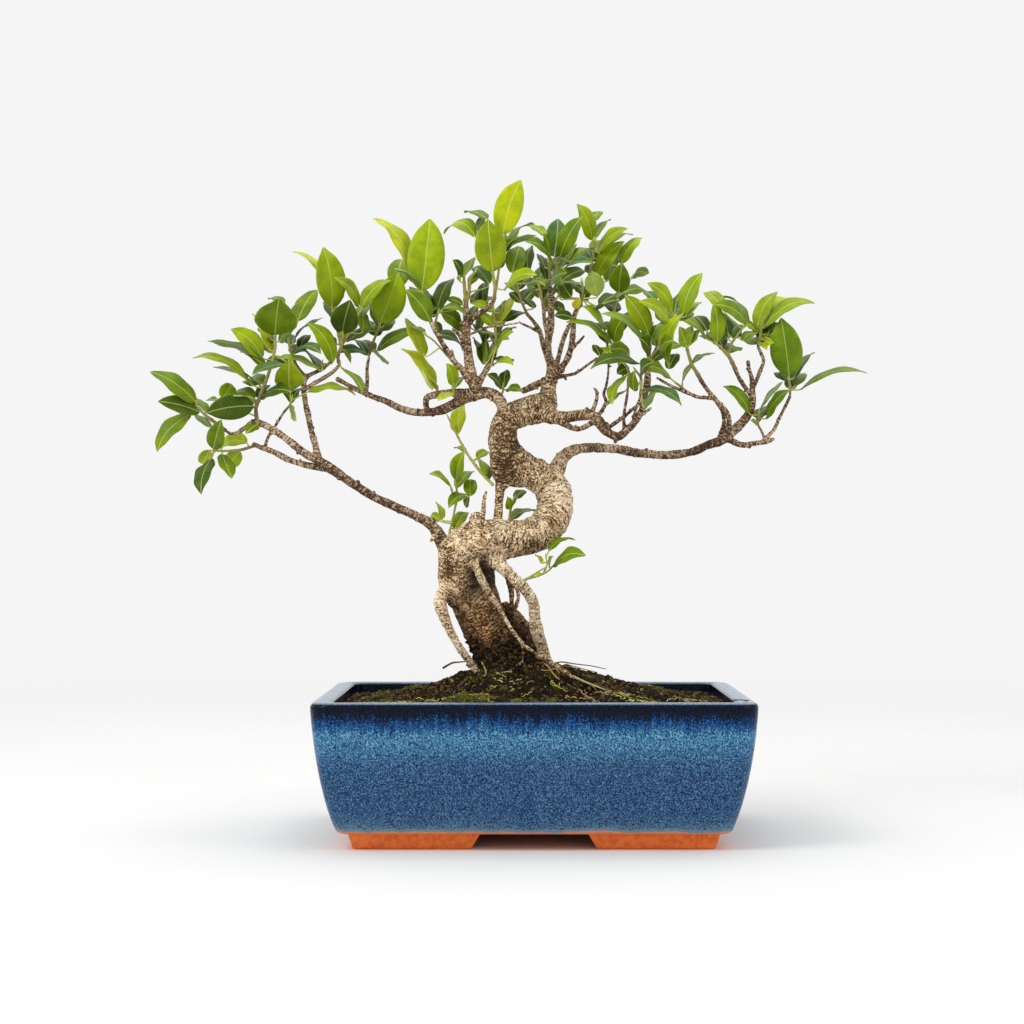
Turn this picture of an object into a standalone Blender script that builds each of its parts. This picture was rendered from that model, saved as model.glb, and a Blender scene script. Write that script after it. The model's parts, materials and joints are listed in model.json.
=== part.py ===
"""A small-leaved fig grown as a bonsai, in a rectangular glazed pot on four feet.

The pot is one fired piece with its feet. It holds a packed mass of soil over two screened drainage holes, with cushions of
moss on top. The tree is a trunk bent through an S with a loop in it, aerial roots, six main branches and their leafy shoots.
"""
import math

import bmesh
import bpy
from mathutils import Vector
from mathutils.bvhtree import BVHTree

for old in list(bpy.data.objects):
    bpy.data.objects.remove(old, do_unlink=True)

# ---------------------------------------------------------------- the front elevation
# Everything about the tree is laid out on a front elevation drawn in one-point perspective.
# A place is given by u (across) and v (down) on that drawing and by y, its depth in millimetres
# behind the middle of the pot. One drawing unit is 0.75 mm at the middle of the pot.
STATION = (-9.0, -1583.4, 215.7)   # the station point, mm, in the pot's own frame
PICTURE = 2110.0                   # distance of the drawing plane, in drawing units
MID_U, MID_V = 521.5, 544.5        # where the level sight line meets the drawing


def sight(u, v, y):
    """The point in the pot's frame, mm, that lies at (u, v) on the elevation and at depth y."""
    d = y - STATION[1]
    return Vector((STATION[0] + (u - MID_U) * d / PICTURE, y, STATION[2] - (v - MID_V) * d / PICTURE))


def seen_at(p):
    """Where a point shows on the elevation."""
    d = p.y - STATION[1]
    return (MID_U + (p.x - STATION[0]) * PICTURE / d, MID_V - (p.z - STATION[2]) * PICTURE / d)


def scale_at(y):
    return (y - STATION[1]) / PICTURE


# ---------------------------------------------------------------- the pot, mm
RIM_HALF = (157.0, 120.0)          # half width and half depth over the rim
POT_H = 105.0                      # rim height above the table
BODY_Z = 12.0                      # underside of the body, on top of the feet
FLOOR_Z = 24.0                     # top of the pot's floor, inside
OUTER = [(12.0, 19.5, 10.0), (13.2, 17.2, 11.0), (18.0, 15.0, 12.0), (32.0, 10.6, 12.5), (52.0, 6.0, 13.0),
         (72.0, 2.8, 13.5), (90.0, 0.8, 14.0), (102.2, 0.0, 14.0), (104.2, 0.9, 13.5), (105.0, 2.8, 12.5)]
INNER = [(105.0, 12.6, 9.0), (104.0, 14.4, 8.5), (99.0, 15.0, 8.0), (60.0, 16.6, 8.0), (36.0, 21.2, 8.0),
         (24.0, 26.5, 9.0)]                          # (height, inset from the rim's outline, corner radius)
FOOT_INSET = (24.5, 26.0)          # inset of a foot's outside from the rim's outline, across and front to back
FOOT_WIDE = 22.0
HOLE_X, HOLE_R = 62.0, 9.0         # the two drainage holes


def rounded_ring(half_w, half_d, radius, z, per_corner):
    """Points of a level rounded rectangle, counter-clockwise from above."""
    out = []
    for k, (sx, sy) in enumerate(((1, 1), (-1, 1), (-1, -1), (1, -1))):
        cx, cy = sx * (half_w - radius), sy * (half_d - radius)
        for i in range(per_corner + 1):
            a = math.pi / 2 * (k + i / per_corner)
            out.append((cx + radius * math.cos(a), cy + radius * math.sin(a), z))
    return out


def soil_height(x, y):
    """Height of the soil's surface, mm: a low plain under the rim with a mound round the trunk."""
    sx = 46.0 if x < -12.0 else 62.0
    mound = 30.0 * math.exp(-((x + 12.0) ** 2) / (2 * sx * sx) - (y - 2.0) ** 2 / (2 * 36.0 ** 2))
    ripple = 0.9 * math.sin(x * 0.11 + 1.3) * math.cos(y * 0.13) + 0.7 * math.sin(x * 0.05 - y * 0.08)
    return 97.5 + mound + ripple


# ---------------------------------------------------------------- the wood: lists of (u, v, y, radius in drawing units)
WOOD = {
    "trunk": [
        [(513, 694, 6, 27), (507, 672, 6, 25.5), (499, 655, 5, 24), (491, 638, 4, 22.8), (481.5, 617, 2, 22.4), (474, 597, 0, 23.6), (467, 577, -3, 27.2), (465.5, 560, -5, 27.0)],
        [(466, 566, -5, 25), (466, 554, -6, 26), (477, 545, -8, 24.5), (492, 541, -9, 21.5), (510, 539, -8, 19), (527, 537, -5, 18), (542, 530, 0, 18), (552, 517, 5, 18),
         (555, 502, 9, 18), (551, 488, 10, 18), (541, 478, 8, 16.8), (527, 470, 5, 15.6), (512.5, 459.5, 0, 16.2), (504, 446, -3, 15), (503, 431, -4, 14)],
        [(503, 438, -4, 13.6), (504, 426, -4, 13.6), (512, 417, -2, 13.6), (523, 412, 1, 14.4), (536, 409, 3, 15.4), (545, 405, 5, 13.8)],
        [(545, 409, 5, 12), (548, 398, 6, 9.6), (548, 390, 6, 7.8)],
        [(500, 444, -5, 10.5), (501, 456, -6, 11.5), (502.5, 466, -6, 12.3), (503.5, 475, -6, 11.8), (503.5, 482, -6, 8.6)],
        [(502, 470, -5, 11.5), (512, 474, -3, 12.6), (523, 477, 1, 11.5)],
        [(506, 607, 16, 6.6), (512, 620, 16, 10.4), (521, 637, 14, 14.2), (527, 656, 12, 17), (530, 684, 10, 18)],
    ],
    "branch_low_left": [
        [(456, 562, -5, 9), (446, 548, -7, 7.6), (438, 533, -11, 6.3), (430, 524, -15, 5.4), (418, 516.5, -19, 4.7), (398, 507.5, -26, 4.3), (372, 495.5, -34, 4.3), (348, 480.5, -42, 4.5), (327, 466, -48, 4.9), (318, 459, -50, 4.4)],
        [(324, 464, -49, 4.2), (305, 453, -50, 3.9), (288, 440, -50, 3.6), (270, 428, -49, 3.4), (256, 422, -48, 3.2), (245, 428, -50, 2.6), (234, 434, -53, 1.9), (224, 430, -55, 1.2)],
        [(331, 469, -48, 4), (308, 465, -44, 3.4), (288, 459, -42, 3.0), (268, 450, -41, 2.8), (253, 444, -41, 2.5)],
        [(319, 460, -50, 4), (315, 445, -46, 3.4), (309, 420, -40, 3), (305, 400, -34, 2.8), (304, 386, -28, 2.6), (307, 376, -24, 2.4), (320, 370, -16, 2.2), (332, 361, -10, 1.8)],
        [(304, 390, -30, 2.4), (318, 381, -22, 2.2), (333, 372, -14, 2.0), (340, 364, -8, 1.7)],
        [(265, 448, -41, 1.8), (268, 437, -39, 1.6), (276, 424, -38, 1.5), (284, 412, -38, 1.4)],
    ],
    "branch_upper_left": [
        [(507, 436, -4, 8), (503, 420, -6, 6.4), (502, 407, -7, 5.8), (496.5, 397, -8, 6), (486, 392.5, -9, 6.6), (471, 395.5, -8, 6.8), (457, 403, -4, 5.5), (444, 409, 0, 5), (430, 412, 4, 4.2),
         (415, 412, 9, 3.8), (400, 408, 14, 3.3), (385, 401, 20, 3), (370, 395, 26, 2.8), (355, 389, 30, 2.6), (344, 383, 33, 2.5), (337, 379, 35, 2.6)],
        [(474, 392, -10, 4.2), (460, 393, -13, 4), (448, 393, -14, 3.8), (436, 395, -11, 3.5), (427, 398, -6, 3.2), (426, 406, 0, 3), (430, 413, 4, 3)],
        [(366, 395, 28, 2.4), (367, 382, 30, 2.1), (367, 368, 32, 1.9), (369, 357, 34, 1.6)],
    ],
    "stem_centre": [
        [(479, 395, -9, 6.5), (474, 383, -12, 6), (470, 370, -16, 5.2), (468, 352, -20, 4.8), (466, 335, -23, 4.6), (467, 318, -26, 4.2), (466, 308, -28, 3.2)],
        [(472, 384, -13, 4), (463, 372, -18, 3.2), (453, 360, -24, 3), (445, 347, -30, 2.8), (437, 334, -36, 2.6), (431, 322, -40, 2.4)],
        [(469, 321, -26, 3.5), (480, 313, -31, 2.8), (490, 306, -36, 2.5), (494, 299, -40, 2.1)],
        [(464, 347, -21, 2.2), (460, 336, -26, 2), (453, 329, -30, 1.8)],
        [(455, 363, -22, 1.4), (452, 350, -27, 1.2)],
        [(477, 386, -11, 4), (486, 370, -12, 3.2), (493, 358, -14, 2.4), (496, 351, -16, 1.8)],
        [(469, 335, -24, 1.4), (485, 328, -30, 1.2), (505, 325, -33, 1.1), (518, 323, -36, 1.0)],
    ],
    "branch_apex": [
        [(548, 392, 6, 7.6), (549.5, 383, 6, 7.4), (552.5, 374, 6, 6.6), (551, 364, 6, 5), (547, 350, 6, 4.2), (550, 330, 7, 4), (551, 312, 8, 3.4), (550, 296, 9, 3), (550, 286, 10, 2.4)],
        [(549, 360, 4, 3.2), (543, 343, -4, 2.6), (539, 330, -10, 2.4), (533, 321, -14, 2), (527, 314, -18, 1.8)],
        [(539, 332, -9, 1.6), (530, 328, -14, 1.4), (519, 322, -19, 1.2)],
        [(554, 374, 8, 3.6), (560, 352, 14, 2.6), (565, 335, 20, 2.3), (571, 322, 26, 2), (579, 306, 32, 1.8), (586, 290, 36, 1.6)],
        [(555, 376, 4, 4.4), (566, 361, 0, 3.4), (571, 347, -4, 3), (573, 330, -8, 2.8), (575, 315, -12, 2.4), (581, 303, -16, 2)],
        [(556, 377, 6, 3), (572, 374, 10, 1.8), (584, 367, 14, 1.5), (597, 358, 18, 1.2)],
        [(552, 378, 10, 4.4), (538, 384, 20, 3.6), (523, 391, 28, 3.2)],
        [(571, 350, -4, 1.8), (580, 341, -9, 1.4), (584, 336, -12, 1.1)],
        [(552, 376, 9, 4), (550, 358, 26, 3), (548, 340, 42, 2.4), (545, 322, 56, 2), (543, 306, 66, 1.6)],
    ],
    "branch_mid_right": [
        [(543, 413, 0, 8.8), (560, 418, -8, 7), (576, 416, -16, 5.2), (590, 415, -22, 5.2), (598, 421, -26, 5.5), (604, 429, -30, 5.2), (611, 434, -33, 4.5), (618, 436, -36, 4.2),
         (627, 430, -40, 3.8), (637, 420, -44, 3.5), (643, 408, -46, 3.3), (645, 395, -47, 3.4), (647, 382, -48, 3.8), (648, 371, -48, 3.2)],
        [(560, 422, -9, 3.6), (573, 428, -20, 2.8), (584, 427, -25, 2.8), (596, 420, -26, 3)],
        [(591, 414, -22, 2.4), (596, 402, -25, 2), (597, 393, -27, 1.8), (594, 388, -28, 1.4)],
        [(596, 418, -25, 2.6), (603, 409, -24, 2.2), (606, 401, -22, 1.8), (604, 394, -20, 1.6), (607, 384, -18, 1.5), (608, 372, -16, 1.4), (609, 360, -14, 1.3)],
        [(604, 431, -30, 2.4), (618, 421, -34, 2), (630, 411, -38, 1.8), (642, 402, -46, 1.6)],
        [(624, 434, -38, 2.2), (624, 418, -42, 1.8), (626, 404, -44, 1.6), (628, 390, -42, 1.5), (628, 378, -40, 1.4)],
        [(632, 426, -42, 2), (636, 410, -48, 1.7), (640, 396, -52, 1.5), (641, 384, -54, 1.3)],
        [(641, 415, -45, 1.8), (651, 408, -50, 1.6)],
    ],
    "branch_low_right": [
        [(548, 484, 10, 9), (557, 469, 14, 8), (563, 458, 18, 6.5), (574, 450, 22, 5.5), (590, 448, 26, 4.9), (615, 449, 30, 4.6), (640, 453, 34, 4.4), (665, 455, 37, 4.2), (690, 452, 40, 4.2),
         (708, 445, 42, 4.5), (722, 440, 44, 5), (736, 429, 46, 4.8), (746, 418, 48, 4.5), (752, 404, 50, 3.9), (752, 391, 51, 3.4)],
        [(752, 395, 51, 3), (752, 380, 51, 2.5), (749, 369, 50, 2.2), (748, 361, 50, 1.8)],
        [(752, 397, 51, 2.6), (743, 384, 47, 2.2), (737, 373, 43, 2.2), (735, 368, 42, 2.2)],
        [(752, 390, 52, 2.4), (759, 374, 56, 2), (764, 362, 58, 1.9), (761, 353, 59, 1.8), (758, 347, 60, 1.6)],
        [(722, 441, 44, 3.4), (729, 425, 40, 2.8), (727, 413, 36, 2.8), (718, 402, 31, 2.8), (708, 391, 26, 2.5), (700, 379, 23, 2.2)],
        [(719, 440, 45, 2.8), (724, 424, 50, 2.3), (722, 411, 44, 2.1), (715, 400, 31, 1.9)],
        [(714, 398, 29, 2.4), (700, 397, 22, 2), (686, 392, 14, 1.9), (672, 386, 6, 1.6), (657, 378, -2, 1.3)],
        [(726, 438, 44, 3.6), (742, 445, 46, 2.9), (757, 443, 48, 2.6), (768, 441, 50, 2.4), (774, 439, 50, 2)],
        [(762, 442, 49, 2.2), (774, 429, 53, 1.9), (781, 415, 57, 1.8), (787, 403, 60, 1.7), (790, 396, 61, 1.6)],
        [(766, 441, 49, 1.8), (761, 430, 44, 1.3)],
    ],
    "root_left": [[(449, 584, -10, 5), (443, 592, -14, 5.2), (440, 603, -17, 5.4), (446, 620, -18, 5), (454, 637, -18, 4.3), (464, 653, -16, 4.2), (475, 668, -13, 4.4), (482, 682, -10, 4.6)]],
    "root_front": [[(473, 556, -19, 2.6), (479, 574, -27, 2.9), (489, 592, -24, 2.9), (500, 609, -22.5, 2.9), (511, 628, -23, 3), (522, 643, -24, 3.1), (535, 653, -26, 2.6), (548, 661, -29, 2.1), (561, 669, -33, 1.7), (574, 678, -37, 1.4)],
                   [(520, 642, -24, 2), (523, 652, -29, 1.3), (522, 664, -32, 1.0)]],
    "root_right": [[(493, 557, -14, 8), (502, 567, -19, 7), (515, 580, -22, 5.3), (527, 591.5, -20, 4.8), (533.5, 604, -17, 4.5), (534.5, 618, -13, 4.7), (537.5, 632, -8, 5.6), (542, 646, -3, 6.6), (546, 662, 1, 7.8), (549, 680, 3, 9)]],
    "root_bridge": [[(501, 480, -6, 6.2), (500, 491, -6, 5), (499, 502, -6.5, 4.2), (498.5, 512, -7, 4.3), (498, 526, -8, 5)]],
    "root_back": [[(503, 560, 2, 2.6), (508, 576, 5, 2.2), (511, 592, 9, 2.3), (511, 606, 12, 2.3), (512, 618, 14, 3)],
                  [(509, 578, 5, 1.3), (517, 590, 5, 1.2), (518, 600, 7, 1.2), (513, 612, 13, 1.3)]],
}
# The order in which a piece of wood gives way to the ones before it where they meet.
WOOD_ORDER = ["trunk", "branch_low_left", "branch_upper_left", "stem_centre", "branch_apex", "branch_mid_right", "branch_low_right",
              "root_left", "root_front", "root_right", "root_bridge", "root_back"]

# ---------------------------------------------------------------- the leafy shoots
# stems: (u, v, y, radius). leaves: blade base u, v, tip u, v, width as seen, tone, rise of the arch,
# depth of the blade's base from its stem, and -1 or 1 for a tip nearer or farther than its base.
# Tones: k dark, m middle, b bright, l lime, c cool blue-green, g grey-green, p pale underside, y yellow.
SHOOTS = {
    "shoot_far_left": ([[(226, 430, -55, 1.5), (213, 421, -58, 1.8), (204, 414, -60, 1.5), (198, 407, -61, 1.2)]], [
        (196, 402, 151, 370, 17, "m", 2, -2, -1), (197, 405, 162, 398, 10, "l", 2, 5, 1), (200, 412, 158, 401, 17, "k", 1, 0, -1), (191, 414, 156, 451, 16, "m", 3, -1, -1),
        (196, 415, 211, 429, 7, "g", 0, 4, 1), (206, 412, 194, 397, 7, "m", 0, 5, 1)]),
    "shoot_low_left": ([[(254, 446, -41, 1.6), (240, 450, -44, 1.5), (225, 451, -47, 1.3), (215, 451, -49, 1.2), (212, 456, -50, 1.1)]], [
        (213, 449, 221, 420, 18, "m", 0, -5, -1), (210, 450, 202, 464, 14, "l", 0, 3, 1), (247, 443, 220, 449, 13, "l", 4, 4, 1), (240, 451, 227, 468, 15, "b", 0, 3, 1),
        (222, 454, 232, 478, 14, "m", -2, -1, -1), (211, 459, 200, 493, 15, "k", 2, -2, -1)]),
    "shoot_left_top": ([[(257, 420, -48, 2.2), (256, 408, -49, 2.0), (260, 397, -50, 1.9), (264, 386, -49, 1.9), (268, 375, -48, 1.8), (272, 362, -46, 1.7), (275, 348, -44, 1.6), (275, 338, -43, 1.5)]], [
        (254, 406, 206, 413, 25, "k", 2, -9, -1), (222, 399, 232, 383, 15, "b", 0, -2, 1), (216, 400, 206, 400, 4, "m", 0, 3, 1), (254, 399, 230, 395, 9, "m", 4, 3, 1),
        (256, 404, 233, 397, 5, "p", 2, -1, -1), (261, 398, 291, 391, 11, "k", 3, 2, -1), (252, 385, 193, 356, 8, "b", 7, -3, -1), (261, 387, 212, 369, 3, "g", 4, 3, 1), (258, 424, 246, 433, 9, "m", 0, -5, -1),
        (275, 335, 279, 299, 41, "m", 0, -6, -1), (279, 342, 297, 303, 11, "g", -3, 0, 1), (284, 303, 268, 298, 5, "m", 1, 4, 1), (269, 350, 252, 313, 11, "l", 2, 2, 1), (274, 342, 259, 327, 9, "k", 0, 4, 1),
        (262, 358, 231, 329, 18, "b", 4, -3, -1), (266, 365, 206, 344, 8, "g", 6, -1, -1), (264, 368, 240, 352, 6, "l", 2, 3, 1), (288, 364, 252, 374, 8, "c", 1, -5, -1),
        (268, 352, 262, 340, 14, "k", 0, 6, 2), (272, 344, 263, 328, 9, "k", 0, 5, 1), (258, 398, 270, 384, 8, "c", 1, 6, 1), (262, 384, 246, 380, 14, "m", 2, 6, 2), (272, 366, 286, 356, 14, "k", 0, 5, 2)]),
    "shoot_left_drop": ([[(284, 412, -38, 1.3), (290, 405, -39, 1.2), (291, 401, -40, 1.1)]], [
        (290, 392, 289, 361, 27, "b", 0, -3, -1), (291, 403, 283, 385, 9, "k", 0, 3, 1), (308, 392, 356, 394, 7, "b", 5, 1, 1), (290, 406, 296, 421, 6, "p", 0, 0, -1), (292, 403, 299, 387, 8, "k", 0, 4, 1)]),
    "shoot_left_inner": ([[(306, 377, -24, 1.7), (297, 366, -20, 1.5), (291, 352, -17, 1.5), (288, 337, -15, 1.3)]], [
        (292, 348, 325, 320, 3, "g", 6, 1, 1), (293, 353, 321, 353, 6, "c", 6, -2, -1), (300, 348, 310, 334, 9, "k", 1, 4, 1), (298, 321, 317, 289, 17, "m", 2, 3, 1), (290, 364, 276, 361, 8, "l", 2, -2, -1), (294, 354, 304, 342, 14, "k", 0, 5, 2), (289, 344, 282, 328, 14, "k", 0, 5, 2)]),
    "shoot_left_twig": ([[(321, 369, -16, 1.2), (322, 364, -15, 0.9)]], [
        (319, 369, 304, 350, 6, "k", 1, 3, 1), (321, 371, 276, 357, 6, "b", 3, -4, -1), (333, 363, 308, 322, 16, "b", 4, -3, -1)]),
    "shoot_left_crown": ([[(339, 363, -9, 1.8), (338, 356, -6, 1.8), (341, 347, -2, 1.7), (342, 338, 0, 1.6)], [(341, 347, -2, 1.5), (337, 328, 8, 1.4), (333, 312, 10, 1.4)], [(341, 347, -2, 1.4), (352, 328, 8, 1.3), (360, 312, 10, 1.2)]], [
        (342, 334, 350, 301, 27, "k", 0, -4, -1), (334, 345, 328, 331, 6, "k", 0, 3, 1), (362, 333, 362, 309, 12, "m", 0, 3, 1), (346, 342, 378, 330, 8, "k", 2, 1, 1), (342, 339, 343, 331, 5, "l", 0, -6, -1),
        (342, 368, 363, 392, 8, "m", 2, -4, -1), (344, 350, 352, 363, 5, "m", 0, 3, 1),
        (332, 307, 323, 247, 28, "b", 2, -2, -1), (327, 282, 293, 251, 6, "l", 4, 4, 1), (359, 307, 336, 277, 12, "b", 3, -1, -1), (335, 307, 342, 290, 10, "k", 0, 4, 1), (362, 308, 391, 278, 13, "b", 3, 2, 1),
        (336, 322, 326, 300, 14, "k", 0, 5, 2), (354, 322, 366, 304, 14, "m", 0, 5, 2), (344, 340, 358, 330, 14, "k", 0, 5, 2)]),
    "shoot_left_back": ([[(369, 355, 34, 1.4), (372, 345, 35, 1.3), (376, 335, 36, 1.3), (379, 328, 36, 1.3)]], [
        (380, 323, 398, 273, 32, "b", 0, -4, -1), (379, 328, 372, 302, 12, "k", 0, 3, 1), (383, 327, 404, 300, 9, "k", -2, 4, 1), (377, 351, 425, 331, 11, "m", 4, 0, 1), (374, 352, 388, 364, 4, "g", 0, -3, -1), (376, 336, 366, 318, 15, "k", 0, 5, 2), (378, 332, 392, 318, 15, "m", 0, 5, 2), (370, 352, 360, 340, 14, "k", 1, 6, 2),
        (369, 355, 337, 353, 9, "c", 3, -2, -1), (367, 355, 352, 338, 6, "k", 1, 2, 1), (397, 287, 402, 257, 22, "m", 0, 10, 1)]),
    "shoot_fore_high": ([[(431, 322, -40, 2.0), (428, 312, -41, 1.8), (423, 300, -42, 1.9), (422, 294, -42, 1.9)]], [
        (422, 291, 430, 218, 36, "b", 0, -2, 1), (411, 271, 374, 217, 15, "l", 6, 4, 1), (430, 321, 406, 290, 19, "m", 2, -7, -1), (420, 290, 394, 270, 4, "g", 4, 2, -1), (432, 317, 427, 290, 11, "k", 0, 6, 1),
        (437, 313, 453, 276, 15, "k", 2, 7, 1), (424, 302, 414, 286, 15, "k", 0, 6, 2), (428, 312, 440, 300, 14, "k", 0, 6, 2)]),
    "shoot_fore_arch": ([[(434, 329, -37, 1.4), (436, 320, -34, 1.2), (438, 313, -33, 1.0)]], [
        (438, 311, 466, 314, 6, "m", 5, 2, 1), (441, 313, 463, 333, 14, "m", 3, 2, 1), (463, 305, 446, 299, 7, "m", 1, 6, 1), (435, 322, 441, 335, 8, "k", 0, 5, 1), (437, 336, 464, 350, 7, "c", 5, 5, 1)]),
    "shoot_fore_low": ([[(452, 361, -24, 1.2), (444, 352, -27, 1.0), (434, 341, -31, 1.0), (427, 336, -33, 0.9)]], [
        (424, 356, 405, 318, 13, "l", 0, -1, 1), (424, 332, 412, 326, 4, "m", 0, 2, 1)]),
    "shoot_loop_left": ([[(437, 394, -13, 1.8), (437, 387, -18, 1.5), (434, 382, -22, 1.2)]], [
        (437, 390, 401, 348, 11, "l", 3, -2, -1), (433, 388, 416, 360, 5, "p", -2, 6, 1)]),
    "shoot_loop_right": ([[(455, 397, -15, 1.8), (453, 389, -20, 1.5), (453, 384, -22, 1.2)]], [
        (453, 385, 447, 364, 12, "b", 2, 0, -1), (453, 393, 438, 401, 7, "l", 0, -6, -1), (455, 388, 464, 376, 7, "m", 1, 2, 1)]),
    "shoot_centre_stub": ([[(466, 311, -27.5, 2.8), (466, 302, -28.5, 2.6), (465, 292, -29, 1.9), (464, 281, -30, 1.6), (464, 276, -31, 1.3)], [(466, 302, -28.5, 1.8), (469, 293, -30, 1.8), (470, 279, -32, 1.7), (475, 272, -33, 1.2)]], [
        (462, 277, 454, 260, 8, "k", 1, -1, -1), (465, 275, 474, 256, 9, "m", -2, 0, 1), (460, 282, 460, 275, 4, "l", 0, -2, -1), (470, 285, 481, 276, 7, "b", 2, 4, 1), (489, 284, 472, 266, 13, "c", 2, 5, 1)]),
    "shoot_centre_peak": ([[(494, 301, -40, 1.9), (495, 288, -43, 1.7), (493, 274, -46, 1.6)], [(496, 290, -43, 1.3), (500, 262, -46, 1.3), (503, 242, -48, 1.2)]], [
        (493, 272, 488, 219, 30, "b", 0, -3, -1), (503, 235, 521, 180, 27, "l", 3, 1, 1), (475, 237, 443, 232, 10, "b", 10, 3, 1), (487, 219, 464, 211, 6, "m", 1, 5, 1), (477, 231, 486, 217, 9, "g", 0, 4, 1),
        (504, 290, 536, 274, 11, "b", 5, -2, -1), (500, 258, 538, 238, 5, "g", 5, 0, 1), (508, 252, 533, 222, 5, "m", 5, 2, 1), (507, 248, 506, 234, 7, "b", 0, 4, 1), (512, 244, 521, 236, 4, "m", 1, 5, 1), (497, 268, 488, 250, 15, "k", 0, 6, 2), (501, 252, 512, 238, 14, "k", 0, 6, 2)]),
    "shoot_centre_back": ([[(494, 300, -38, 1.4), (489, 299, -30, 1.1), (486, 305, -24, 1.0)]], [
        (484, 304, 485, 281, 12, "k", 0, 2, 1), (474, 304, 477, 289, 7, "k", 0, 3, 1), (480, 306, 492, 296, 7, "k", 1, 4, 1), (493, 312, 470, 302, 8, "b", 1, -2, -1), (478, 303, 466, 296, 5, "m", 1, 4, 1)]),
    "shoot_yellow": ([[(496, 352, -16, 1.6), (496, 336, -19, 1.5), (494, 320, -22, 1.4), (493, 312, -24, 1.2)]], [
        (501, 322, 519, 292, 9, "l", 2, 0, 1), (497, 325, 501, 302, 10, "b", 0, 2, 1), (493, 326, 478, 313, 9, "b", 1, 0, -1), (504, 322, 526, 312, 9, "k", 2, 4, 1), (499, 340, 516, 326, 6, "m", 1, 3, 1),
        (482, 363, 474, 336, 9, "m", 0, 5, 1), (485, 364, 486, 330, 6, "m", 1, 2, 1), (492, 366, 513, 364, 5, "b", 3, 1, -1), (496, 360, 514, 360, 3, "k", 1, 4, 1), (497, 347, 512, 331, 6, "b", 1, -2, -1), (490, 361, 496, 338, 6, "k", 0, 4, 1), (494, 356, 505, 336, 5, "b", 1, 2, 1), (486, 352, 480, 330, 5, "m", 0, 6, 1), (495, 345, 487, 330, 6, "k", 0, 6, 1), (480, 330, 488, 305, 8, "m", 0, 9, 1), (470, 326, 478, 303, 9, "k", 0, 9, 1), (499, 334, 510, 310, 7, "m", 1, 8, 1), (486, 340, 472, 322, 8, "k", 1, 10, 1), (503, 312, 512, 298, 8, "k", 1, 9, 1)]),
    "shoot_crook": ([[(500, 398, -8, 1.3), (503, 391, -10, 1.1), (503, 388, -11, 1.0)]], [
        (506, 390, 521, 391, 8, "m", 2, 0, -1), (504, 388, 506, 369, 11, "k", 0, 2, 1), (502, 388, 488, 374, 8, "k", 1, -1, -1)]),
    "shoot_apex_left": ([[(527, 314, -18, 1.5), (521, 300, -24, 1.3), (517, 286, -28, 1.2), (516, 278, -29, 1.1)]], [
        (512, 273, 520, 245, 20, "m", 1, -2, 1), (528, 272, 530, 244, 13, "k", 0, 3, 1), (534, 308, 520, 296, 6, "k", 0, 3, 1), (528, 283, 545, 285, 5, "m", 2, 2, -1), (521, 300, 530, 287, 7, "k", 0, 5, 1),
        (518, 290, 534, 277, 8, "k", 2, 6, 1), (520, 303, 509, 292, 8, "k", 1, 4, 1), (517, 292, 505, 282, 8, "m", 1, 5, 1)]),
    "shoot_apex_top": ([[(550, 285, 10, 1.8), (550, 274, 9, 1.6), (549, 262, 8, 1.5)], [(551, 284, 9, 1.3), (556, 270, 8, 1.3), (560, 258, 7, 1.2)]], [
        (554, 257, 558, 217, 22, "c", 0, 3, 1), (560, 257, 582, 216, 18, "m", 2, -3, -1), (550, 253, 544, 234, 9, "m", 0, -2, -1), (545, 236, 527, 225, 7, "b", 1, 2, 1), (553, 262, 527, 240, 9, "m", 3, -4, -1),
        (562, 268, 576, 243, 9, "m", 1, 2, 1), (562, 271, 592, 262, 6, "c", 3, -2, -1), (571, 262, 593, 247, 8, "m", 2, 1, 1), (545, 268, 538, 253, 7, "k", 0, 4, 1), (546, 280, 540, 262, 8, "k", 0, 6, 1), (553, 272, 546, 256, 15, "k", 0, 6, 2), (557, 268, 570, 254, 15, "k", 0, 6, 2), (551, 280, 564, 272, 14, "m", 0, -6, -2)]),
    "shoot_apex_right": ([[(586, 289, 36, 1.5), (590, 272, 34, 1.5), (593, 256, 33, 1.4), (594, 243, 32, 1.3)]], [
        (592, 240, 578, 204, 15, "b", 2, -3, -1), (590, 222, 602, 210, 9, "m", 0, 4, 1), (596, 238, 610, 218, 7, "m", 1, 2, 1), (598, 252, 627, 228, 11, "b", 3, -2, -1), (602, 251, 633, 233, 7, "m", 4, 3, 1),
        (596, 278, 624, 241, 16, "b", 2, -3, -1), (608, 281, 618, 249, 12, "b", 0, 2, 1), (622, 264, 642, 236, 12, "b", 2, 0, 1), (592, 262, 582, 246, 15, "k", 0, 6, 2), (594, 252, 608, 240, 15, "m", 0, 6, 2), (590, 274, 602, 264, 14, "k", 0, 6, 2)]),
    "shoot_apex_round": ([[(609, 360, -14, 1.3), (607, 340, -12, 1.3), (612, 318, -10, 1.3), (618, 296, -8, 1.3)]], [
        (619, 293, 622, 264, 20, "m", 0, -2, -1), (631, 279, 650, 275, 9, "g", 4, 4, 1), (606, 334, 584, 306, 7, "b", 3, -2, -1), (612, 344, 567, 320, 7, "b", 4, -4, -1), (614, 343, 625, 315, 16, "m", 2, -1, -1),
        (618, 336, 629, 310, 13, "k", 0, 4, 1), (622, 294, 652, 294, 8, "m", 4, 3, 1), (611, 356, 624, 376, 5, "m", 1, -4, -1), (616, 302, 628, 290, 9, "k", 1, 5, 1), (608, 344, 596, 332, 8, "k", 1, 6, 1), (608, 352, 600, 362, 7, "m", 0, -2, -1), (616, 312, 604, 298, 13, "k", 0, 5, 2), (609, 330, 598, 322, 13, "k", 0, 4, 2)]),
    "shoot_apex_inner": ([[(581, 303, -16, 1.6), (583, 292, -18, 1.3), (582, 282, -19, 1.2)]], [
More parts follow.
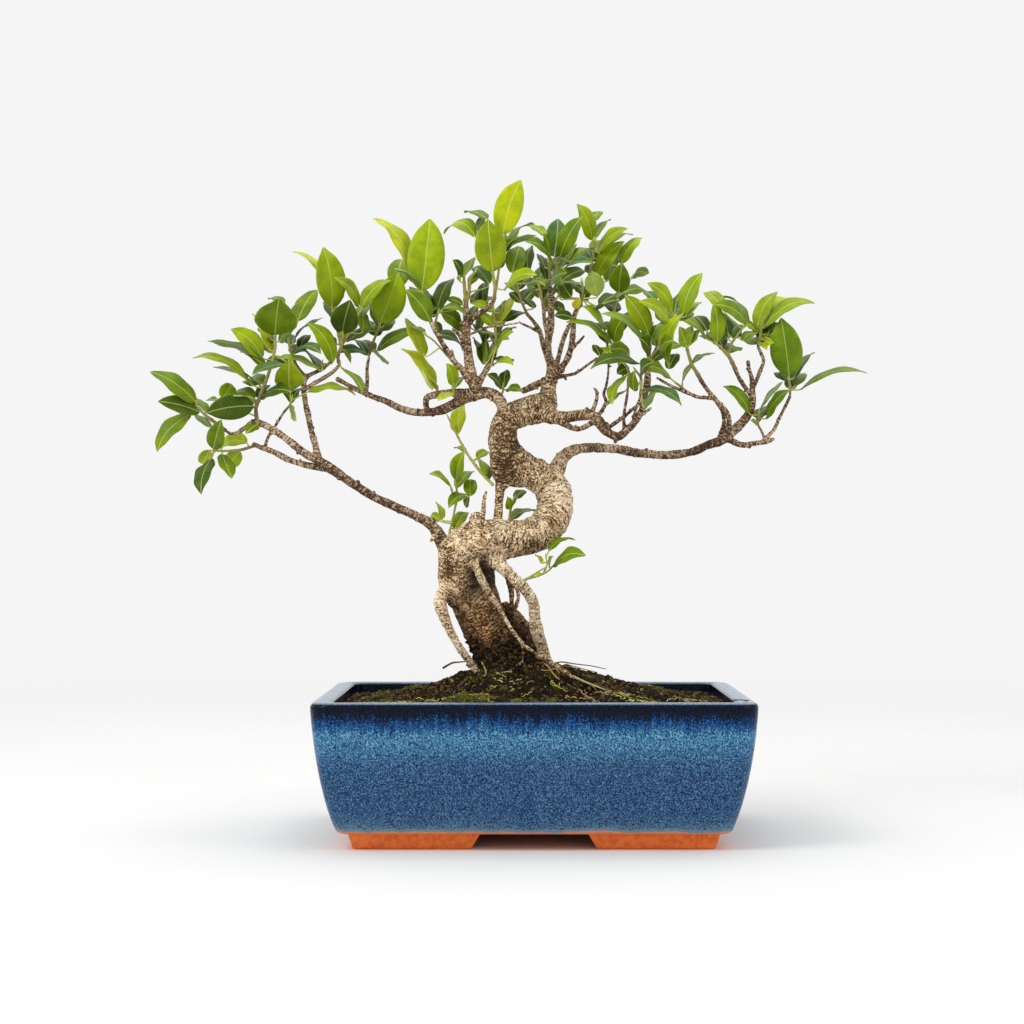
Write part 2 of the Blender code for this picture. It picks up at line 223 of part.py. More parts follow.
        (598, 296, 592, 271, 19, "p", 0, -4, -1), (563, 280, 585, 270, 12, "k", 1, 2, 1), (574, 308, 580, 298, 9, "y", 0, -3, -1), (600, 306, 618, 294, 10, "k", 1, 2, 1), (594, 310, 620, 301, 3, "g", 1, -2, -1),
        (571, 297, 562, 283, 12, "k", 0, 0, 1), (585, 296, 575, 284, 9, "k", 0, 4, 1), (583, 300, 596, 286, 9, "k", 1, 5, 1), (572, 318, 554, 316, 9, "k", 2, 2, 1), (560, 298, 572, 292, 7, "m", 1, 3, 1), (580, 290, 590, 300, 8, "k", 0, 4, 1)]),
    "shoot_back_left": ([[(543, 306, 66, 1.5), (541, 294, 70, 1.3), (538, 282, 74, 1.2)]], [
        (540, 298, 527, 284, 11, "k", 2, 2, 1), (543, 302, 556, 286, 11, "k", 1, 4, 1), (538, 286, 546, 262, 12, "k", 0, 3, 1), (536, 290, 523, 305, 9, "k", 1, 2, 1), (541, 300, 558, 304, 9, "k", 2, 5, 1), (541, 294, 530, 276, 16, "k", 0, 4, 2), (540, 290, 550, 276, 16, "m", 0, 4, 2)]),
    "shoot_back_right": ([[(544, 312, 62, 1.3), (554, 302, 68, 1.2), (562, 290, 72, 1.1)]], [
        (561, 290, 574, 270, 11, "k", 1, 3, 1), (558, 294, 573, 297, 10, "k", 2, 5, 1), (562, 288, 557, 266, 11, "m", 0, 3, 1), (553, 303, 566, 314, 9, "k", 0, 2, 1), (560, 291, 582, 284, 10, "k", 2, 6, 1), (560, 294, 570, 280, 16, "m", 0, 4, 2), (556, 300, 548, 312, 15, "k", 2, 5, 2)]),
    "shoot_fan": ([[(648, 371, -48, 2.2), (649, 358, -50, 2.0), (650, 347, -52, 1.6)], [(649, 360, -50, 1.3), (660, 348, -52, 1.1), (667, 360, -55, 1.0)]], [
        (646, 350, 604, 311, 7, "m", 6, -1, -1), (648, 332, 625, 295, 20, "b", 2, -3, -1), (650, 345, 661, 322, 13, "m", 1, 2, 1), (646, 340, 653, 322, 8, "k", 1, 5, 1), (668, 364, 681, 313, 14, "b", 6, -3, -1),
        (669, 369, 677, 352, 11, "k", 0, 4, 1), (653, 361, 668, 352, 10, "k", 2, 3, 1), (667, 349, 684, 346, 7, "m", 2, 3, 1), (640, 364, 590, 368, 10, "k", 6, -4, -1), (670, 326, 640, 301, 12, "b", 4, -1, -1), (650, 352, 640, 338, 14, "k", 0, -5, -2), (660, 350, 672, 340, 13, "m", 1, -5, -2)]),
    "shoot_fan_back": ([[(649, 364, -46, 1.4), (660, 340, -40, 1.3), (674, 318, -34, 1.2)]], [
        (672, 313, 648, 283, 14, "b", 4, -2, -1), (675, 312, 682, 289, 10, "c", 0, 3, 1), (683, 314, 702, 272, 17, "b", 2, 0, 1), (686, 316, 701, 301, 9, "b", 1, 3, 1), (655, 302, 643, 291, 8, "c", 1, 5, 1), (660, 334, 668, 320, 9, "k", 0, 3, 1), (668, 326, 660, 310, 15, "k", 0, 5, 2), (674, 320, 690, 310, 15, "m", 0, 5, 2), (656, 346, 646, 334, 14, "k", 0, 6, 2)]),
    "shoot_mid_left": ([[(628, 381, -40, 1.6), (629, 373, -41, 1.4), (625, 364, -42, 1.2)]], [
        (610, 350, 631, 357, 12, "m", 4, 2, 1), (612, 358, 597, 348, 9, "b", 1, 3, 1), (600, 356, 594, 344, 8, "k", 0, 4, 1), (626, 376, 611, 403, 10, "b", 3, -3, -1), (624, 392, 607, 407, 4, "g", 2, 2, 1), (629, 368, 617, 374, 11, "k", 1, 5, 2)]),
    "shoot_mid_right": ([[(641, 387, -54, 1.6), (641, 378, -55, 1.4), (636, 371, -56, 1.1)]], [
        (634, 391, 634, 371, 10, "m", 0, -4, -1), (641, 390, 682, 404, 9, "c", 5, -4, -1), (644, 407, 657, 392, 7, "g", 0, 3, 1), (640, 374, 650, 362, 12, "k", 0, -4, -2)]),
    "shoot_spur": ([[(687, 392, 14, 1.3), (680, 386, 11, 1.2), (676, 383, 9, 1.1)]], [
        (671, 379, 641, 367, 11, "m", 4, -2, -1)]),
    "shoot_right_mid": ([[(702, 382, 24, 2.0), (697, 373, 21, 2.0), (692, 365, 18, 1.9), (689, 356, 16, 1.7), (687, 348, 16, 1.5)]], [
        (686, 346, 680, 327, 11, "b", 0, -1, -1), (689, 346, 697, 329, 10, "m", 0, 2, 1), (687, 347, 690, 325, 11, "b", 0, 3, 1), (694, 363, 715, 355, 3, "g", 3, -1, -1), (692, 366, 682, 391, 3, "m", 3, 1, 1)]),
    "shoot_right_broad": ([[(736, 371, 43, 2.1), (732, 362, 40, 2.1), (728, 355, 38, 1.9), (722, 349, 37, 1.6), (717, 344, 36, 1.4)], [(728, 355, 38, 1.5), (732, 343, 36, 1.3), (742, 329, 35, 1.1)]], [
        (717, 342, 714, 304, 16, "b", 1, -4, -1), (706, 338, 660, 318, 9, "b", 8, 0, -1), (723, 310, 704, 291, 13, "b", 2, 3, 1), (747, 324, 715, 304, 13, "m", 4, -2, -1), (728, 334, 722, 311, 10, "k", 0, 4, 1),
        (748, 324, 722, 295, 3, "m", 5, 2, 1), (728, 338, 742, 323, 11, "c", 1, 4, 1), (707, 331, 694, 315, 12, "k", 1, 6, 1), (709, 340, 699, 335, 4, "m", 0, 3, 1), (743, 341, 757, 331, 8, "m", 1, 2, 1), (722, 346, 710, 330, 15, "k", 0, 6, 2), (734, 338, 730, 318, 15, "k", 0, 6, 2), (726, 352, 738, 346, 13, "m", 0, 5, 2)]),
    "shoot_right_tip": ([[(758, 347, 60, 1.5), (760, 338, 60, 1.5), (761, 329, 60, 1.3)]], [
        (757, 327, 777, 290, 15, "b", 2, 0, 1), (770, 314, 791, 298, 10, "l", 3, 5, 1), (765, 327, 814, 301, 12, "b", 6, -3, -1), (764, 340, 774, 343, 8, "l", 0, -2, -1), (765, 338, 769, 331, 5, "l", 0, 0, 1),
        (760, 330, 764, 316, 5, "l", 0, -3, -1), (767, 335, 780, 321, 9, "k", 1, 4, 1), (758, 331, 744, 324, 6, "b", 1, -2, -1), (759, 343, 767, 350, 6, "l", 0, -3, -1), (760, 334, 752, 322, 14, "k", 0, 4, 2), (760, 344, 748, 338, 12, "m", 0, 6, 2), (760, 340, 774, 334, 14, "m", 1, 5, 2), (761, 330, 772, 316, 14, "k", 0, 6, 2)]),
    "shoot_right_low": ([[(790, 395, 61, 1.3), (790, 388, 61, 1.3), (789, 380, 61, 1.2)]], [
        (789, 376, 781, 318, 31, "m", 0, -2, -1), (794, 378, 814, 351, 8, "c", 1, 3, 1), (800, 390, 867, 371, 6, "m", 6, 0, -1), (791, 389, 798, 386, 4, "g", 0, 1, 1), (790, 384, 784, 366, 15, "k", 0, 5, 2), (790, 388, 804, 372, 14, "m", 0, 5, 2), (789, 382, 777, 372, 12, "k", 1, 6, 2)]),
    "shoot_right_spray": ([[(761, 430, 44, 1.2), (758, 424, 43, 1.1), (759, 414, 42, 1.0)]], [
        (766, 419, 789, 389, 10, "m", 2, -1, -1), (760, 412, 785, 383, 5, "g", 2, 1, 1), (749, 414, 724, 385, 11, "m", 3, 2, 1), (759, 422, 765, 411, 5, "k", 0, 1, 1), (757, 424, 751, 420, 4, "b", 0, 0, -1), (759, 418, 770, 404, 12, "k", 0, 5, 2)]),
    "sprout_trunk": ([[(492.5, 484.5, -6, 1.8), (480, 471, 4, 1.6), (468, 455, 12, 1.4), (458, 437, 16, 1.2), (449, 419, 18, 0.9)]], [
        (459, 433, 461, 402, 15, "l", 0, 2, 1), (465, 452, 454, 447, 4, "b", 1, 1, 1), (477, 458, 489, 451, 8, "b", 1, 3, 1), (480, 459, 484, 476, 8, "b", 1, -2, -1), (487, 479, 487, 462, 8, "k", 0, 5, 1)]),
    "sprout_low_left": ([[(448, 538, 8, 1.1), (452, 522, 12, 1.1), (455, 508, 14, 1.2), (457, 496, 15, 1.3), (456, 484, 16, 1.2)]], [
        (456, 481, 463, 452, 15, "b", 0, -1, -1), (457, 488, 474, 470, 9, "m", 2, 3, 1), (454, 497, 430, 473, 4, "b", 5, -1, -1), (466, 496, 449, 507, 11, "m", 3, -3, -1), (470, 496, 471, 478, 13, "b", 0, 2, 1),
        (469, 497, 465, 508, 6, "k", 0, 5, 1), (455, 529, 468, 511, 12, "b", 1, 1, 1), (441, 519, 436, 502, 6, "l", 1, 4, 1), (440, 521, 430, 515, 9, "b", 1, 2, 1)]),
    "sprout_bridge": ([[(509, 521, 10, 1.4), (511, 508, 13, 1.3), (514, 499, 14, 1.1)]], [
        (510, 509, 508, 497, 8, "b", 0, -1, -1), (513, 505, 517, 495, 4, "b", 0, 0, 1), (515, 499, 526, 490, 8, "k", 1, 3, 1), (511, 520, 537, 511, 6, "m", 3, 2, 1)]),
    "sprout_low_right": ([[(519, 583, -22, 1.4), (530, 577, -24, 1.3), (541, 570, -26, 0.8)], [(526, 579.2, -23.4, 1.1), (538, 576, -25, 1.1), (548, 571, -27, 1.0), (552, 567, -28, 0.9)],
                          [(543, 573.6, -26, 0.9), (547, 565, -24, 0.9), (546, 557, -20, 0.8)]], [
        (553, 566, 584, 554, 12, "m", 4, 0, -1), (549, 551, 575, 538, 5, "m", 3, 2, 1), (541, 563, 535, 555, 3, "l", 1, 2, 1), (549, 567, 552, 556, 3, "b", 0, -1, -1), (544, 574, 536, 576, 3, "b", 1, -2, -1)]),
}

LEAF_PROFILE = [(0.0, 0.10), (0.06, 0.20), (0.14, 0.44), (0.24, 0.70), (0.36, 0.90), (0.48, 1.0), (0.58, 0.985), (0.68, 0.90), (0.78, 0.72), (0.87, 0.47), (0.94, 0.22), (1.0, 0.0)]


def profile_width(t):
    """Half-open leaf outline: the blade's width at t along it, as a share of its full width."""
    for (a, wa), (b, wb) in zip(LEAF_PROFILE, LEAF_PROFILE[1:]):
        if t <= b:
            k = (t - a) / (b - a)
            return wa + (wb - wa) * k
    return 0.0


def smooth_path(points, step):
    """Points every step mm or so along a smooth curve through (Vector, radius) points."""
    out = []
    n = len(points)
    for i in range(n - 1):
        p0, r0 = points[max(i - 1, 0)]
        p1, r1 = points[i]
        p2, r2 = points[i + 1]
        p3, r3 = points[min(i + 2, n - 1)]
        k = max(1, int(math.ceil((p2 - p1).length / step)))
        for j in range(k):
            t = j / k
            t2, t3 = t * t, t * t * t
            p = 0.5 * ((2 * p1) + (p2 - p0) * t + (2 * p0 - 5 * p1 + 4 * p2 - p3) * t2 + (3 * p1 - p0 - 3 * p2 + p3) * t3)
            out.append((p, r1 + (r2 - r1) * (t2 * 3 - 2 * t3)))
    out.append(points[-1])
    return out


def path_mm(rows):
    return [(sight(u, v, y), r * scale_at(y)) for u, v, y, r in rows]


def tube(path, sides, grow=0.0, dome=1.0):
    """A closed round tube along (Vector, radius) points, as (points, faces), with a domed cap on each end."""
    pts, rads = [p for p, _ in path], [r + grow for _, r in path]
    d0 = (pts[1] - pts[0]).normalized()
    d1 = (pts[-1] - pts[-2]).normalized()
    rows = [(pts[0] - d0 * (rads[0] * dome * 0.75 + grow * 0.3), rads[0] * 0.55)] + list(zip(pts, rads)) + [(pts[-1] + d1 * (rads[-1] * dome * 0.75 + grow * 0.3), rads[-1] * 0.55)]
    n = len(rows)
    side = Vector((0, 1, 0))
    if abs(d0.dot(side)) > 0.9:
        side = Vector((1, 0, 0))
    verts, faces = [], []
    last = None
    for i, (p, r) in enumerate(rows):
        a = rows[max(i - 1, 0)][0]
        b = rows[min(i + 1, n - 1)][0]
        t = (b - a).normalized()
        side = (side - t * side.dot(t)).normalized()
        up = t.cross(side)
        ring = []
        for k in range(sides):
            ang = 2 * math.pi * k / sides
            ring.append(len(verts))
            verts.append(p + side * (r * math.cos(ang)) + up * (r * math.sin(ang)))
        if last:
            for k in range(sides):
                k2 = (k + 1) % sides
                faces.append((last[k], last[k2], ring[k2], ring[k]))
        last = ring
    faces.append(tuple(reversed(range(sides))))
    faces.append(tuple(last))
    return verts, faces


def bvh(verts, faces):
    return BVHTree.FromPolygons([tuple(v) for v in verts], faces, epsilon=0.0)


def box_of(verts, pad=0.3):
    xs, ys, zs = zip(*[(v[0], v[1], v[2]) for v in verts])
    return (min(xs) - pad, min(ys) - pad, min(zs) - pad, max(xs) + pad, max(ys) + pad, max(zs) + pad)


def boxes_meet(a, b):
    return a[0] <= b[3] and b[0] <= a[3] and a[1] <= b[4] and b[1] <= a[4] and a[2] <= b[5] and b[2] <= a[5]


GAP = 0.4                          # clearance left between neighbouring pieces, mm


def wood_forms(name):
    """The tubes of one piece of wood, and the same tubes grown by GAP all round."""
    out = []
    for rows in WOOD[name]:
        thick = max(r[3] for r in rows)
        step = 10.0 if thick > 12 else 15.0
        sides = 12 if thick > 20 else 10 if thick > 12 else 8 if thick > 7 else 6 if thick > 3.9 else 5 if thick > 2.5 else 4
        p = smooth_path(path_mm(rows), step)
        out.append((tube(p, sides), tube(p, sides, GAP)))
    return out


def leaf_shape(row, root, y_base, dy_tip):
    """One leaf worked out from its row: where its petiole, blade and tip lie and which way it faces, mm."""
    bu, bv, tu, tv, w, tone, rise, dy, way = row
    base = sight(bu, bv, y_base)
    flat = sight(tu, tv, y_base)
    seen = (flat - base).length
    true = seen * 1.02 if seen > 34 else min(34.0, seen * 1.22 + 4.0)
    if abs(way) > 1:                # a leaf that grows straight towards the front or the back
        true = max(true, 33.0)
    y_tip = y_base + math.copysign(1.0, way) * math.sqrt(max(true * true - seen * seen, 0.0)) + dy_tip
    tip = sight(tu, tv, y_tip)
    axis = (tip - base)
    length = axis.length
    axis = axis / length
    eye = (base + tip) / 2 - Vector(STATION)
    eye.normalize()
    front = (-eye) - axis * (-eye).dot(axis)
    if front.length < 1e-4:
        front = Vector((0, -1, 0))
    front.normalize()
    side = axis.cross(front)
    w_mm = w * scale_at(y_base)
    width = max(w_mm, 0.44 * min(length, 40.0), 3.2)
    roll = math.acos(max(0.0, min(1.0, w_mm / width)))
    best = None
    for s in (1.0, -1.0):
        n = front * math.cos(roll) + side * (s * math.sin(roll))
        score = n.z * (-1.0 if tone in "gp" else 1.0)
        if best is None or score > best[0]:
            best = (score, n)
    normal = best[1].normalized()
    across = axis.cross(normal).normalized()
    over = Vector((0, 0, 1)) - axis * axis.z - eye * (eye.z - axis.z * axis.dot(eye))
    over = over - axis * over.dot(axis)
    arch = over.normalized() * (rise * scale_at(y_base)) if over.length > 0.05 else Vector((-rise * scale_at(y_base), 0, 0))
    return {"root": root, "base": base, "tip": tip, "axis": axis, "normal": normal, "across": across, "arch": arch, "width": width, "length": length, "tone": tone}


def leaf_mid(s, t):
    """A point on the midrib."""
    return s["base"].lerp(s["tip"], t) + s["arch"] * (4 * t * (1 - t)) + s["normal"] * (s["length"] * 0.05 * 4 * t * (1 - t) * (1.0 if s["tone"] not in "gp" else -1.0))


def leaf_block(s, stalk=0.75):
    """The leaf as plain closed solids: a three-sided petiole, growing from a point inside the stem, that opens into a keeled
    blade. Where the petiole bends back sharply it is a solid of its own, sunk into the blade's base."""
    rows = [(s["base"], stalk * 2.2, stalk * 1.3)]
    for t, w in (((0.30, 0.86), (0.68, 0.88)) if s["length"] > 34 else ((0.45, 1.0),)):
        rows.append((leaf_mid(s, t), s["width"] * w, 0.9))
    start = s["root"]
    bend = s["base"] - start
    extra = []
    if bend.length < 1.0:
        start = s["base"] - s["axis"] * 1.0
    elif bend.normalized().dot(s["axis"]) < 0.35:
        d = bend.normalized()
        a = d.cross(s["normal"])
        a = a.normalized() if a.length > 0.1 else d.cross(s["across"]).normalized()
        n = a.cross(d)
        pv = []
        for p in (start, s["base"] + d * 0.3 + s["axis"] * 0.5):
            pv += [p - a * stalk + n * (stalk * 0.5), p + a * stalk + n * (stalk * 0.5), p - n * stalk]
        extra = [(pv, [(2, 1, 0), (3, 4, 5), (0, 1, 4, 3), (1, 2, 5, 4), (2, 0, 3, 5)])]
        start = s["base"] - s["axis"] * 1.0
    verts, faces = [start], [(0, 2, 1), (0, 3, 2), (0, 1, 3)]
    for p, w, h in rows:
        verts += [p - s["across"] * (w / 2) + s["normal"] * (h * 0.3), p + s["across"] * (w / 2) + s["normal"] * (h * 0.3), p - s["normal"] * (h * 0.7)]
    for i in range(len(rows) - 1):
        for k in range(3):
            k2 = (k + 1) % 3
            faces.append((1 + 3 * i + k, 1 + 3 * i + k2, 4 + 3 * i + k2, 4 + 3 * i + k))
    j = 1 + 3 * (len(rows) - 1)
    tip = len(verts)
    verts.append(s["tip"])
    for k in range(3):
        faces.append((j + k, j + (k + 1) % 3, tip))
    return [(verts, faces)] + extra


def joined(parts):
    verts, faces = [], []
    for v, f in parts:
        faces += [tuple(i + len(verts) for i in face) for face in f]
        verts += v
    return verts, faces


TIP_TRIES = (0, 5, -5, 10, -10, 15, -15, 20, -20, 26, -26, 33, -33, 40, -40, 48, -48)
STEM_STEP = 16.0                   # mm between the rings of a stem
BASE_TRIES = (0, 4, -4, 8, -8, 13, -13)


def place_leaves(wood_tubes):
    """Each leaf in turn, its tip swung nearer or farther until it clears the wood and the leaves of other shoots.
    Returns {shoot: [leaf, ...]} and how many were left out because nothing cleared."""
    fixed = [(None, box_of(v), bvh(v, f)) for v, f in wood_tubes]
    stems = {name: [smooth_path(path_mm(p), STEM_STEP) for p in paths] for name, (paths, _) in SHOOTS.items()}
    for name, paths in stems.items():
        for p in paths:
            v, f = tube(p, 4, 0.4)
            fixed.append((name, box_of(v), bvh(v, f)))
    bark = [(p, r) for rows in WOOD.values() for path in rows for p, r in smooth_path(path_mm(path), 4.0)]

    def clear_of_wood(q):
        return all((q - p).length_squared > (r + 1.3) ** 2 for p, r in bark)

    placed, dropped = {}, []
    for name, (_, rows) in SHOOTS.items():
        placed[name] = []
        along = []
        for p in stems[name]:
            for (a, _), (b, _) in zip(p, p[1:]):
                along += [a.lerp(b, k / 8) for k in range(9)]
        along = [(q, seen_at(q)) for q in along if clear_of_wood(q)] or [(q, seen_at(q)) for q in along[-1:]]
        for row in rows:
            bu, bv, tu, tv = row[:4]
            ln = math.hypot(tu - bu, tv - bv) or 1.0
            du, dv = (tu - bu) / ln, (tv - bv) / ln

            def cost(item):  # the nearest place on the shoot, and rather behind the blade than ahead of it
                (u, v) = item[1]
                return math.hypot(u - bu, v - bv) + 0.8 * max(0.0, (u - bu) * du + (v - bv) * dv)

            root = min(along, key=cost)[0]
            done = None
            for db in BASE_TRIES:
                for dt in TIP_TRIES:
                    s = leaf_shape(row, root, root.y + row[7] + db, dt)
                    parts = leaf_block(s)
                    v, f = joined(parts)
                    bb = box_of(v)
                    tree = bvh(v, f)
                    if all(who == name or not boxes_meet(bb, b) or not tree.overlap(t) for who, b, t in fixed):
                        done = (s, parts, bb, tree)
                        break
                if done:
                    break
            if done is None:
                dropped.append((name, row))
                continue
            placed[name].append((done[0], done[1]))
            fixed.append((name, done[2], done[3]))
    return stems, placed, dropped

# ---------------------------------------------------------------- materials
def principled(name, colour, roughness, metallic=0.0):
    m = bpy.data.materials.new(name)
    m.use_nodes = True
    b = m.node_tree.nodes["Principled BSDF"]
    b.inputs["Base Color"].default_value = (*colour, 1.0)
    b.inputs["Roughness"].default_value = roughness
    b.inputs["Metallic"].default_value = metallic
    m.diffuse_color = (*colour, 1.0)
    return m


BLUE_GLAZE = ((0.030, 0.100, 0.270), 0.20)
BARK_PALE = ((0.520, 0.390, 0.250), 0.75)
BARK_TAN = ((0.420, 0.290, 0.180), 0.78)
ROOT_TAN = ((0.440, 0.280, 0.150), 0.75)
SOIL_DARK = ((0.022, 0.013, 0.008), 0.95)
MOSS_GREEN = ((0.240, 0.260, 0.030), 0.95)
SCREEN_DARK = ((0.030, 0.032, 0.034), 0.60)
LEAF_TONE = {"k": (0.016, 0.050, 0.008), "m": (0.050, 0.135, 0.012), "b": (0.210, 0.380, 0.014), "l": (0.420, 0.560, 0.022)}

ROOT = bpy.data.objects.new("bonsai", None)
bpy.context.scene.collection.objects.link(ROOT)


def add(name, verts, faces, look, smooth=True):
    """An object from points in millimetres of the pot's frame."""
    me = bpy.data.meshes.new(name)
    me.from_pydata([tuple(c * 0.001 for c in v) for v in verts], [], faces)
    me.validate()
    for p in me.polygons:
        p.use_smooth = smooth
    ob = bpy.data.objects.new(name, me)
    bpy.context.scene.collection.objects.link(ob)
    ob.parent = ROOT
    ob.data.materials.append(look)
    return ob


def hidden(ob):
    ob.hide_render = True
    ob.display_type = "WIRE"
    return ob


def boolean(ob, name, operation, other):
    m = ob.modifiers.new(name, "BOOLEAN")
    m.operation = operation
    m.solver = "MANIFOLD"
    m.object = other
    return m


def outward(verts, faces):
    """The same closed shape with its faces pointing out."""
    vol = 0.0
    for f in faces:
        for i in range(1, len(f) - 1):
            a, b, c = (Vector(verts[j]) for j in (f[0], f[i], f[i + 1]))
            vol += a.dot(b.cross(c))
    return (verts, faces) if vol > 0 else (verts, [tuple(reversed(f)) for f in faces])


def loft(rings, closed_low=True, closed_high=True):
    verts, faces = [], []
    n = len(rings[0])
    for r in rings:
        verts += r
    for i in range(len(rings) - 1):
        for k in range(n):
            k2 = (k + 1) % n
            faces.append((i * n + k, i * n + k2, (i + 1) * n + k2, (i + 1) * n + k))
    if closed_low:
        faces.append(tuple(reversed(range(n))))
    if closed_high:
        faces.append(tuple(range((len(rings) - 1) * n, len(rings) * n)))
    return outward(verts, faces)


def one_body(ob):
    """Works out the object's joins and cuts, and leaves off the crumbs that a cut may have freed from it."""
    graph = bpy.context.evaluated_depsgraph_get()
    done = bpy.data.meshes.new_from_object(ob.evaluated_get(graph))
    bm = bmesh.new()
    bm.from_mesh(done)
    left, bodies = set(bm.verts), []
    while left:
        seed = min(left, key=lambda v: v.index)
        body, front = {seed}, [seed]
        while front:
            for e in front.pop().link_edges:
                for v in e.verts:
                    if v not in body:
                        body.add(v)
                        front.append(v)
        left -= body
        low = [min(v.co[k] for v in body) for k in range(3)]
        high = [max(v.co[k] for v in body) for k in range(3)]
        bodies.append((sum(h - w for h, w in zip(high, low)), body))
    bodies.sort(key=lambda item: -item[0])
    lost = [round(size * 1000, 1) for size, _ in bodies[1:] if size > 0.004]
    if lost:
        print("left off", ob.name, lost)
    bmesh.ops.delete(bm, geom=[v for _, body in bodies[1:] for v in body], context="VERTS")
    bm.to_mesh(done)
    bm.free()
    ob.modifiers.clear()
    ob.data = done


# ---------------------------------------------------------------- pot
def pot_rings(rows, corners=4):
    return [rounded_ring(RIM_HALF[0] - inset, RIM_HALF[1] - inset, radius, z, corners) for z, inset, radius in rows]


def build_pot():
    skin = OUTER + INNER
    v, f = loft(pot_rings(skin))
    pot = add("pot", v, f, principled("blue_glaze", *BLUE_GLAZE))
    feet = []
    for sx in (-1, 1):
        for sy in (-1, 1):
            # An angled foot round the corner: a long arm along the front or back and a short one down the side.
            # Its ends slope, so it is narrower at the table than at the body.
            x_out, y_out = RIM_HALF[0] - FOOT_INSET[0], RIM_HALF[1] - FOOT_INSET[1]
            arms = ((x_out - 96.0, x_out, y_out - FOOT_WIDE, y_out), (x_out - FOOT_WIDE, x_out, y_out - 58.0, y_out))
            for k, (x0, x1, y0, y1) in enumerate(arms):
                lean_x0, lean_y0 = (8.0, 3.0) if k == 0 else (3.0, 8.0)
                top = [(x0, y0), (x1, y0), (x1, y1), (x0, y1)]
                low = [(x0 + lean_x0, y0 + lean_y0), (x1 - 4.0, y0 + lean_y0), (x1 - 4.0, y1 - 4.0), (x0 + lean_x0, y1 - 4.0)]
                rings = [[(sx * x, sy * y, 0.0) for x, y in low], [(sx * x, sy * y, BODY_Z + 2.0) for x, y in top]]
                fv, ff = loft(rings)
                feet.append(hidden(add("foot_form_%d%d%d" % (sx > 0, sy > 0, k), fv, ff, pot.data.materials[0])))
    for foot in feet:
        boolean(pot, "join_" + foot.name, "UNION", foot)
    for k, sx in enumerate((-1, 1)):
        ring = [[(sx * HOLE_X + HOLE_R * math.cos(2 * math.pi * i / 20), HOLE_R * math.sin(2 * math.pi * i / 20), z) for i in range(20)] for z in (BODY_Z - 6.0, FLOOR_Z + 6.0)]
        hv, hf = loft(ring)
        boolean(pot, "drain_hole_%d" % k, "DIFFERENCE", hidden(add("drain_cutter_%d" % k, hv, hf, pot.data.materials[0])))
    return pot


def build_screens():
    look = principled("screen_mesh", *SCREEN_DARK)
    out = []
    for name, sx in (("drainage_screen_left", -1), ("drainage_screen_right", 1)):
        cx, half, thick, z0 = sx * HOLE_X, 15.0, 1.2, FLOOR_Z + GAP
        ring = [rounded_ring(half, half, 2.0, z, 2) for z in (z0, z0 + thick)]
        v, f = loft([[(x + cx, y, z) for x, y, z in r] for r in ring])
        ob = add(name, v, f, look, smooth=False)
        # The mesh of the screen: rows of square openings over the drainage hole.
        slots = []
        for i in range(3):
            x0 = cx - 7.3 + i * 5.3
            for j in range(3):
                y0 = -7.3 + j * 5.3
                slots.append((x0, y0))
        cv, cf = [], []
        for x0, y0 in slots:
            b = len(cv)
            for z in (z0 - 2, z0 + thick + 2):
                cv += [(x0, y0, z), (x0 + 4.0, y0, z), (x0 + 4.0, y0 + 4.0, z), (x0, y0 + 4.0, z)]
            cf += [(b + 3, b + 2, b + 1, b), (b + 4, b + 5, b + 6, b + 7)] + [(b + k, b + (k + 1) % 4, b + 4 + (k + 1) % 4, b + 4 + k) for k in range(4)]
        boolean(ob, "mesh_openings", "DIFFERENCE", hidden(add(name + "_cutter", *outward(cv, cf), look)))
        out.append(ob)
    return out


# ---------------------------------------------------------------- soil and moss
# Where the trunk and the roots go into the soil, it is cut back to leave GAP round them.
def build_soil(wood):
    look = principled("soil", *SOIL_DARK)
    rows_below = [r for r in reversed(INNER) if r[0] <= 88.0] + [(92.0, 15.2, 8.0)]
    rings = []
    for z, inset, radius in rows_below:
        zz = z + (GAP if z <= FLOOR_Z + 0.1 else 0.0)
        rings.append(rounded_ring(RIM_HALF[0] - inset - GAP, RIM_HALF[1] - inset - GAP, radius, zz, 4))
    v, f = loft(rings, closed_high=False)
    n = len(rings[0])
    base = (len(rings) - 1) * n
    # The surface runs in from the wall over level rings, each point at the height of the soil there.
    last = list(range(base, base + n))
    v = list(v)
    f = list(f)
    edge = [(p[0], p[1]) for p in rings[-1]]
    for share in (1.0, 0.80, 0.62, 0.46, 0.32, 0.18, 0.07):
        ring = []
        for x, y in edge:
            a = math.atan2(y / RIM_HALF[1], x / RIM_HALF[0])
            round_x, round_y = 1.08 * RIM_HALF[0] * math.cos(a), 1.08 * RIM_HALF[1] * math.sin(a)
            k = (1 - share) ** 0.7
            px = (x * (1 - k) + round_x * k) * share - 12.0 * (1 - share)
            py = (y * (1 - k) + round_y * k) * share
            ring.append(len(v))
            v.append((px, py, soil_height(px, py)))
        for k in range(n):
            k2 = (k + 1) % n
            f.append((last[k], last[k2], ring[k2], ring[k]))
        last = ring
    f.append(tuple(last))
    v, f = outward(v, f)
    soil = add("soil", v, f, look)
    # Over each screen the soil stops short of it.
    for sx in (-1, 1):
        ring = [[(x + sx * HOLE_X, y, z) for x, y, z in rounded_ring(15.5, 15.5, 2.0, z, 2)] for z in (FLOOR_Z - 3.0, FLOOR_Z + GAP + 1.2 + GAP)]
        cv, cf = loft(ring)
        boolean(soil, "over_screen_%d" % (sx > 0), "DIFFERENCE", hidden(add("screen_space_%d" % (sx > 0), cv, cf, look)))
    for k, cutter in enumerate(wood):
        boolean(soil, "round_wood_%d" % k, "DIFFERENCE", cutter)
    return soil


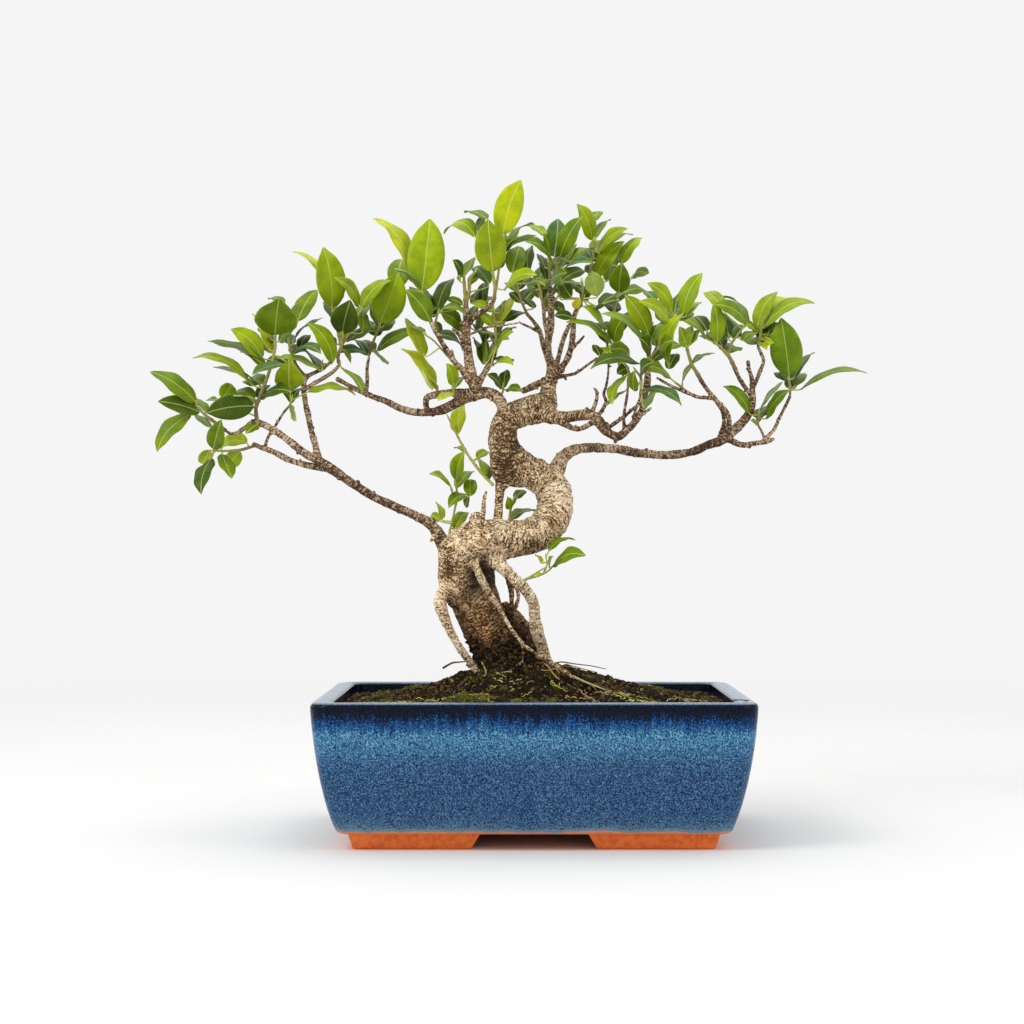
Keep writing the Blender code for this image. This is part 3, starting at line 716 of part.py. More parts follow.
MOSS = {"moss_front_left": (-106.0, -62.0, 25.0, 17.0), "moss_left": (-104.0, 14.0, 24.0, 18.0), "moss_front": (-47.0, -66.0, 22.0, 15.0),
        "moss_front_right": (2.0, -74.0, 19.0, 12.0), "moss_back_right": (86.0, 40.0, 26.0, 18.0)}


def build_moss():
    look = principled("moss", *MOSS_GREEN)
    out = []
    for name, (cx, cy, rx, ry) in MOSS.items():
        rings = []
        n = 12
        for share, h in ((0.92, 0.35), (1.0, 1.6), (0.86, 3.6), (0.46, 5.2)):
            ring = []
            for i in range(n):
                a = 2 * math.pi * i / n
                lobe = 1.0 + 0.10 * math.sin(3 * a + cx * 0.1) + 0.06 * math.sin(5 * a + cy * 0.2)
                x, y = cx + rx * share * lobe * math.cos(a), cy + ry * share * lobe * math.sin(a)
                ring.append((x, y, soil_height(x, y) + h + 0.45))
            rings.append(ring)
        v, f = loft(rings)
        out.append(add(name, v, f, look))
    return out


# ---------------------------------------------------------------- wood
def build_wood():
    """Each piece of wood is a union of tubes. Where it meets an earlier piece it is cut back by GAP."""
    pale, tan, root = principled("bark_pale", *BARK_PALE), principled("bark_tan", *BARK_TAN), principled("root_bark", *ROOT_TAN)
    made, inflated, tubes = [], {}, []
    for name in WOOD_ORDER:
        look = pale if name == "trunk" else root if name.startswith("root") else tan
        both = wood_forms(name)
        forms, grown = [outward(*f) for f, _ in both], [outward(*g) for _, g in both]
        body = add(name, *forms[0], look)
        for k, (v, f) in enumerate(forms[1:]):
            boolean(body, "join_%d" % k, "UNION", hidden(add("%s_form_%d" % (name, k), v, f, look)))
        fat = hidden(add(name + "_space", *grown[0], look))
        for k, (v, f) in enumerate(grown[1:]):
            boolean(fat, "join_%d" % k, "UNION", hidden(add("%s_space_%d" % (name, k), v, f, look)))
        for earlier in WOOD_ORDER[:WOOD_ORDER.index(name)]:
            boolean(body, "clear_" + earlier, "DIFFERENCE", inflated[earlier])
        if name == "trunk":
            one_body(body)
        inflated[name] = fat
        tubes += grown
        made.append(body)
    return made, inflated, tubes


# ---------------------------------------------------------------- shoots
def tone_of(name):
    counts = {}
    for row in SHOOTS[name][1]:
        t = {"g": "m", "p": "b", "c": "k", "y": "l"}.get(row[5], row[5])
        counts[t] = counts.get(t, 0) + 1
    return max(sorted(counts), key=lambda t: counts[t])


def build_shoots(wood_tubes, fats):
    looks = {t: principled("leaf_" + {"k": "deep", "m": "green", "b": "bright", "l": "lime"}[t], c, 0.35) for t, c in LEAF_TONE.items()}
    stems, placed, dropped = place_leaves(wood_tubes)
    print("leaves placed", sum(len(v) for v in placed.values()), "dropped", [(d[0], d[1][:4]) for d in dropped])
    out = []
    for name in SHOOTS:
        look = looks[tone_of(name)]
        body = None
        pieces = [outward(*tube(p, 4)) for p in stems[name]] + [outward(v, f) for _, parts in placed[name] for v, f in parts]
        body = add(name, *pieces[0], look)
        for k, (v, f) in enumerate(pieces[1:]):
            boolean(body, "join_%d" % k, "UNION", hidden(add("%s_form_%d" % (name, k), v, f, look)))
        for wood_name, fat in fats.items():
            boolean(body, "clear_" + wood_name, "DIFFERENCE", fat)
        out.append(body)
    return out


pot = build_pot()
screens = build_screens()
wood, fats, wood_tubes = build_wood()
soil = build_soil([fats[n] for n in ("trunk", "root_left", "root_front", "root_right", "root_back")])
moss = build_moss()
shoots = build_shoots(wood_tubes, fats)

for ob in wood + shoots:
    one_body(ob)

# The frame: the middle of the whole outline over the origin, the feet on z = 0.
bpy.context.view_layer.update()
graph = bpy.context.evaluated_depsgraph_get()
low, high = [1e9] * 3, [-1e9] * 3
for ob in [pot, soil] + screens + wood + moss + shoots:
    me = ob.evaluated_get(graph).to_mesh()
    for v in me.vertices:
        w = ob.matrix_world @ v.co
        for k in range(3):
            low[k], high[k] = min(low[k], w[k]), max(high[k], w[k])
    ob.evaluated_get(graph).to_mesh_clear()
ROOT.location = (-(low[0] + high[0]) / 2, -(low[1] + high[1]) / 2, -low[2])
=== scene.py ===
"""Looks for the bonsai in its glazed pot: bark, roots, leaves, soil, moss and glaze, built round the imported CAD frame."""

import json
import math
import random

import bmesh
import bpy
import numpy as np
from mathutils import Matrix, Vector
from mathutils.bvhtree import BVHTree
from mathutils.kdtree import KDTree


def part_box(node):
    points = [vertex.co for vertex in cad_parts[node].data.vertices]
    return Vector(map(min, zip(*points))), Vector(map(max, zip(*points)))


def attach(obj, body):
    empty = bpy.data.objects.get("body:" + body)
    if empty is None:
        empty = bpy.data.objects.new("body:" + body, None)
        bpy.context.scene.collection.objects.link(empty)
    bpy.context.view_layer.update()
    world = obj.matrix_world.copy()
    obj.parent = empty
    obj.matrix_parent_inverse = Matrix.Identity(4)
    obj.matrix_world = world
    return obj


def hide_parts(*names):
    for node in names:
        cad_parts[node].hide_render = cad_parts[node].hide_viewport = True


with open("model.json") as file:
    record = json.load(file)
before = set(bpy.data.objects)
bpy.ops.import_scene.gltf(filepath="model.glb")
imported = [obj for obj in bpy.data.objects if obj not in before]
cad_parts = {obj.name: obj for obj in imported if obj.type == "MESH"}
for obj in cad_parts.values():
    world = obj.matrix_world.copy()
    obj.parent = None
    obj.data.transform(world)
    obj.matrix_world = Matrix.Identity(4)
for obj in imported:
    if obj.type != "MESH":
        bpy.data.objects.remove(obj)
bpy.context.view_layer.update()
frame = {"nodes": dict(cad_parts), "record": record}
CAD_SLOTS = {row["node"]: row["material_slot"] for row in frame["record"]["subparts"]}

# ---------------------------------------------------------------- the front elevation
# Everything about the tree is laid out on a front elevation drawn in one-point perspective.
# A place is given by u (across) and v (down) on that drawing and by y, its depth in millimetres
# behind the middle of the pot. One drawing unit is 0.75 mm at the middle of the pot.
STATION = (-9.0, -1583.4, 215.7)   # the station point, mm, in the pot's own frame
PICTURE = 2110.0                   # distance of the drawing plane, in drawing units
MID_U, MID_V = 521.5, 544.5        # where the level sight line meets the drawing


def sight(u, v, y):
    """The point in the pot's frame, mm, that lies at (u, v) on the elevation and at depth y."""
    d = y - STATION[1]
    return Vector((STATION[0] + (u - MID_U) * d / PICTURE, y, STATION[2] - (v - MID_V) * d / PICTURE))


def seen_at(p):
    """Where a point shows on the elevation."""
    d = p.y - STATION[1]
    return (MID_U + (p.x - STATION[0]) * PICTURE / d, MID_V - (p.z - STATION[2]) * PICTURE / d)


def scale_at(y):
    return (y - STATION[1]) / PICTURE


# ---------------------------------------------------------------- the pot, mm
RIM_HALF = (157.0, 120.0)          # half width and half depth over the rim
POT_H = 105.0                      # rim height above the table
BODY_Z = 12.0                      # underside of the body, on top of the feet
FLOOR_Z = 24.0                     # top of the pot's floor, inside
OUTER = [(12.0, 19.5, 10.0), (13.2, 17.2, 11.0), (18.0, 15.0, 12.0), (32.0, 10.6, 12.5), (52.0, 6.0, 13.0),
         (72.0, 2.8, 13.5), (90.0, 0.8, 14.0), (102.2, 0.0, 14.0), (104.2, 0.9, 13.5), (105.0, 2.8, 12.5)]
INNER = [(105.0, 12.6, 9.0), (104.0, 14.4, 8.5), (99.0, 15.0, 8.0), (60.0, 16.6, 8.0), (36.0, 21.2, 8.0),
         (24.0, 26.5, 9.0)]                          # (height, inset from the rim's outline, corner radius)
FOOT_INSET = (24.5, 26.0)          # inset of a foot's outside from the rim's outline, across and front to back
FOOT_WIDE = 22.0
HOLE_X, HOLE_R = 62.0, 9.0         # the two drainage holes


def rounded_ring(half_w, half_d, radius, z, per_corner):
    """Points of a level rounded rectangle, counter-clockwise from above."""
    out = []
    for k, (sx, sy) in enumerate(((1, 1), (-1, 1), (-1, -1), (1, -1))):
        cx, cy = sx * (half_w - radius), sy * (half_d - radius)
        for i in range(per_corner + 1):
            a = math.pi / 2 * (k + i / per_corner)
            out.append((cx + radius * math.cos(a), cy + radius * math.sin(a), z))
    return out


def soil_height(x, y):
    """Height of the soil's surface, mm: a low plain under the rim with a mound round the trunk."""
    sx = 46.0 if x < -12.0 else 62.0
    mound = 30.0 * math.exp(-((x + 12.0) ** 2) / (2 * sx * sx) - (y - 2.0) ** 2 / (2 * 36.0 ** 2))
    ripple = 0.9 * math.sin(x * 0.11 + 1.3) * math.cos(y * 0.13) + 0.7 * math.sin(x * 0.05 - y * 0.08)
    return 97.5 + mound + ripple


# ---------------------------------------------------------------- the wood: lists of (u, v, y, radius in drawing units)
WOOD = {
    "trunk": [
        [(513, 694, 6, 27), (507, 672, 6, 25.5), (499, 655, 5, 24), (491, 638, 4, 22.8), (481.5, 617, 2, 22.4), (474, 597, 0, 23.6), (467, 577, -3, 27.2), (465.5, 560, -5, 27.0)],
        [(466, 566, -5, 25), (466, 554, -6, 26), (477, 545, -8, 24.5), (492, 541, -9, 21.5), (510, 539, -8, 19), (527, 537, -5, 18), (542, 530, 0, 18), (552, 517, 5, 18),
         (555, 502, 9, 18), (551, 488, 10, 18), (541, 478, 8, 16.8), (527, 470, 5, 15.6), (512.5, 459.5, 0, 16.2), (504, 446, -3, 15), (503, 431, -4, 14)],
        [(503, 438, -4, 13.6), (504, 426, -4, 13.6), (512, 417, -2, 13.6), (523, 412, 1, 14.4), (536, 409, 3, 15.4), (545, 405, 5, 13.8)],
        [(545, 409, 5, 12), (548, 398, 6, 9.6), (548, 390, 6, 7.8)],
        [(500, 444, -5, 10.5), (501, 456, -6, 11.5), (502.5, 466, -6, 12.3), (503.5, 475, -6, 11.8), (503.5, 482, -6, 8.6)],
        [(502, 470, -5, 11.5), (512, 474, -3, 12.6), (523, 477, 1, 11.5)],
        [(506, 607, 16, 6.6), (512, 620, 16, 10.4), (521, 637, 14, 14.2), (527, 656, 12, 17), (530, 684, 10, 18)],
    ],
    "branch_low_left": [
        [(456, 562, -5, 9), (446, 548, -7, 7.6), (438, 533, -11, 6.3), (430, 524, -15, 5.4), (418, 516.5, -19, 4.7), (398, 507.5, -26, 4.3), (372, 495.5, -34, 4.3), (348, 480.5, -42, 4.5), (327, 466, -48, 4.9), (318, 459, -50, 4.4)],
        [(324, 464, -49, 4.2), (305, 453, -50, 3.9), (288, 440, -50, 3.6), (270, 428, -49, 3.4), (256, 422, -48, 3.2), (245, 428, -50, 2.6), (234, 434, -53, 1.9), (224, 430, -55, 1.2)],
        [(331, 469, -48, 4), (308, 465, -44, 3.4), (288, 459, -42, 3.0), (268, 450, -41, 2.8), (253, 444, -41, 2.5)],
        [(319, 460, -50, 4), (315, 445, -46, 3.4), (309, 420, -40, 3), (305, 400, -34, 2.8), (304, 386, -28, 2.6), (307, 376, -24, 2.4), (320, 370, -16, 2.2), (332, 361, -10, 1.8)],
        [(304, 390, -30, 2.4), (318, 381, -22, 2.2), (333, 372, -14, 2.0), (340, 364, -8, 1.7)],
        [(265, 448, -41, 1.8), (268, 437, -39, 1.6), (276, 424, -38, 1.5), (284, 412, -38, 1.4)],
    ],
    "branch_upper_left": [
        [(507, 436, -4, 8), (503, 420, -6, 6.4), (502, 407, -7, 5.8), (496.5, 397, -8, 6), (486, 392.5, -9, 6.6), (471, 395.5, -8, 6.8), (457, 403, -4, 5.5), (444, 409, 0, 5), (430, 412, 4, 4.2),
         (415, 412, 9, 3.8), (400, 408, 14, 3.3), (385, 401, 20, 3), (370, 395, 26, 2.8), (355, 389, 30, 2.6), (344, 383, 33, 2.5), (337, 379, 35, 2.6)],
        [(474, 392, -10, 4.2), (460, 393, -13, 4), (448, 393, -14, 3.8), (436, 395, -11, 3.5), (427, 398, -6, 3.2), (426, 406, 0, 3), (430, 413, 4, 3)],
        [(366, 395, 28, 2.4), (367, 382, 30, 2.1), (367, 368, 32, 1.9), (369, 357, 34, 1.6)],
    ],
    "stem_centre": [
        [(479, 395, -9, 6.5), (474, 383, -12, 6), (470, 370, -16, 5.2), (468, 352, -20, 4.8), (466, 335, -23, 4.6), (467, 318, -26, 4.2), (466, 308, -28, 3.2)],
        [(472, 384, -13, 4), (463, 372, -18, 3.2), (453, 360, -24, 3), (445, 347, -30, 2.8), (437, 334, -36, 2.6), (431, 322, -40, 2.4)],
        [(469, 321, -26, 3.5), (480, 313, -31, 2.8), (490, 306, -36, 2.5), (494, 299, -40, 2.1)],
        [(464, 347, -21, 2.2), (460, 336, -26, 2), (453, 329, -30, 1.8)],
        [(455, 363, -22, 1.4), (452, 350, -27, 1.2)],
        [(477, 386, -11, 4), (486, 370, -12, 3.2), (493, 358, -14, 2.4), (496, 351, -16, 1.8)],
        [(469, 335, -24, 1.4), (485, 328, -30, 1.2), (505, 325, -33, 1.1), (518, 323, -36, 1.0)],
    ],
    "branch_apex": [
        [(548, 392, 6, 7.6), (549.5, 383, 6, 7.4), (552.5, 374, 6, 6.6), (551, 364, 6, 5), (547, 350, 6, 4.2), (550, 330, 7, 4), (551, 312, 8, 3.4), (550, 296, 9, 3), (550, 286, 10, 2.4)],
        [(549, 360, 4, 3.2), (543, 343, -4, 2.6), (539, 330, -10, 2.4), (533, 321, -14, 2), (527, 314, -18, 1.8)],
        [(539, 332, -9, 1.6), (530, 328, -14, 1.4), (519, 322, -19, 1.2)],
        [(554, 374, 8, 3.6), (560, 352, 14, 2.6), (565, 335, 20, 2.3), (571, 322, 26, 2), (579, 306, 32, 1.8), (586, 290, 36, 1.6)],
        [(555, 376, 4, 4.4), (566, 361, 0, 3.4), (571, 347, -4, 3), (573, 330, -8, 2.8), (575, 315, -12, 2.4), (581, 303, -16, 2)],
        [(556, 377, 6, 3), (572, 374, 10, 1.8), (584, 367, 14, 1.5), (597, 358, 18, 1.2)],
        [(552, 378, 10, 4.4), (538, 384, 20, 3.6), (523, 391, 28, 3.2)],
        [(571, 350, -4, 1.8), (580, 341, -9, 1.4), (584, 336, -12, 1.1)],
        [(552, 376, 9, 4), (550, 358, 26, 3), (548, 340, 42, 2.4), (545, 322, 56, 2), (543, 306, 66, 1.6)],
    ],
    "branch_mid_right": [
        [(543, 413, 0, 8.8), (560, 418, -8, 7), (576, 416, -16, 5.2), (590, 415, -22, 5.2), (598, 421, -26, 5.5), (604, 429, -30, 5.2), (611, 434, -33, 4.5), (618, 436, -36, 4.2),
         (627, 430, -40, 3.8), (637, 420, -44, 3.5), (643, 408, -46, 3.3), (645, 395, -47, 3.4), (647, 382, -48, 3.8), (648, 371, -48, 3.2)],
        [(560, 422, -9, 3.6), (573, 428, -20, 2.8), (584, 427, -25, 2.8), (596, 420, -26, 3)],
        [(591, 414, -22, 2.4), (596, 402, -25, 2), (597, 393, -27, 1.8), (594, 388, -28, 1.4)],
        [(596, 418, -25, 2.6), (603, 409, -24, 2.2), (606, 401, -22, 1.8), (604, 394, -20, 1.6), (607, 384, -18, 1.5), (608, 372, -16, 1.4), (609, 360, -14, 1.3)],
        [(604, 431, -30, 2.4), (618, 421, -34, 2), (630, 411, -38, 1.8), (642, 402, -46, 1.6)],
        [(624, 434, -38, 2.2), (624, 418, -42, 1.8), (626, 404, -44, 1.6), (628, 390, -42, 1.5), (628, 378, -40, 1.4)],
        [(632, 426, -42, 2), (636, 410, -48, 1.7), (640, 396, -52, 1.5), (641, 384, -54, 1.3)],
        [(641, 415, -45, 1.8), (651, 408, -50, 1.6)],
    ],
    "branch_low_right": [
        [(548, 484, 10, 9), (557, 469, 14, 8), (563, 458, 18, 6.5), (574, 450, 22, 5.5), (590, 448, 26, 4.9), (615, 449, 30, 4.6), (640, 453, 34, 4.4), (665, 455, 37, 4.2), (690, 452, 40, 4.2),
         (708, 445, 42, 4.5), (722, 440, 44, 5), (736, 429, 46, 4.8), (746, 418, 48, 4.5), (752, 404, 50, 3.9), (752, 391, 51, 3.4)],
        [(752, 395, 51, 3), (752, 380, 51, 2.5), (749, 369, 50, 2.2), (748, 361, 50, 1.8)],
        [(752, 397, 51, 2.6), (743, 384, 47, 2.2), (737, 373, 43, 2.2), (735, 368, 42, 2.2)],
        [(752, 390, 52, 2.4), (759, 374, 56, 2), (764, 362, 58, 1.9), (761, 353, 59, 1.8), (758, 347, 60, 1.6)],
        [(722, 441, 44, 3.4), (729, 425, 40, 2.8), (727, 413, 36, 2.8), (718, 402, 31, 2.8), (708, 391, 26, 2.5), (700, 379, 23, 2.2)],
        [(719, 440, 45, 2.8), (724, 424, 50, 2.3), (722, 411, 44, 2.1), (715, 400, 31, 1.9)],
        [(714, 398, 29, 2.4), (700, 397, 22, 2), (686, 392, 14, 1.9), (672, 386, 6, 1.6), (657, 378, -2, 1.3)],
        [(726, 438, 44, 3.6), (742, 445, 46, 2.9), (757, 443, 48, 2.6), (768, 441, 50, 2.4), (774, 439, 50, 2)],
        [(762, 442, 49, 2.2), (774, 429, 53, 1.9), (781, 415, 57, 1.8), (787, 403, 60, 1.7), (790, 396, 61, 1.6)],
        [(766, 441, 49, 1.8), (761, 430, 44, 1.3)],
    ],
    "root_left": [[(449, 584, -10, 5), (443, 592, -14, 5.2), (440, 603, -17, 5.4), (446, 620, -18, 5), (454, 637, -18, 4.3), (464, 653, -16, 4.2), (475, 668, -13, 4.4), (482, 682, -10, 4.6)]],
    "root_front": [[(473, 556, -19, 2.6), (479, 574, -27, 2.9), (489, 592, -24, 2.9), (500, 609, -22.5, 2.9), (511, 628, -23, 3), (522, 643, -24, 3.1), (535, 653, -26, 2.6), (548, 661, -29, 2.1), (561, 669, -33, 1.7), (574, 678, -37, 1.4)],
                   [(520, 642, -24, 2), (523, 652, -29, 1.3), (522, 664, -32, 1.0)]],
    "root_right": [[(493, 557, -14, 8), (502, 567, -19, 7), (515, 580, -22, 5.3), (527, 591.5, -20, 4.8), (533.5, 604, -17, 4.5), (534.5, 618, -13, 4.7), (537.5, 632, -8, 5.6), (542, 646, -3, 6.6), (546, 662, 1, 7.8), (549, 680, 3, 9)]],
    "root_bridge": [[(501, 480, -6, 6.2), (500, 491, -6, 5), (499, 502, -6.5, 4.2), (498.5, 512, -7, 4.3), (498, 526, -8, 5)]],
    "root_back": [[(503, 560, 2, 2.6), (508, 576, 5, 2.2), (511, 592, 9, 2.3), (511, 606, 12, 2.3), (512, 618, 14, 3)],
                  [(509, 578, 5, 1.3), (517, 590, 5, 1.2), (518, 600, 7, 1.2), (513, 612, 13, 1.3)]],
}
# The order in which a piece of wood gives way to the ones before it where they meet.
WOOD_ORDER = ["trunk", "branch_low_left", "branch_upper_left", "stem_centre", "branch_apex", "branch_mid_right", "branch_low_right",
              "root_left", "root_front", "root_right", "root_bridge", "root_back"]

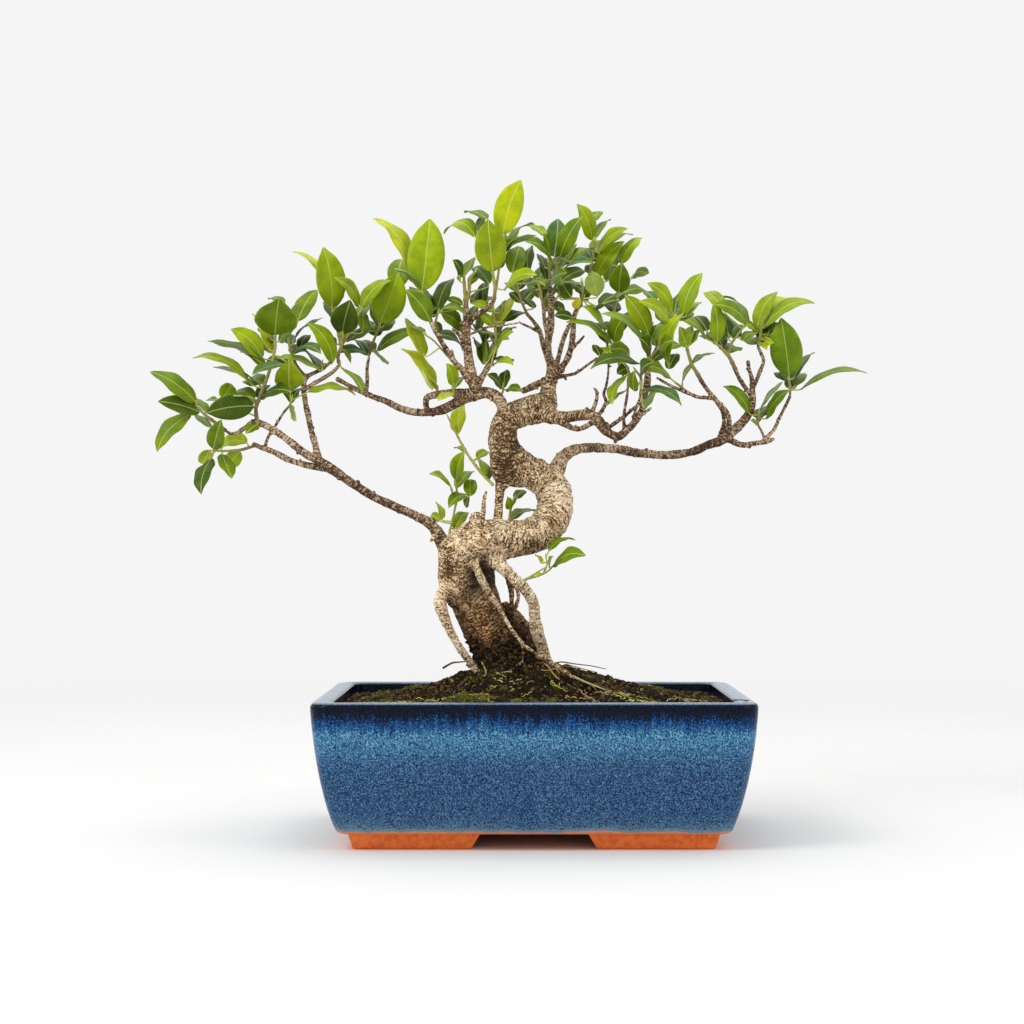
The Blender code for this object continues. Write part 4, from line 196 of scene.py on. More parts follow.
# ---------------------------------------------------------------- the leafy shoots
# stems: (u, v, y, radius). leaves: blade base u, v, tip u, v, width as seen, tone, rise of the arch,
# depth of the blade's base from its stem, and -1 or 1 for a tip nearer or farther than its base.
# Tones: k dark, a darker copy of the middle green that paints shade on shaded leaves, m middle, b bright, a brighter
# copy that paints light on lit leaves, l lime, c cool blue-green, g grey-green, p pale underside, y yellow.
SHOOTS = {
    "shoot_far_left": ([[(226, 430, -55, 1.5), (213, 421, -58, 1.8), (204, 414, -60, 1.5), (198, 407, -61, 1.2)]], [
        (196, 402, 151, 370, 17, "m", 2, -2, -1), (197, 405, 162, 398, 10, "l", 2, 5, 1), (200, 412, 158, 401, 17, "k", 1, 0, -1), (191, 414, 156, 451, 16, "m", 3, -1, -1),
        (196, 415, 211, 429, 7, "g", 0, 4, 1), (206, 412, 194, 397, 7, "m", 0, 5, 1)]),
    "shoot_low_left": ([[(254, 446, -41, 1.6), (240, 450, -44, 1.5), (225, 451, -47, 1.3), (215, 451, -49, 1.2), (212, 456, -50, 1.1)]], [
        (213, 449, 221, 420, 18, "m", 0, -5, -1), (210, 450, 202, 464, 14, "l", 0, 3, 1), (247, 443, 220, 449, 13, "l", 4, 4, 1), (240, 451, 227, 468, 15, "b", 0, 3, 1),
        (222, 454, 232, 478, 14, "m", -2, -1, -1), (211, 459, 200, 493, 15, "k", 2, -2, -1)]),
    "shoot_left_top": ([[(257, 420, -48, 2.2), (256, 408, -49, 2.0), (260, 397, -50, 1.9), (264, 386, -49, 1.9), (268, 375, -48, 1.8), (272, 362, -46, 1.7), (275, 348, -44, 1.6), (275, 338, -43, 1.5)]], [
        (254, 406, 206, 413, 25, "k", 2, -9, -1), (222, 399, 232, 383, 15, "b", 0, -2, 1), (216, 400, 206, 400, 4, "m", 0, 3, 1), (254, 399, 230, 395, 9, "m", 4, 3, 1),
        (256, 404, 233, 397, 5, "p", 2, -1, -1), (261, 398, 291, 391, 11, "k", 3, 2, -1), (252, 385, 193, 356, 8, "b", 7, -3, -1), (261, 387, 212, 369, 3, "g", 4, 3, 1), (258, 424, 246, 433, 9, "m", 0, -5, -1),
        (275, 335, 279, 299, 41, "m", 0, -6, -1), (279, 342, 297, 303, 11, "g", -3, 0, 1), (284, 303, 268, 298, 5, "m", 1, 4, 1), (269, 350, 252, 313, 11, "l", 2, 2, 1), (274, 342, 259, 327, 9, "k", 0, 4, 1),
        (262, 358, 231, 329, 18, "b", 4, -3, -1), (266, 365, 206, 344, 8, "g", 6, -1, -1), (264, 368, 240, 352, 6, "l", 2, 3, 1), (288, 364, 252, 374, 8, "c", 1, -5, -1),
        (268, 352, 262, 340, 14, "k", 0, 6, 2), (272, 344, 263, 328, 9, "k", 0, 5, 1), (258, 398, 270, 384, 8, "c", 1, 6, 1), (262, 384, 246, 380, 14, "m", 2, 6, 2), (272, 366, 286, 356, 14, "k", 0, 5, 2)]),
    "shoot_left_drop": ([[(284, 412, -38, 1.3), (290, 405, -39, 1.2), (291, 401, -40, 1.1)]], [
        (290, 392, 289, 361, 27, "b", 0, -3, -1), (291, 403, 283, 385, 9, "k", 0, 3, 1), (308, 392, 356, 394, 7, "b", 5, 1, 1), (290, 406, 296, 421, 6, "p", 0, 0, -1), (292, 403, 299, 387, 8, "k", 0, 4, 1)]),
    "shoot_left_inner": ([[(306, 377, -24, 1.7), (297, 366, -20, 1.5), (291, 352, -17, 1.5), (288, 337, -15, 1.3)]], [
        (292, 348, 325, 320, 3, "g", 6, 1, 1), (293, 353, 321, 353, 6, "c", 6, -2, -1), (300, 348, 310, 334, 9, "k", 1, 4, 1), (298, 321, 317, 289, 17, "m", 2, 3, 1), (290, 364, 276, 361, 8, "l", 2, -2, -1), (294, 354, 304, 342, 14, "k", 0, 5, 2), (289, 344, 282, 328, 14, "k", 0, 5, 2)]),
    "shoot_left_twig": ([[(321, 369, -16, 1.2), (322, 364, -15, 0.9)]], [
        (319, 369, 304, 350, 6, "k", 1, 3, 1), (321, 371, 276, 357, 6, "b", 3, -4, -1), (333, 363, 308, 322, 16, "b", 4, -3, -1)]),
    "shoot_left_crown": ([[(339, 363, -9, 1.8), (338, 356, -6, 1.8), (341, 347, -2, 1.7), (342, 338, 0, 1.6)], [(341, 347, -2, 1.5), (337, 328, 8, 1.4), (333, 312, 10, 1.4)], [(341, 347, -2, 1.4), (352, 328, 8, 1.3), (360, 312, 10, 1.2)]], [
        (342, 334, 350, 301, 27, "k", 0, -4, -1), (334, 345, 328, 331, 6, "k", 0, 3, 1), (362, 333, 362, 309, 12, "m", 0, 3, 1), (346, 342, 378, 330, 8, "k", 2, 1, 1), (342, 339, 343, 331, 5, "l", 0, -6, -1),
        (342, 368, 363, 392, 8, "m", 2, -4, -1), (344, 350, 352, 363, 5, "m", 0, 3, 1),
        (332, 307, 323, 247, 28, "b", 2, -2, -1), (327, 282, 293, 251, 6, "l", 4, 4, 1), (359, 307, 336, 277, 12, "b", 3, -1, -1), (335, 307, 342, 290, 10, "k", 0, 4, 1), (362, 308, 391, 278, 13, "b", 3, 2, 1),
        (336, 322, 326, 300, 14, "k", 0, 5, 2), (354, 322, 366, 304, 14, "m", 0, 5, 2), (344, 340, 358, 330, 14, "k", 0, 5, 2)]),
    "shoot_left_back": ([[(369, 355, 34, 1.4), (372, 345, 35, 1.3), (376, 335, 36, 1.3), (379, 328, 36, 1.3)]], [
        (380, 323, 398, 273, 32, "b", 0, -4, -1), (379, 328, 372, 302, 12, "k", 0, 3, 1), (383, 327, 404, 300, 9, "k", -2, 4, 1), (377, 351, 425, 331, 11, "m", 4, 0, 1), (374, 352, 388, 364, 4, "g", 0, -3, -1), (376, 336, 366, 318, 15, "k", 0, 5, 2), (378, 332, 392, 318, 15, "m", 0, 5, 2), (370, 352, 360, 340, 14, "k", 1, 6, 2),
        (369, 355, 337, 353, 9, "c", 3, -2, -1), (367, 355, 352, 338, 6, "k", 1, 2, 1), (397, 287, 402, 257, 22, "m", 0, 10, 1)]),
    "shoot_fore_high": ([[(431, 322, -40, 2.0), (428, 312, -41, 1.8), (423, 300, -42, 1.9), (422, 294, -42, 1.9)]], [
        (422, 291, 430, 218, 36, "b", 0, -2, 1), (411, 271, 374, 217, 15, "l", 6, 4, 1), (430, 321, 406, 290, 19, "m", 2, -7, -1), (420, 290, 394, 270, 4, "g", 4, 2, -1), (432, 317, 427, 290, 11, "k", 0, 6, 1),
        (437, 313, 453, 276, 15, "k", 2, 7, 1), (424, 302, 414, 286, 15, "k", 0, 6, 2), (428, 312, 440, 300, 14, "k", 0, 6, 2)]),
    "shoot_fore_arch": ([[(434, 329, -37, 1.4), (436, 320, -34, 1.2), (438, 313, -33, 1.0)]], [
        (438, 311, 466, 314, 6, "m", 5, 2, 1), (441, 313, 463, 333, 14, "m", 3, 2, 1), (463, 305, 446, 299, 7, "m", 1, 6, 1), (435, 322, 441, 335, 8, "k", 0, 5, 1), (437, 336, 464, 350, 7, "c", 5, 5, 1)]),
    "shoot_fore_low": ([[(452, 361, -24, 1.2), (444, 352, -27, 1.0), (434, 341, -31, 1.0), (427, 336, -33, 0.9)]], [
        (424, 356, 405, 318, 13, "l", 0, -1, 1), (424, 332, 412, 326, 4, "m", 0, 2, 1)]),
    "shoot_loop_left": ([[(437, 394, -13, 1.8), (437, 387, -18, 1.5), (434, 382, -22, 1.2)]], [
        (437, 390, 401, 348, 11, "l", 3, -2, -1), (433, 388, 416, 360, 5, "p", -2, 6, 1)]),
    "shoot_loop_right": ([[(455, 397, -15, 1.8), (453, 389, -20, 1.5), (453, 384, -22, 1.2)]], [
        (453, 385, 447, 364, 12, "b", 2, 0, -1), (453, 393, 438, 401, 7, "l", 0, -6, -1), (455, 388, 464, 376, 7, "m", 1, 2, 1)]),
    "shoot_centre_stub": ([[(466, 311, -27.5, 2.8), (466, 302, -28.5, 2.6), (465, 292, -29, 1.9), (464, 281, -30, 1.6), (464, 276, -31, 1.3)], [(466, 302, -28.5, 1.8), (469, 293, -30, 1.8), (470, 279, -32, 1.7), (475, 272, -33, 1.2)]], [
        (462, 277, 454, 260, 8, "k", 1, -1, -1), (465, 275, 474, 256, 9, "m", -2, 0, 1), (460, 282, 460, 275, 4, "l", 0, -2, -1), (470, 285, 481, 276, 7, "b", 2, 4, 1), (489, 284, 472, 266, 13, "c", 2, 5, 1)]),
    "shoot_centre_peak": ([[(494, 301, -40, 1.9), (495, 288, -43, 1.7), (493, 274, -46, 1.6)], [(496, 290, -43, 1.3), (500, 262, -46, 1.3), (503, 242, -48, 1.2)]], [
        (493, 272, 488, 219, 30, "b", 0, -3, -1), (503, 235, 521, 180, 27, "l", 3, 1, 1), (475, 237, 443, 232, 10, "b", 10, 3, 1), (487, 219, 464, 211, 6, "m", 1, 5, 1), (477, 231, 486, 217, 9, "g", 0, 4, 1),
        (504, 290, 536, 274, 11, "b", 5, -2, -1), (500, 258, 538, 238, 5, "g", 5, 0, 1), (508, 252, 533, 222, 5, "m", 5, 2, 1), (507, 248, 506, 234, 7, "b", 0, 4, 1), (512, 244, 521, 236, 4, "m", 1, 5, 1), (497, 268, 488, 250, 15, "k", 0, 6, 2), (501, 252, 512, 238, 14, "k", 0, 6, 2)]),
    "shoot_centre_back": ([[(494, 300, -38, 1.4), (489, 299, -30, 1.1), (486, 305, -24, 1.0)]], [
        (484, 304, 485, 281, 12, "k", 0, 2, 1), (474, 304, 477, 289, 7, "k", 0, 3, 1), (480, 306, 492, 296, 7, "k", 1, 4, 1), (493, 312, 470, 302, 8, "b", 1, -2, -1), (478, 303, 466, 296, 5, "m", 1, 4, 1)]),
    "shoot_yellow": ([[(496, 352, -16, 1.6), (496, 336, -19, 1.5), (494, 320, -22, 1.4), (493, 312, -24, 1.2)]], [
        (501, 322, 519, 292, 9, "l", 2, 0, 1), (497, 325, 501, 302, 10, "b", 0, 2, 1), (493, 326, 478, 313, 9, "b", 1, 0, -1), (504, 322, 526, 312, 9, "k", 2, 4, 1), (499, 340, 516, 326, 6, "m", 1, 3, 1),
        (482, 363, 474, 336, 9, "m", 0, 5, 1), (485, 364, 486, 330, 6, "m", 1, 2, 1), (492, 366, 513, 364, 5, "b", 3, 1, -1), (496, 360, 514, 360, 3, "k", 1, 4, 1), (497, 347, 512, 331, 6, "b", 1, -2, -1), (490, 361, 496, 338, 6, "k", 0, 4, 1), (494, 356, 505, 336, 5, "b", 1, 2, 1), (486, 352, 480, 330, 5, "m", 0, 6, 1), (495, 345, 487, 330, 6, "k", 0, 6, 1), (480, 330, 488, 305, 8, "m", 0, 9, 1), (470, 326, 478, 303, 9, "k", 0, 9, 1), (499, 334, 510, 310, 7, "m", 1, 8, 1), (486, 340, 472, 322, 8, "k", 1, 10, 1), (503, 312, 512, 298, 8, "k", 1, 9, 1)]),
    "shoot_crook": ([[(500, 398, -8, 1.3), (503, 391, -10, 1.1), (503, 388, -11, 1.0)]], [
        (506, 390, 521, 391, 8, "m", 2, 0, -1), (504, 388, 506, 369, 11, "k", 0, 2, 1), (502, 388, 488, 374, 8, "k", 1, -1, -1)]),
    "shoot_apex_left": ([[(527, 314, -18, 1.5), (521, 300, -24, 1.3), (517, 286, -28, 1.2), (516, 278, -29, 1.1)]], [
        (512, 273, 520, 245, 20, "m", 1, -2, 1), (528, 272, 530, 244, 13, "k", 0, 3, 1), (534, 308, 520, 296, 6, "k", 0, 3, 1), (528, 283, 545, 285, 5, "m", 2, 2, -1), (521, 300, 530, 287, 7, "k", 0, 5, 1),
        (518, 290, 534, 277, 8, "k", 2, 6, 1), (520, 303, 509, 292, 8, "k", 1, 4, 1), (517, 292, 505, 282, 8, "m", 1, 5, 1)]),
    "shoot_apex_top": ([[(550, 285, 10, 1.8), (550, 274, 9, 1.6), (549, 262, 8, 1.5)], [(551, 284, 9, 1.3), (556, 270, 8, 1.3), (560, 258, 7, 1.2)]], [
        (554, 257, 558, 217, 22, "c", 0, 3, 1), (560, 257, 582, 216, 18, "m", 2, -3, -1), (550, 253, 544, 234, 9, "m", 0, -2, -1), (545, 236, 527, 225, 7, "b", 1, 2, 1), (553, 262, 527, 240, 9, "m", 3, -4, -1),
        (562, 268, 576, 243, 9, "m", 1, 2, 1), (562, 271, 592, 262, 6, "c", 3, -2, -1), (571, 262, 593, 247, 8, "m", 2, 1, 1), (545, 268, 538, 253, 7, "k", 0, 4, 1), (546, 280, 540, 262, 8, "k", 0, 6, 1), (553, 272, 546, 256, 15, "k", 0, 6, 2), (557, 268, 570, 254, 15, "k", 0, 6, 2), (551, 280, 564, 272, 14, "m", 0, -6, -2)]),
    "shoot_apex_right": ([[(586, 289, 36, 1.5), (590, 272, 34, 1.5), (593, 256, 33, 1.4), (594, 243, 32, 1.3)]], [
        (592, 240, 578, 204, 15, "b", 2, -3, -1), (590, 222, 602, 210, 9, "m", 0, 4, 1), (596, 238, 610, 218, 7, "m", 1, 2, 1), (598, 252, 627, 228, 11, "b", 3, -2, -1), (602, 251, 633, 233, 7, "m", 4, 3, 1),
        (596, 278, 624, 241, 16, "b", 2, -3, -1), (608, 281, 618, 249, 12, "b", 0, 2, 1), (622, 264, 642, 236, 12, "b", 2, 0, 1), (592, 262, 582, 246, 15, "k", 0, 6, 2), (594, 252, 608, 240, 15, "m", 0, 6, 2), (590, 274, 602, 264, 14, "k", 0, 6, 2)]),
    "shoot_apex_round": ([[(609, 360, -14, 1.3), (607, 340, -12, 1.3), (612, 318, -10, 1.3), (618, 296, -8, 1.3)]], [
        (619, 293, 622, 264, 20, "m", 0, -2, -1), (631, 279, 650, 275, 9, "g", 4, 4, 1), (606, 334, 584, 306, 7, "b", 3, -2, -1), (612, 344, 567, 320, 7, "b", 4, -4, -1), (614, 343, 625, 315, 16, "m", 2, -1, -1),
        (618, 336, 629, 310, 13, "k", 0, 4, 1), (622, 294, 652, 294, 8, "m", 4, 3, 1), (611, 356, 624, 376, 5, "m", 1, -4, -1), (616, 302, 628, 290, 9, "k", 1, 5, 1), (608, 344, 596, 332, 8, "k", 1, 6, 1), (608, 352, 600, 362, 7, "m", 0, -2, -1), (616, 312, 604, 298, 13, "k", 0, 5, 2), (609, 330, 598, 322, 13, "k", 0, 4, 2)]),
    "shoot_apex_inner": ([[(581, 303, -16, 1.6), (583, 292, -18, 1.3), (582, 282, -19, 1.2)]], [
        (598, 296, 592, 271, 19, "p", 0, -4, -1), (563, 280, 585, 270, 12, "k", 1, 2, 1), (574, 308, 580, 298, 9, "y", 0, -3, -1), (600, 306, 618, 294, 10, "k", 1, 2, 1), (594, 310, 620, 301, 3, "g", 1, -2, -1),
        (571, 297, 562, 283, 12, "k", 0, 0, 1), (585, 296, 575, 284, 9, "k", 0, 4, 1), (583, 300, 596, 286, 9, "k", 1, 5, 1), (572, 318, 554, 316, 9, "k", 2, 2, 1), (560, 298, 572, 292, 7, "m", 1, 3, 1), (580, 290, 590, 300, 8, "k", 0, 4, 1)]),
    "shoot_back_left": ([[(543, 306, 66, 1.5), (541, 294, 70, 1.3), (538, 282, 74, 1.2)]], [
        (540, 298, 527, 284, 11, "k", 2, 2, 1), (543, 302, 556, 286, 11, "k", 1, 4, 1), (538, 286, 546, 262, 12, "k", 0, 3, 1), (536, 290, 523, 305, 9, "k", 1, 2, 1), (541, 300, 558, 304, 9, "k", 2, 5, 1), (541, 294, 530, 276, 16, "k", 0, 4, 2), (540, 290, 550, 276, 16, "m", 0, 4, 2)]),
    "shoot_back_right": ([[(544, 312, 62, 1.3), (554, 302, 68, 1.2), (562, 290, 72, 1.1)]], [
        (561, 290, 574, 270, 11, "k", 1, 3, 1), (558, 294, 573, 297, 10, "k", 2, 5, 1), (562, 288, 557, 266, 11, "m", 0, 3, 1), (553, 303, 566, 314, 9, "k", 0, 2, 1), (560, 291, 582, 284, 10, "k", 2, 6, 1), (560, 294, 570, 280, 16, "m", 0, 4, 2), (556, 300, 548, 312, 15, "k", 2, 5, 2)]),
    "shoot_fan": ([[(648, 371, -48, 2.2), (649, 358, -50, 2.0), (650, 347, -52, 1.6)], [(649, 360, -50, 1.3), (660, 348, -52, 1.1), (667, 360, -55, 1.0)]], [
        (646, 350, 604, 311, 7, "m", 6, -1, -1), (648, 332, 625, 295, 20, "b", 2, -3, -1), (650, 345, 661, 322, 13, "m", 1, 2, 1), (646, 340, 653, 322, 8, "k", 1, 5, 1), (668, 364, 681, 313, 14, "b", 6, -3, -1),
        (669, 369, 677, 352, 11, "k", 0, 4, 1), (653, 361, 668, 352, 10, "k", 2, 3, 1), (667, 349, 684, 346, 7, "m", 2, 3, 1), (640, 364, 590, 368, 10, "k", 6, -4, -1), (670, 326, 640, 301, 12, "b", 4, -1, -1), (650, 352, 640, 338, 14, "k", 0, -5, -2), (660, 350, 672, 340, 13, "m", 1, -5, -2)]),
    "shoot_fan_back": ([[(649, 364, -46, 1.4), (660, 340, -40, 1.3), (674, 318, -34, 1.2)]], [
        (672, 313, 648, 283, 14, "b", 4, -2, -1), (675, 312, 682, 289, 10, "c", 0, 3, 1), (683, 314, 702, 272, 17, "b", 2, 0, 1), (686, 316, 701, 301, 9, "b", 1, 3, 1), (655, 302, 643, 291, 8, "c", 1, 5, 1), (660, 334, 668, 320, 9, "k", 0, 3, 1), (668, 326, 660, 310, 15, "k", 0, 5, 2), (674, 320, 690, 310, 15, "m", 0, 5, 2), (656, 346, 646, 334, 14, "k", 0, 6, 2)]),
    "shoot_mid_left": ([[(628, 381, -40, 1.6), (629, 373, -41, 1.4), (625, 364, -42, 1.2)]], [
        (610, 350, 631, 357, 12, "m", 4, 2, 1), (612, 358, 597, 348, 9, "b", 1, 3, 1), (600, 356, 594, 344, 8, "k", 0, 4, 1), (626, 376, 611, 403, 10, "b", 3, -3, -1), (624, 392, 607, 407, 4, "g", 2, 2, 1), (629, 368, 617, 374, 11, "k", 1, 5, 2)]),
    "shoot_mid_right": ([[(641, 387, -54, 1.6), (641, 378, -55, 1.4), (636, 371, -56, 1.1)]], [
        (634, 391, 634, 371, 10, "m", 0, -4, -1), (641, 390, 682, 404, 9, "c", 5, -4, -1), (644, 407, 657, 392, 7, "g", 0, 3, 1), (640, 374, 650, 362, 12, "k", 0, -4, -2)]),
    "shoot_spur": ([[(687, 392, 14, 1.3), (680, 386, 11, 1.2), (676, 383, 9, 1.1)]], [
        (671, 379, 641, 367, 11, "m", 4, -2, -1)]),
    "shoot_right_mid": ([[(702, 382, 24, 2.0), (697, 373, 21, 2.0), (692, 365, 18, 1.9), (689, 356, 16, 1.7), (687, 348, 16, 1.5)]], [
        (686, 346, 680, 327, 11, "b", 0, -1, -1), (689, 346, 697, 329, 10, "m", 0, 2, 1), (687, 347, 690, 325, 11, "b", 0, 3, 1), (694, 363, 715, 355, 3, "g", 3, -1, -1), (692, 366, 682, 391, 3, "m", 3, 1, 1)]),
    "shoot_right_broad": ([[(736, 371, 43, 2.1), (732, 362, 40, 2.1), (728, 355, 38, 1.9), (722, 349, 37, 1.6), (717, 344, 36, 1.4)], [(728, 355, 38, 1.5), (732, 343, 36, 1.3), (742, 329, 35, 1.1)]], [
        (717, 342, 714, 304, 16, "b", 1, -4, -1), (706, 338, 660, 318, 9, "b", 8, 0, -1), (723, 310, 704, 291, 13, "b", 2, 3, 1), (747, 324, 715, 304, 13, "m", 4, -2, -1), (728, 334, 722, 311, 10, "k", 0, 4, 1),
        (748, 324, 722, 295, 3, "m", 5, 2, 1), (728, 338, 742, 323, 11, "c", 1, 4, 1), (707, 331, 694, 315, 12, "k", 1, 6, 1), (709, 340, 699, 335, 4, "m", 0, 3, 1), (743, 341, 757, 331, 8, "m", 1, 2, 1), (722, 346, 710, 330, 15, "k", 0, 6, 2), (734, 338, 730, 318, 15, "k", 0, 6, 2), (726, 352, 738, 346, 13, "m", 0, 5, 2)]),
    "shoot_right_tip": ([[(758, 347, 60, 1.5), (760, 338, 60, 1.5), (761, 329, 60, 1.3)]], [
        (757, 327, 777, 290, 15, "b", 2, 0, 1), (770, 314, 791, 298, 10, "l", 3, 5, 1), (765, 327, 814, 301, 12, "b", 6, -3, -1), (764, 340, 774, 343, 8, "l", 0, -2, -1), (765, 338, 769, 331, 5, "l", 0, 0, 1),
        (760, 330, 764, 316, 5, "l", 0, -3, -1), (767, 335, 780, 321, 9, "k", 1, 4, 1), (758, 331, 744, 324, 6, "b", 1, -2, -1), (759, 343, 767, 350, 6, "l", 0, -3, -1), (760, 334, 752, 322, 14, "k", 0, 4, 2), (760, 344, 748, 338, 12, "m", 0, 6, 2), (760, 340, 774, 334, 14, "m", 1, 5, 2), (761, 330, 772, 316, 14, "k", 0, 6, 2)]),
    "shoot_right_low": ([[(790, 395, 61, 1.3), (790, 388, 61, 1.3), (789, 380, 61, 1.2)]], [
        (789, 376, 781, 318, 31, "m", 0, -2, -1), (794, 378, 814, 351, 8, "c", 1, 3, 1), (800, 390, 867, 371, 6, "m", 6, 0, -1), (791, 389, 798, 386, 4, "g", 0, 1, 1), (790, 384, 784, 366, 15, "k", 0, 5, 2), (790, 388, 804, 372, 14, "m", 0, 5, 2), (789, 382, 777, 372, 12, "k", 1, 6, 2)]),
    "shoot_right_spray": ([[(761, 430, 44, 1.2), (758, 424, 43, 1.1), (759, 414, 42, 1.0)]], [
        (766, 419, 789, 389, 10, "m", 2, -1, -1), (760, 412, 785, 383, 5, "g", 2, 1, 1), (749, 414, 724, 385, 11, "m", 3, 2, 1), (759, 422, 765, 411, 5, "k", 0, 1, 1), (757, 424, 751, 420, 4, "b", 0, 0, -1), (759, 418, 770, 404, 12, "k", 0, 5, 2)]),
    "sprout_trunk": ([[(492.5, 484.5, -6, 1.8), (480, 471, 4, 1.6), (468, 455, 12, 1.4), (458, 437, 16, 1.2), (449, 419, 18, 0.9)]], [
        (459, 433, 461, 402, 15, "l", 0, 2, 1), (465, 452, 454, 447, 4, "b", 1, 1, 1), (477, 458, 489, 451, 8, "b", 1, 3, 1), (480, 459, 484, 476, 8, "b", 1, -2, -1), (487, 479, 487, 462, 8, "k", 0, 5, 1)]),
    "sprout_low_left": ([[(448, 538, 8, 1.1), (452, 522, 12, 1.1), (455, 508, 14, 1.2), (457, 496, 15, 1.3), (456, 484, 16, 1.2)]], [
        (456, 481, 463, 452, 15, "b", 0, -1, -1), (457, 488, 474, 470, 9, "m", 2, 3, 1), (454, 497, 430, 473, 4, "b", 5, -1, -1), (466, 496, 449, 507, 11, "m", 3, -3, -1), (470, 496, 471, 478, 13, "b", 0, 2, 1),
        (469, 497, 465, 508, 6, "k", 0, 5, 1), (455, 529, 468, 511, 12, "b", 1, 1, 1), (441, 519, 436, 502, 6, "l", 1, 4, 1), (440, 521, 430, 515, 9, "b", 1, 2, 1)]),
    "sprout_bridge": ([[(509, 521, 10, 1.4), (511, 508, 13, 1.3), (514, 499, 14, 1.1)]], [
        (510, 509, 508, 497, 8, "b", 0, -1, -1), (513, 505, 517, 495, 4, "b", 0, 0, 1), (515, 499, 526, 490, 8, "k", 1, 3, 1), (511, 520, 537, 511, 6, "m", 3, 2, 1)]),
    "sprout_low_right": ([[(519, 583, -22, 1.4), (530, 577, -24, 1.3), (541, 570, -26, 0.8)], [(526, 579.2, -23.4, 1.1), (538, 576, -25, 1.1), (548, 571, -27, 1.0), (552, 567, -28, 0.9)],
                          [(543, 573.6, -26, 0.9), (547, 565, -24, 0.9), (546, 557, -20, 0.8)]], [
        (553, 566, 584, 554, 12, "m", 4, 0, -1), (549, 551, 575, 538, 5, "m", 3, 2, 1), (541, 563, 535, 555, 3, "l", 1, 2, 1), (549, 567, 552, 556, 3, "b", 0, -1, -1), (544, 574, 536, 576, 3, "b", 1, -2, -1)]),
}

LEAF_PROFILE = [(0.0, 0.10), (0.06, 0.20), (0.14, 0.44), (0.24, 0.70), (0.36, 0.90), (0.48, 1.0), (0.58, 0.985), (0.68, 0.90), (0.78, 0.72), (0.87, 0.47), (0.94, 0.22), (1.0, 0.0)]


def profile_width(t):
    """Half-open leaf outline: the blade's width at t along it, as a share of its full width."""
    for (a, wa), (b, wb) in zip(LEAF_PROFILE, LEAF_PROFILE[1:]):
        if t <= b:
            k = (t - a) / (b - a)
            return wa + (wb - wa) * k
    return 0.0


def smooth_path(points, step):
    """Points every step mm or so along a smooth curve through (Vector, radius) points."""
    out = []
    n = len(points)
    for i in range(n - 1):
        p0, r0 = points[max(i - 1, 0)]
        p1, r1 = points[i]
        p2, r2 = points[i + 1]
        p3, r3 = points[min(i + 2, n - 1)]
        k = max(1, int(math.ceil((p2 - p1).length / step)))
        for j in range(k):
            t = j / k
            t2, t3 = t * t, t * t * t
            p = 0.5 * ((2 * p1) + (p2 - p0) * t + (2 * p0 - 5 * p1 + 4 * p2 - p3) * t2 + (3 * p1 - p0 - 3 * p2 + p3) * t3)
            out.append((p, r1 + (r2 - r1) * (t2 * 3 - 2 * t3)))
    out.append(points[-1])
    return out


def path_mm(rows):
    return [(sight(u, v, y), r * scale_at(y)) for u, v, y, r in rows]


def tube(path, sides, grow=0.0, dome=1.0):
    """A closed round tube along (Vector, radius) points, as (points, faces), with a domed cap on each end."""
    pts, rads = [p for p, _ in path], [r + grow for _, r in path]
    d0 = (pts[1] - pts[0]).normalized()
    d1 = (pts[-1] - pts[-2]).normalized()
    rows = [(pts[0] - d0 * (rads[0] * dome * 0.75 + grow * 0.3), rads[0] * 0.55)] + list(zip(pts, rads)) + [(pts[-1] + d1 * (rads[-1] * dome * 0.75 + grow * 0.3), rads[-1] * 0.55)]
    n = len(rows)
    side = Vector((0, 1, 0))
    if abs(d0.dot(side)) > 0.9:
        side = Vector((1, 0, 0))
    verts, faces = [], []
    last = None
    for i, (p, r) in enumerate(rows):
        a = rows[max(i - 1, 0)][0]
        b = rows[min(i + 1, n - 1)][0]
        t = (b - a).normalized()
        side = (side - t * side.dot(t)).normalized()
        up = t.cross(side)
        ring = []
        for k in range(sides):
            ang = 2 * math.pi * k / sides
            ring.append(len(verts))
            verts.append(p + side * (r * math.cos(ang)) + up * (r * math.sin(ang)))
        if last:
            for k in range(sides):
                k2 = (k + 1) % sides
                faces.append((last[k], last[k2], ring[k2], ring[k]))
        last = ring
    faces.append(tuple(reversed(range(sides))))
    faces.append(tuple(last))
    return verts, faces


def bvh(verts, faces):
    return BVHTree.FromPolygons([tuple(v) for v in verts], faces, epsilon=0.0)


def box_of(verts, pad=0.3):
    xs, ys, zs = zip(*[(v[0], v[1], v[2]) for v in verts])
    return (min(xs) - pad, min(ys) - pad, min(zs) - pad, max(xs) + pad, max(ys) + pad, max(zs) + pad)


def boxes_meet(a, b):
    return a[0] <= b[3] and b[0] <= a[3] and a[1] <= b[4] and b[1] <= a[4] and a[2] <= b[5] and b[2] <= a[5]


GAP = 0.4                          # clearance left between neighbouring pieces, mm


def wood_forms(name):
    """The tubes of one piece of wood, and the same tubes grown by GAP all round."""
    out = []
    for rows in WOOD[name]:
        thick = max(r[3] for r in rows)
        step = 10.0 if thick > 12 else 15.0
        sides = 12 if thick > 20 else 10 if thick > 12 else 8 if thick > 7 else 6 if thick > 3.9 else 5 if thick > 2.5 else 4
        p = smooth_path(path_mm(rows), step)
        out.append((tube(p, sides), tube(p, sides, GAP)))
    return out


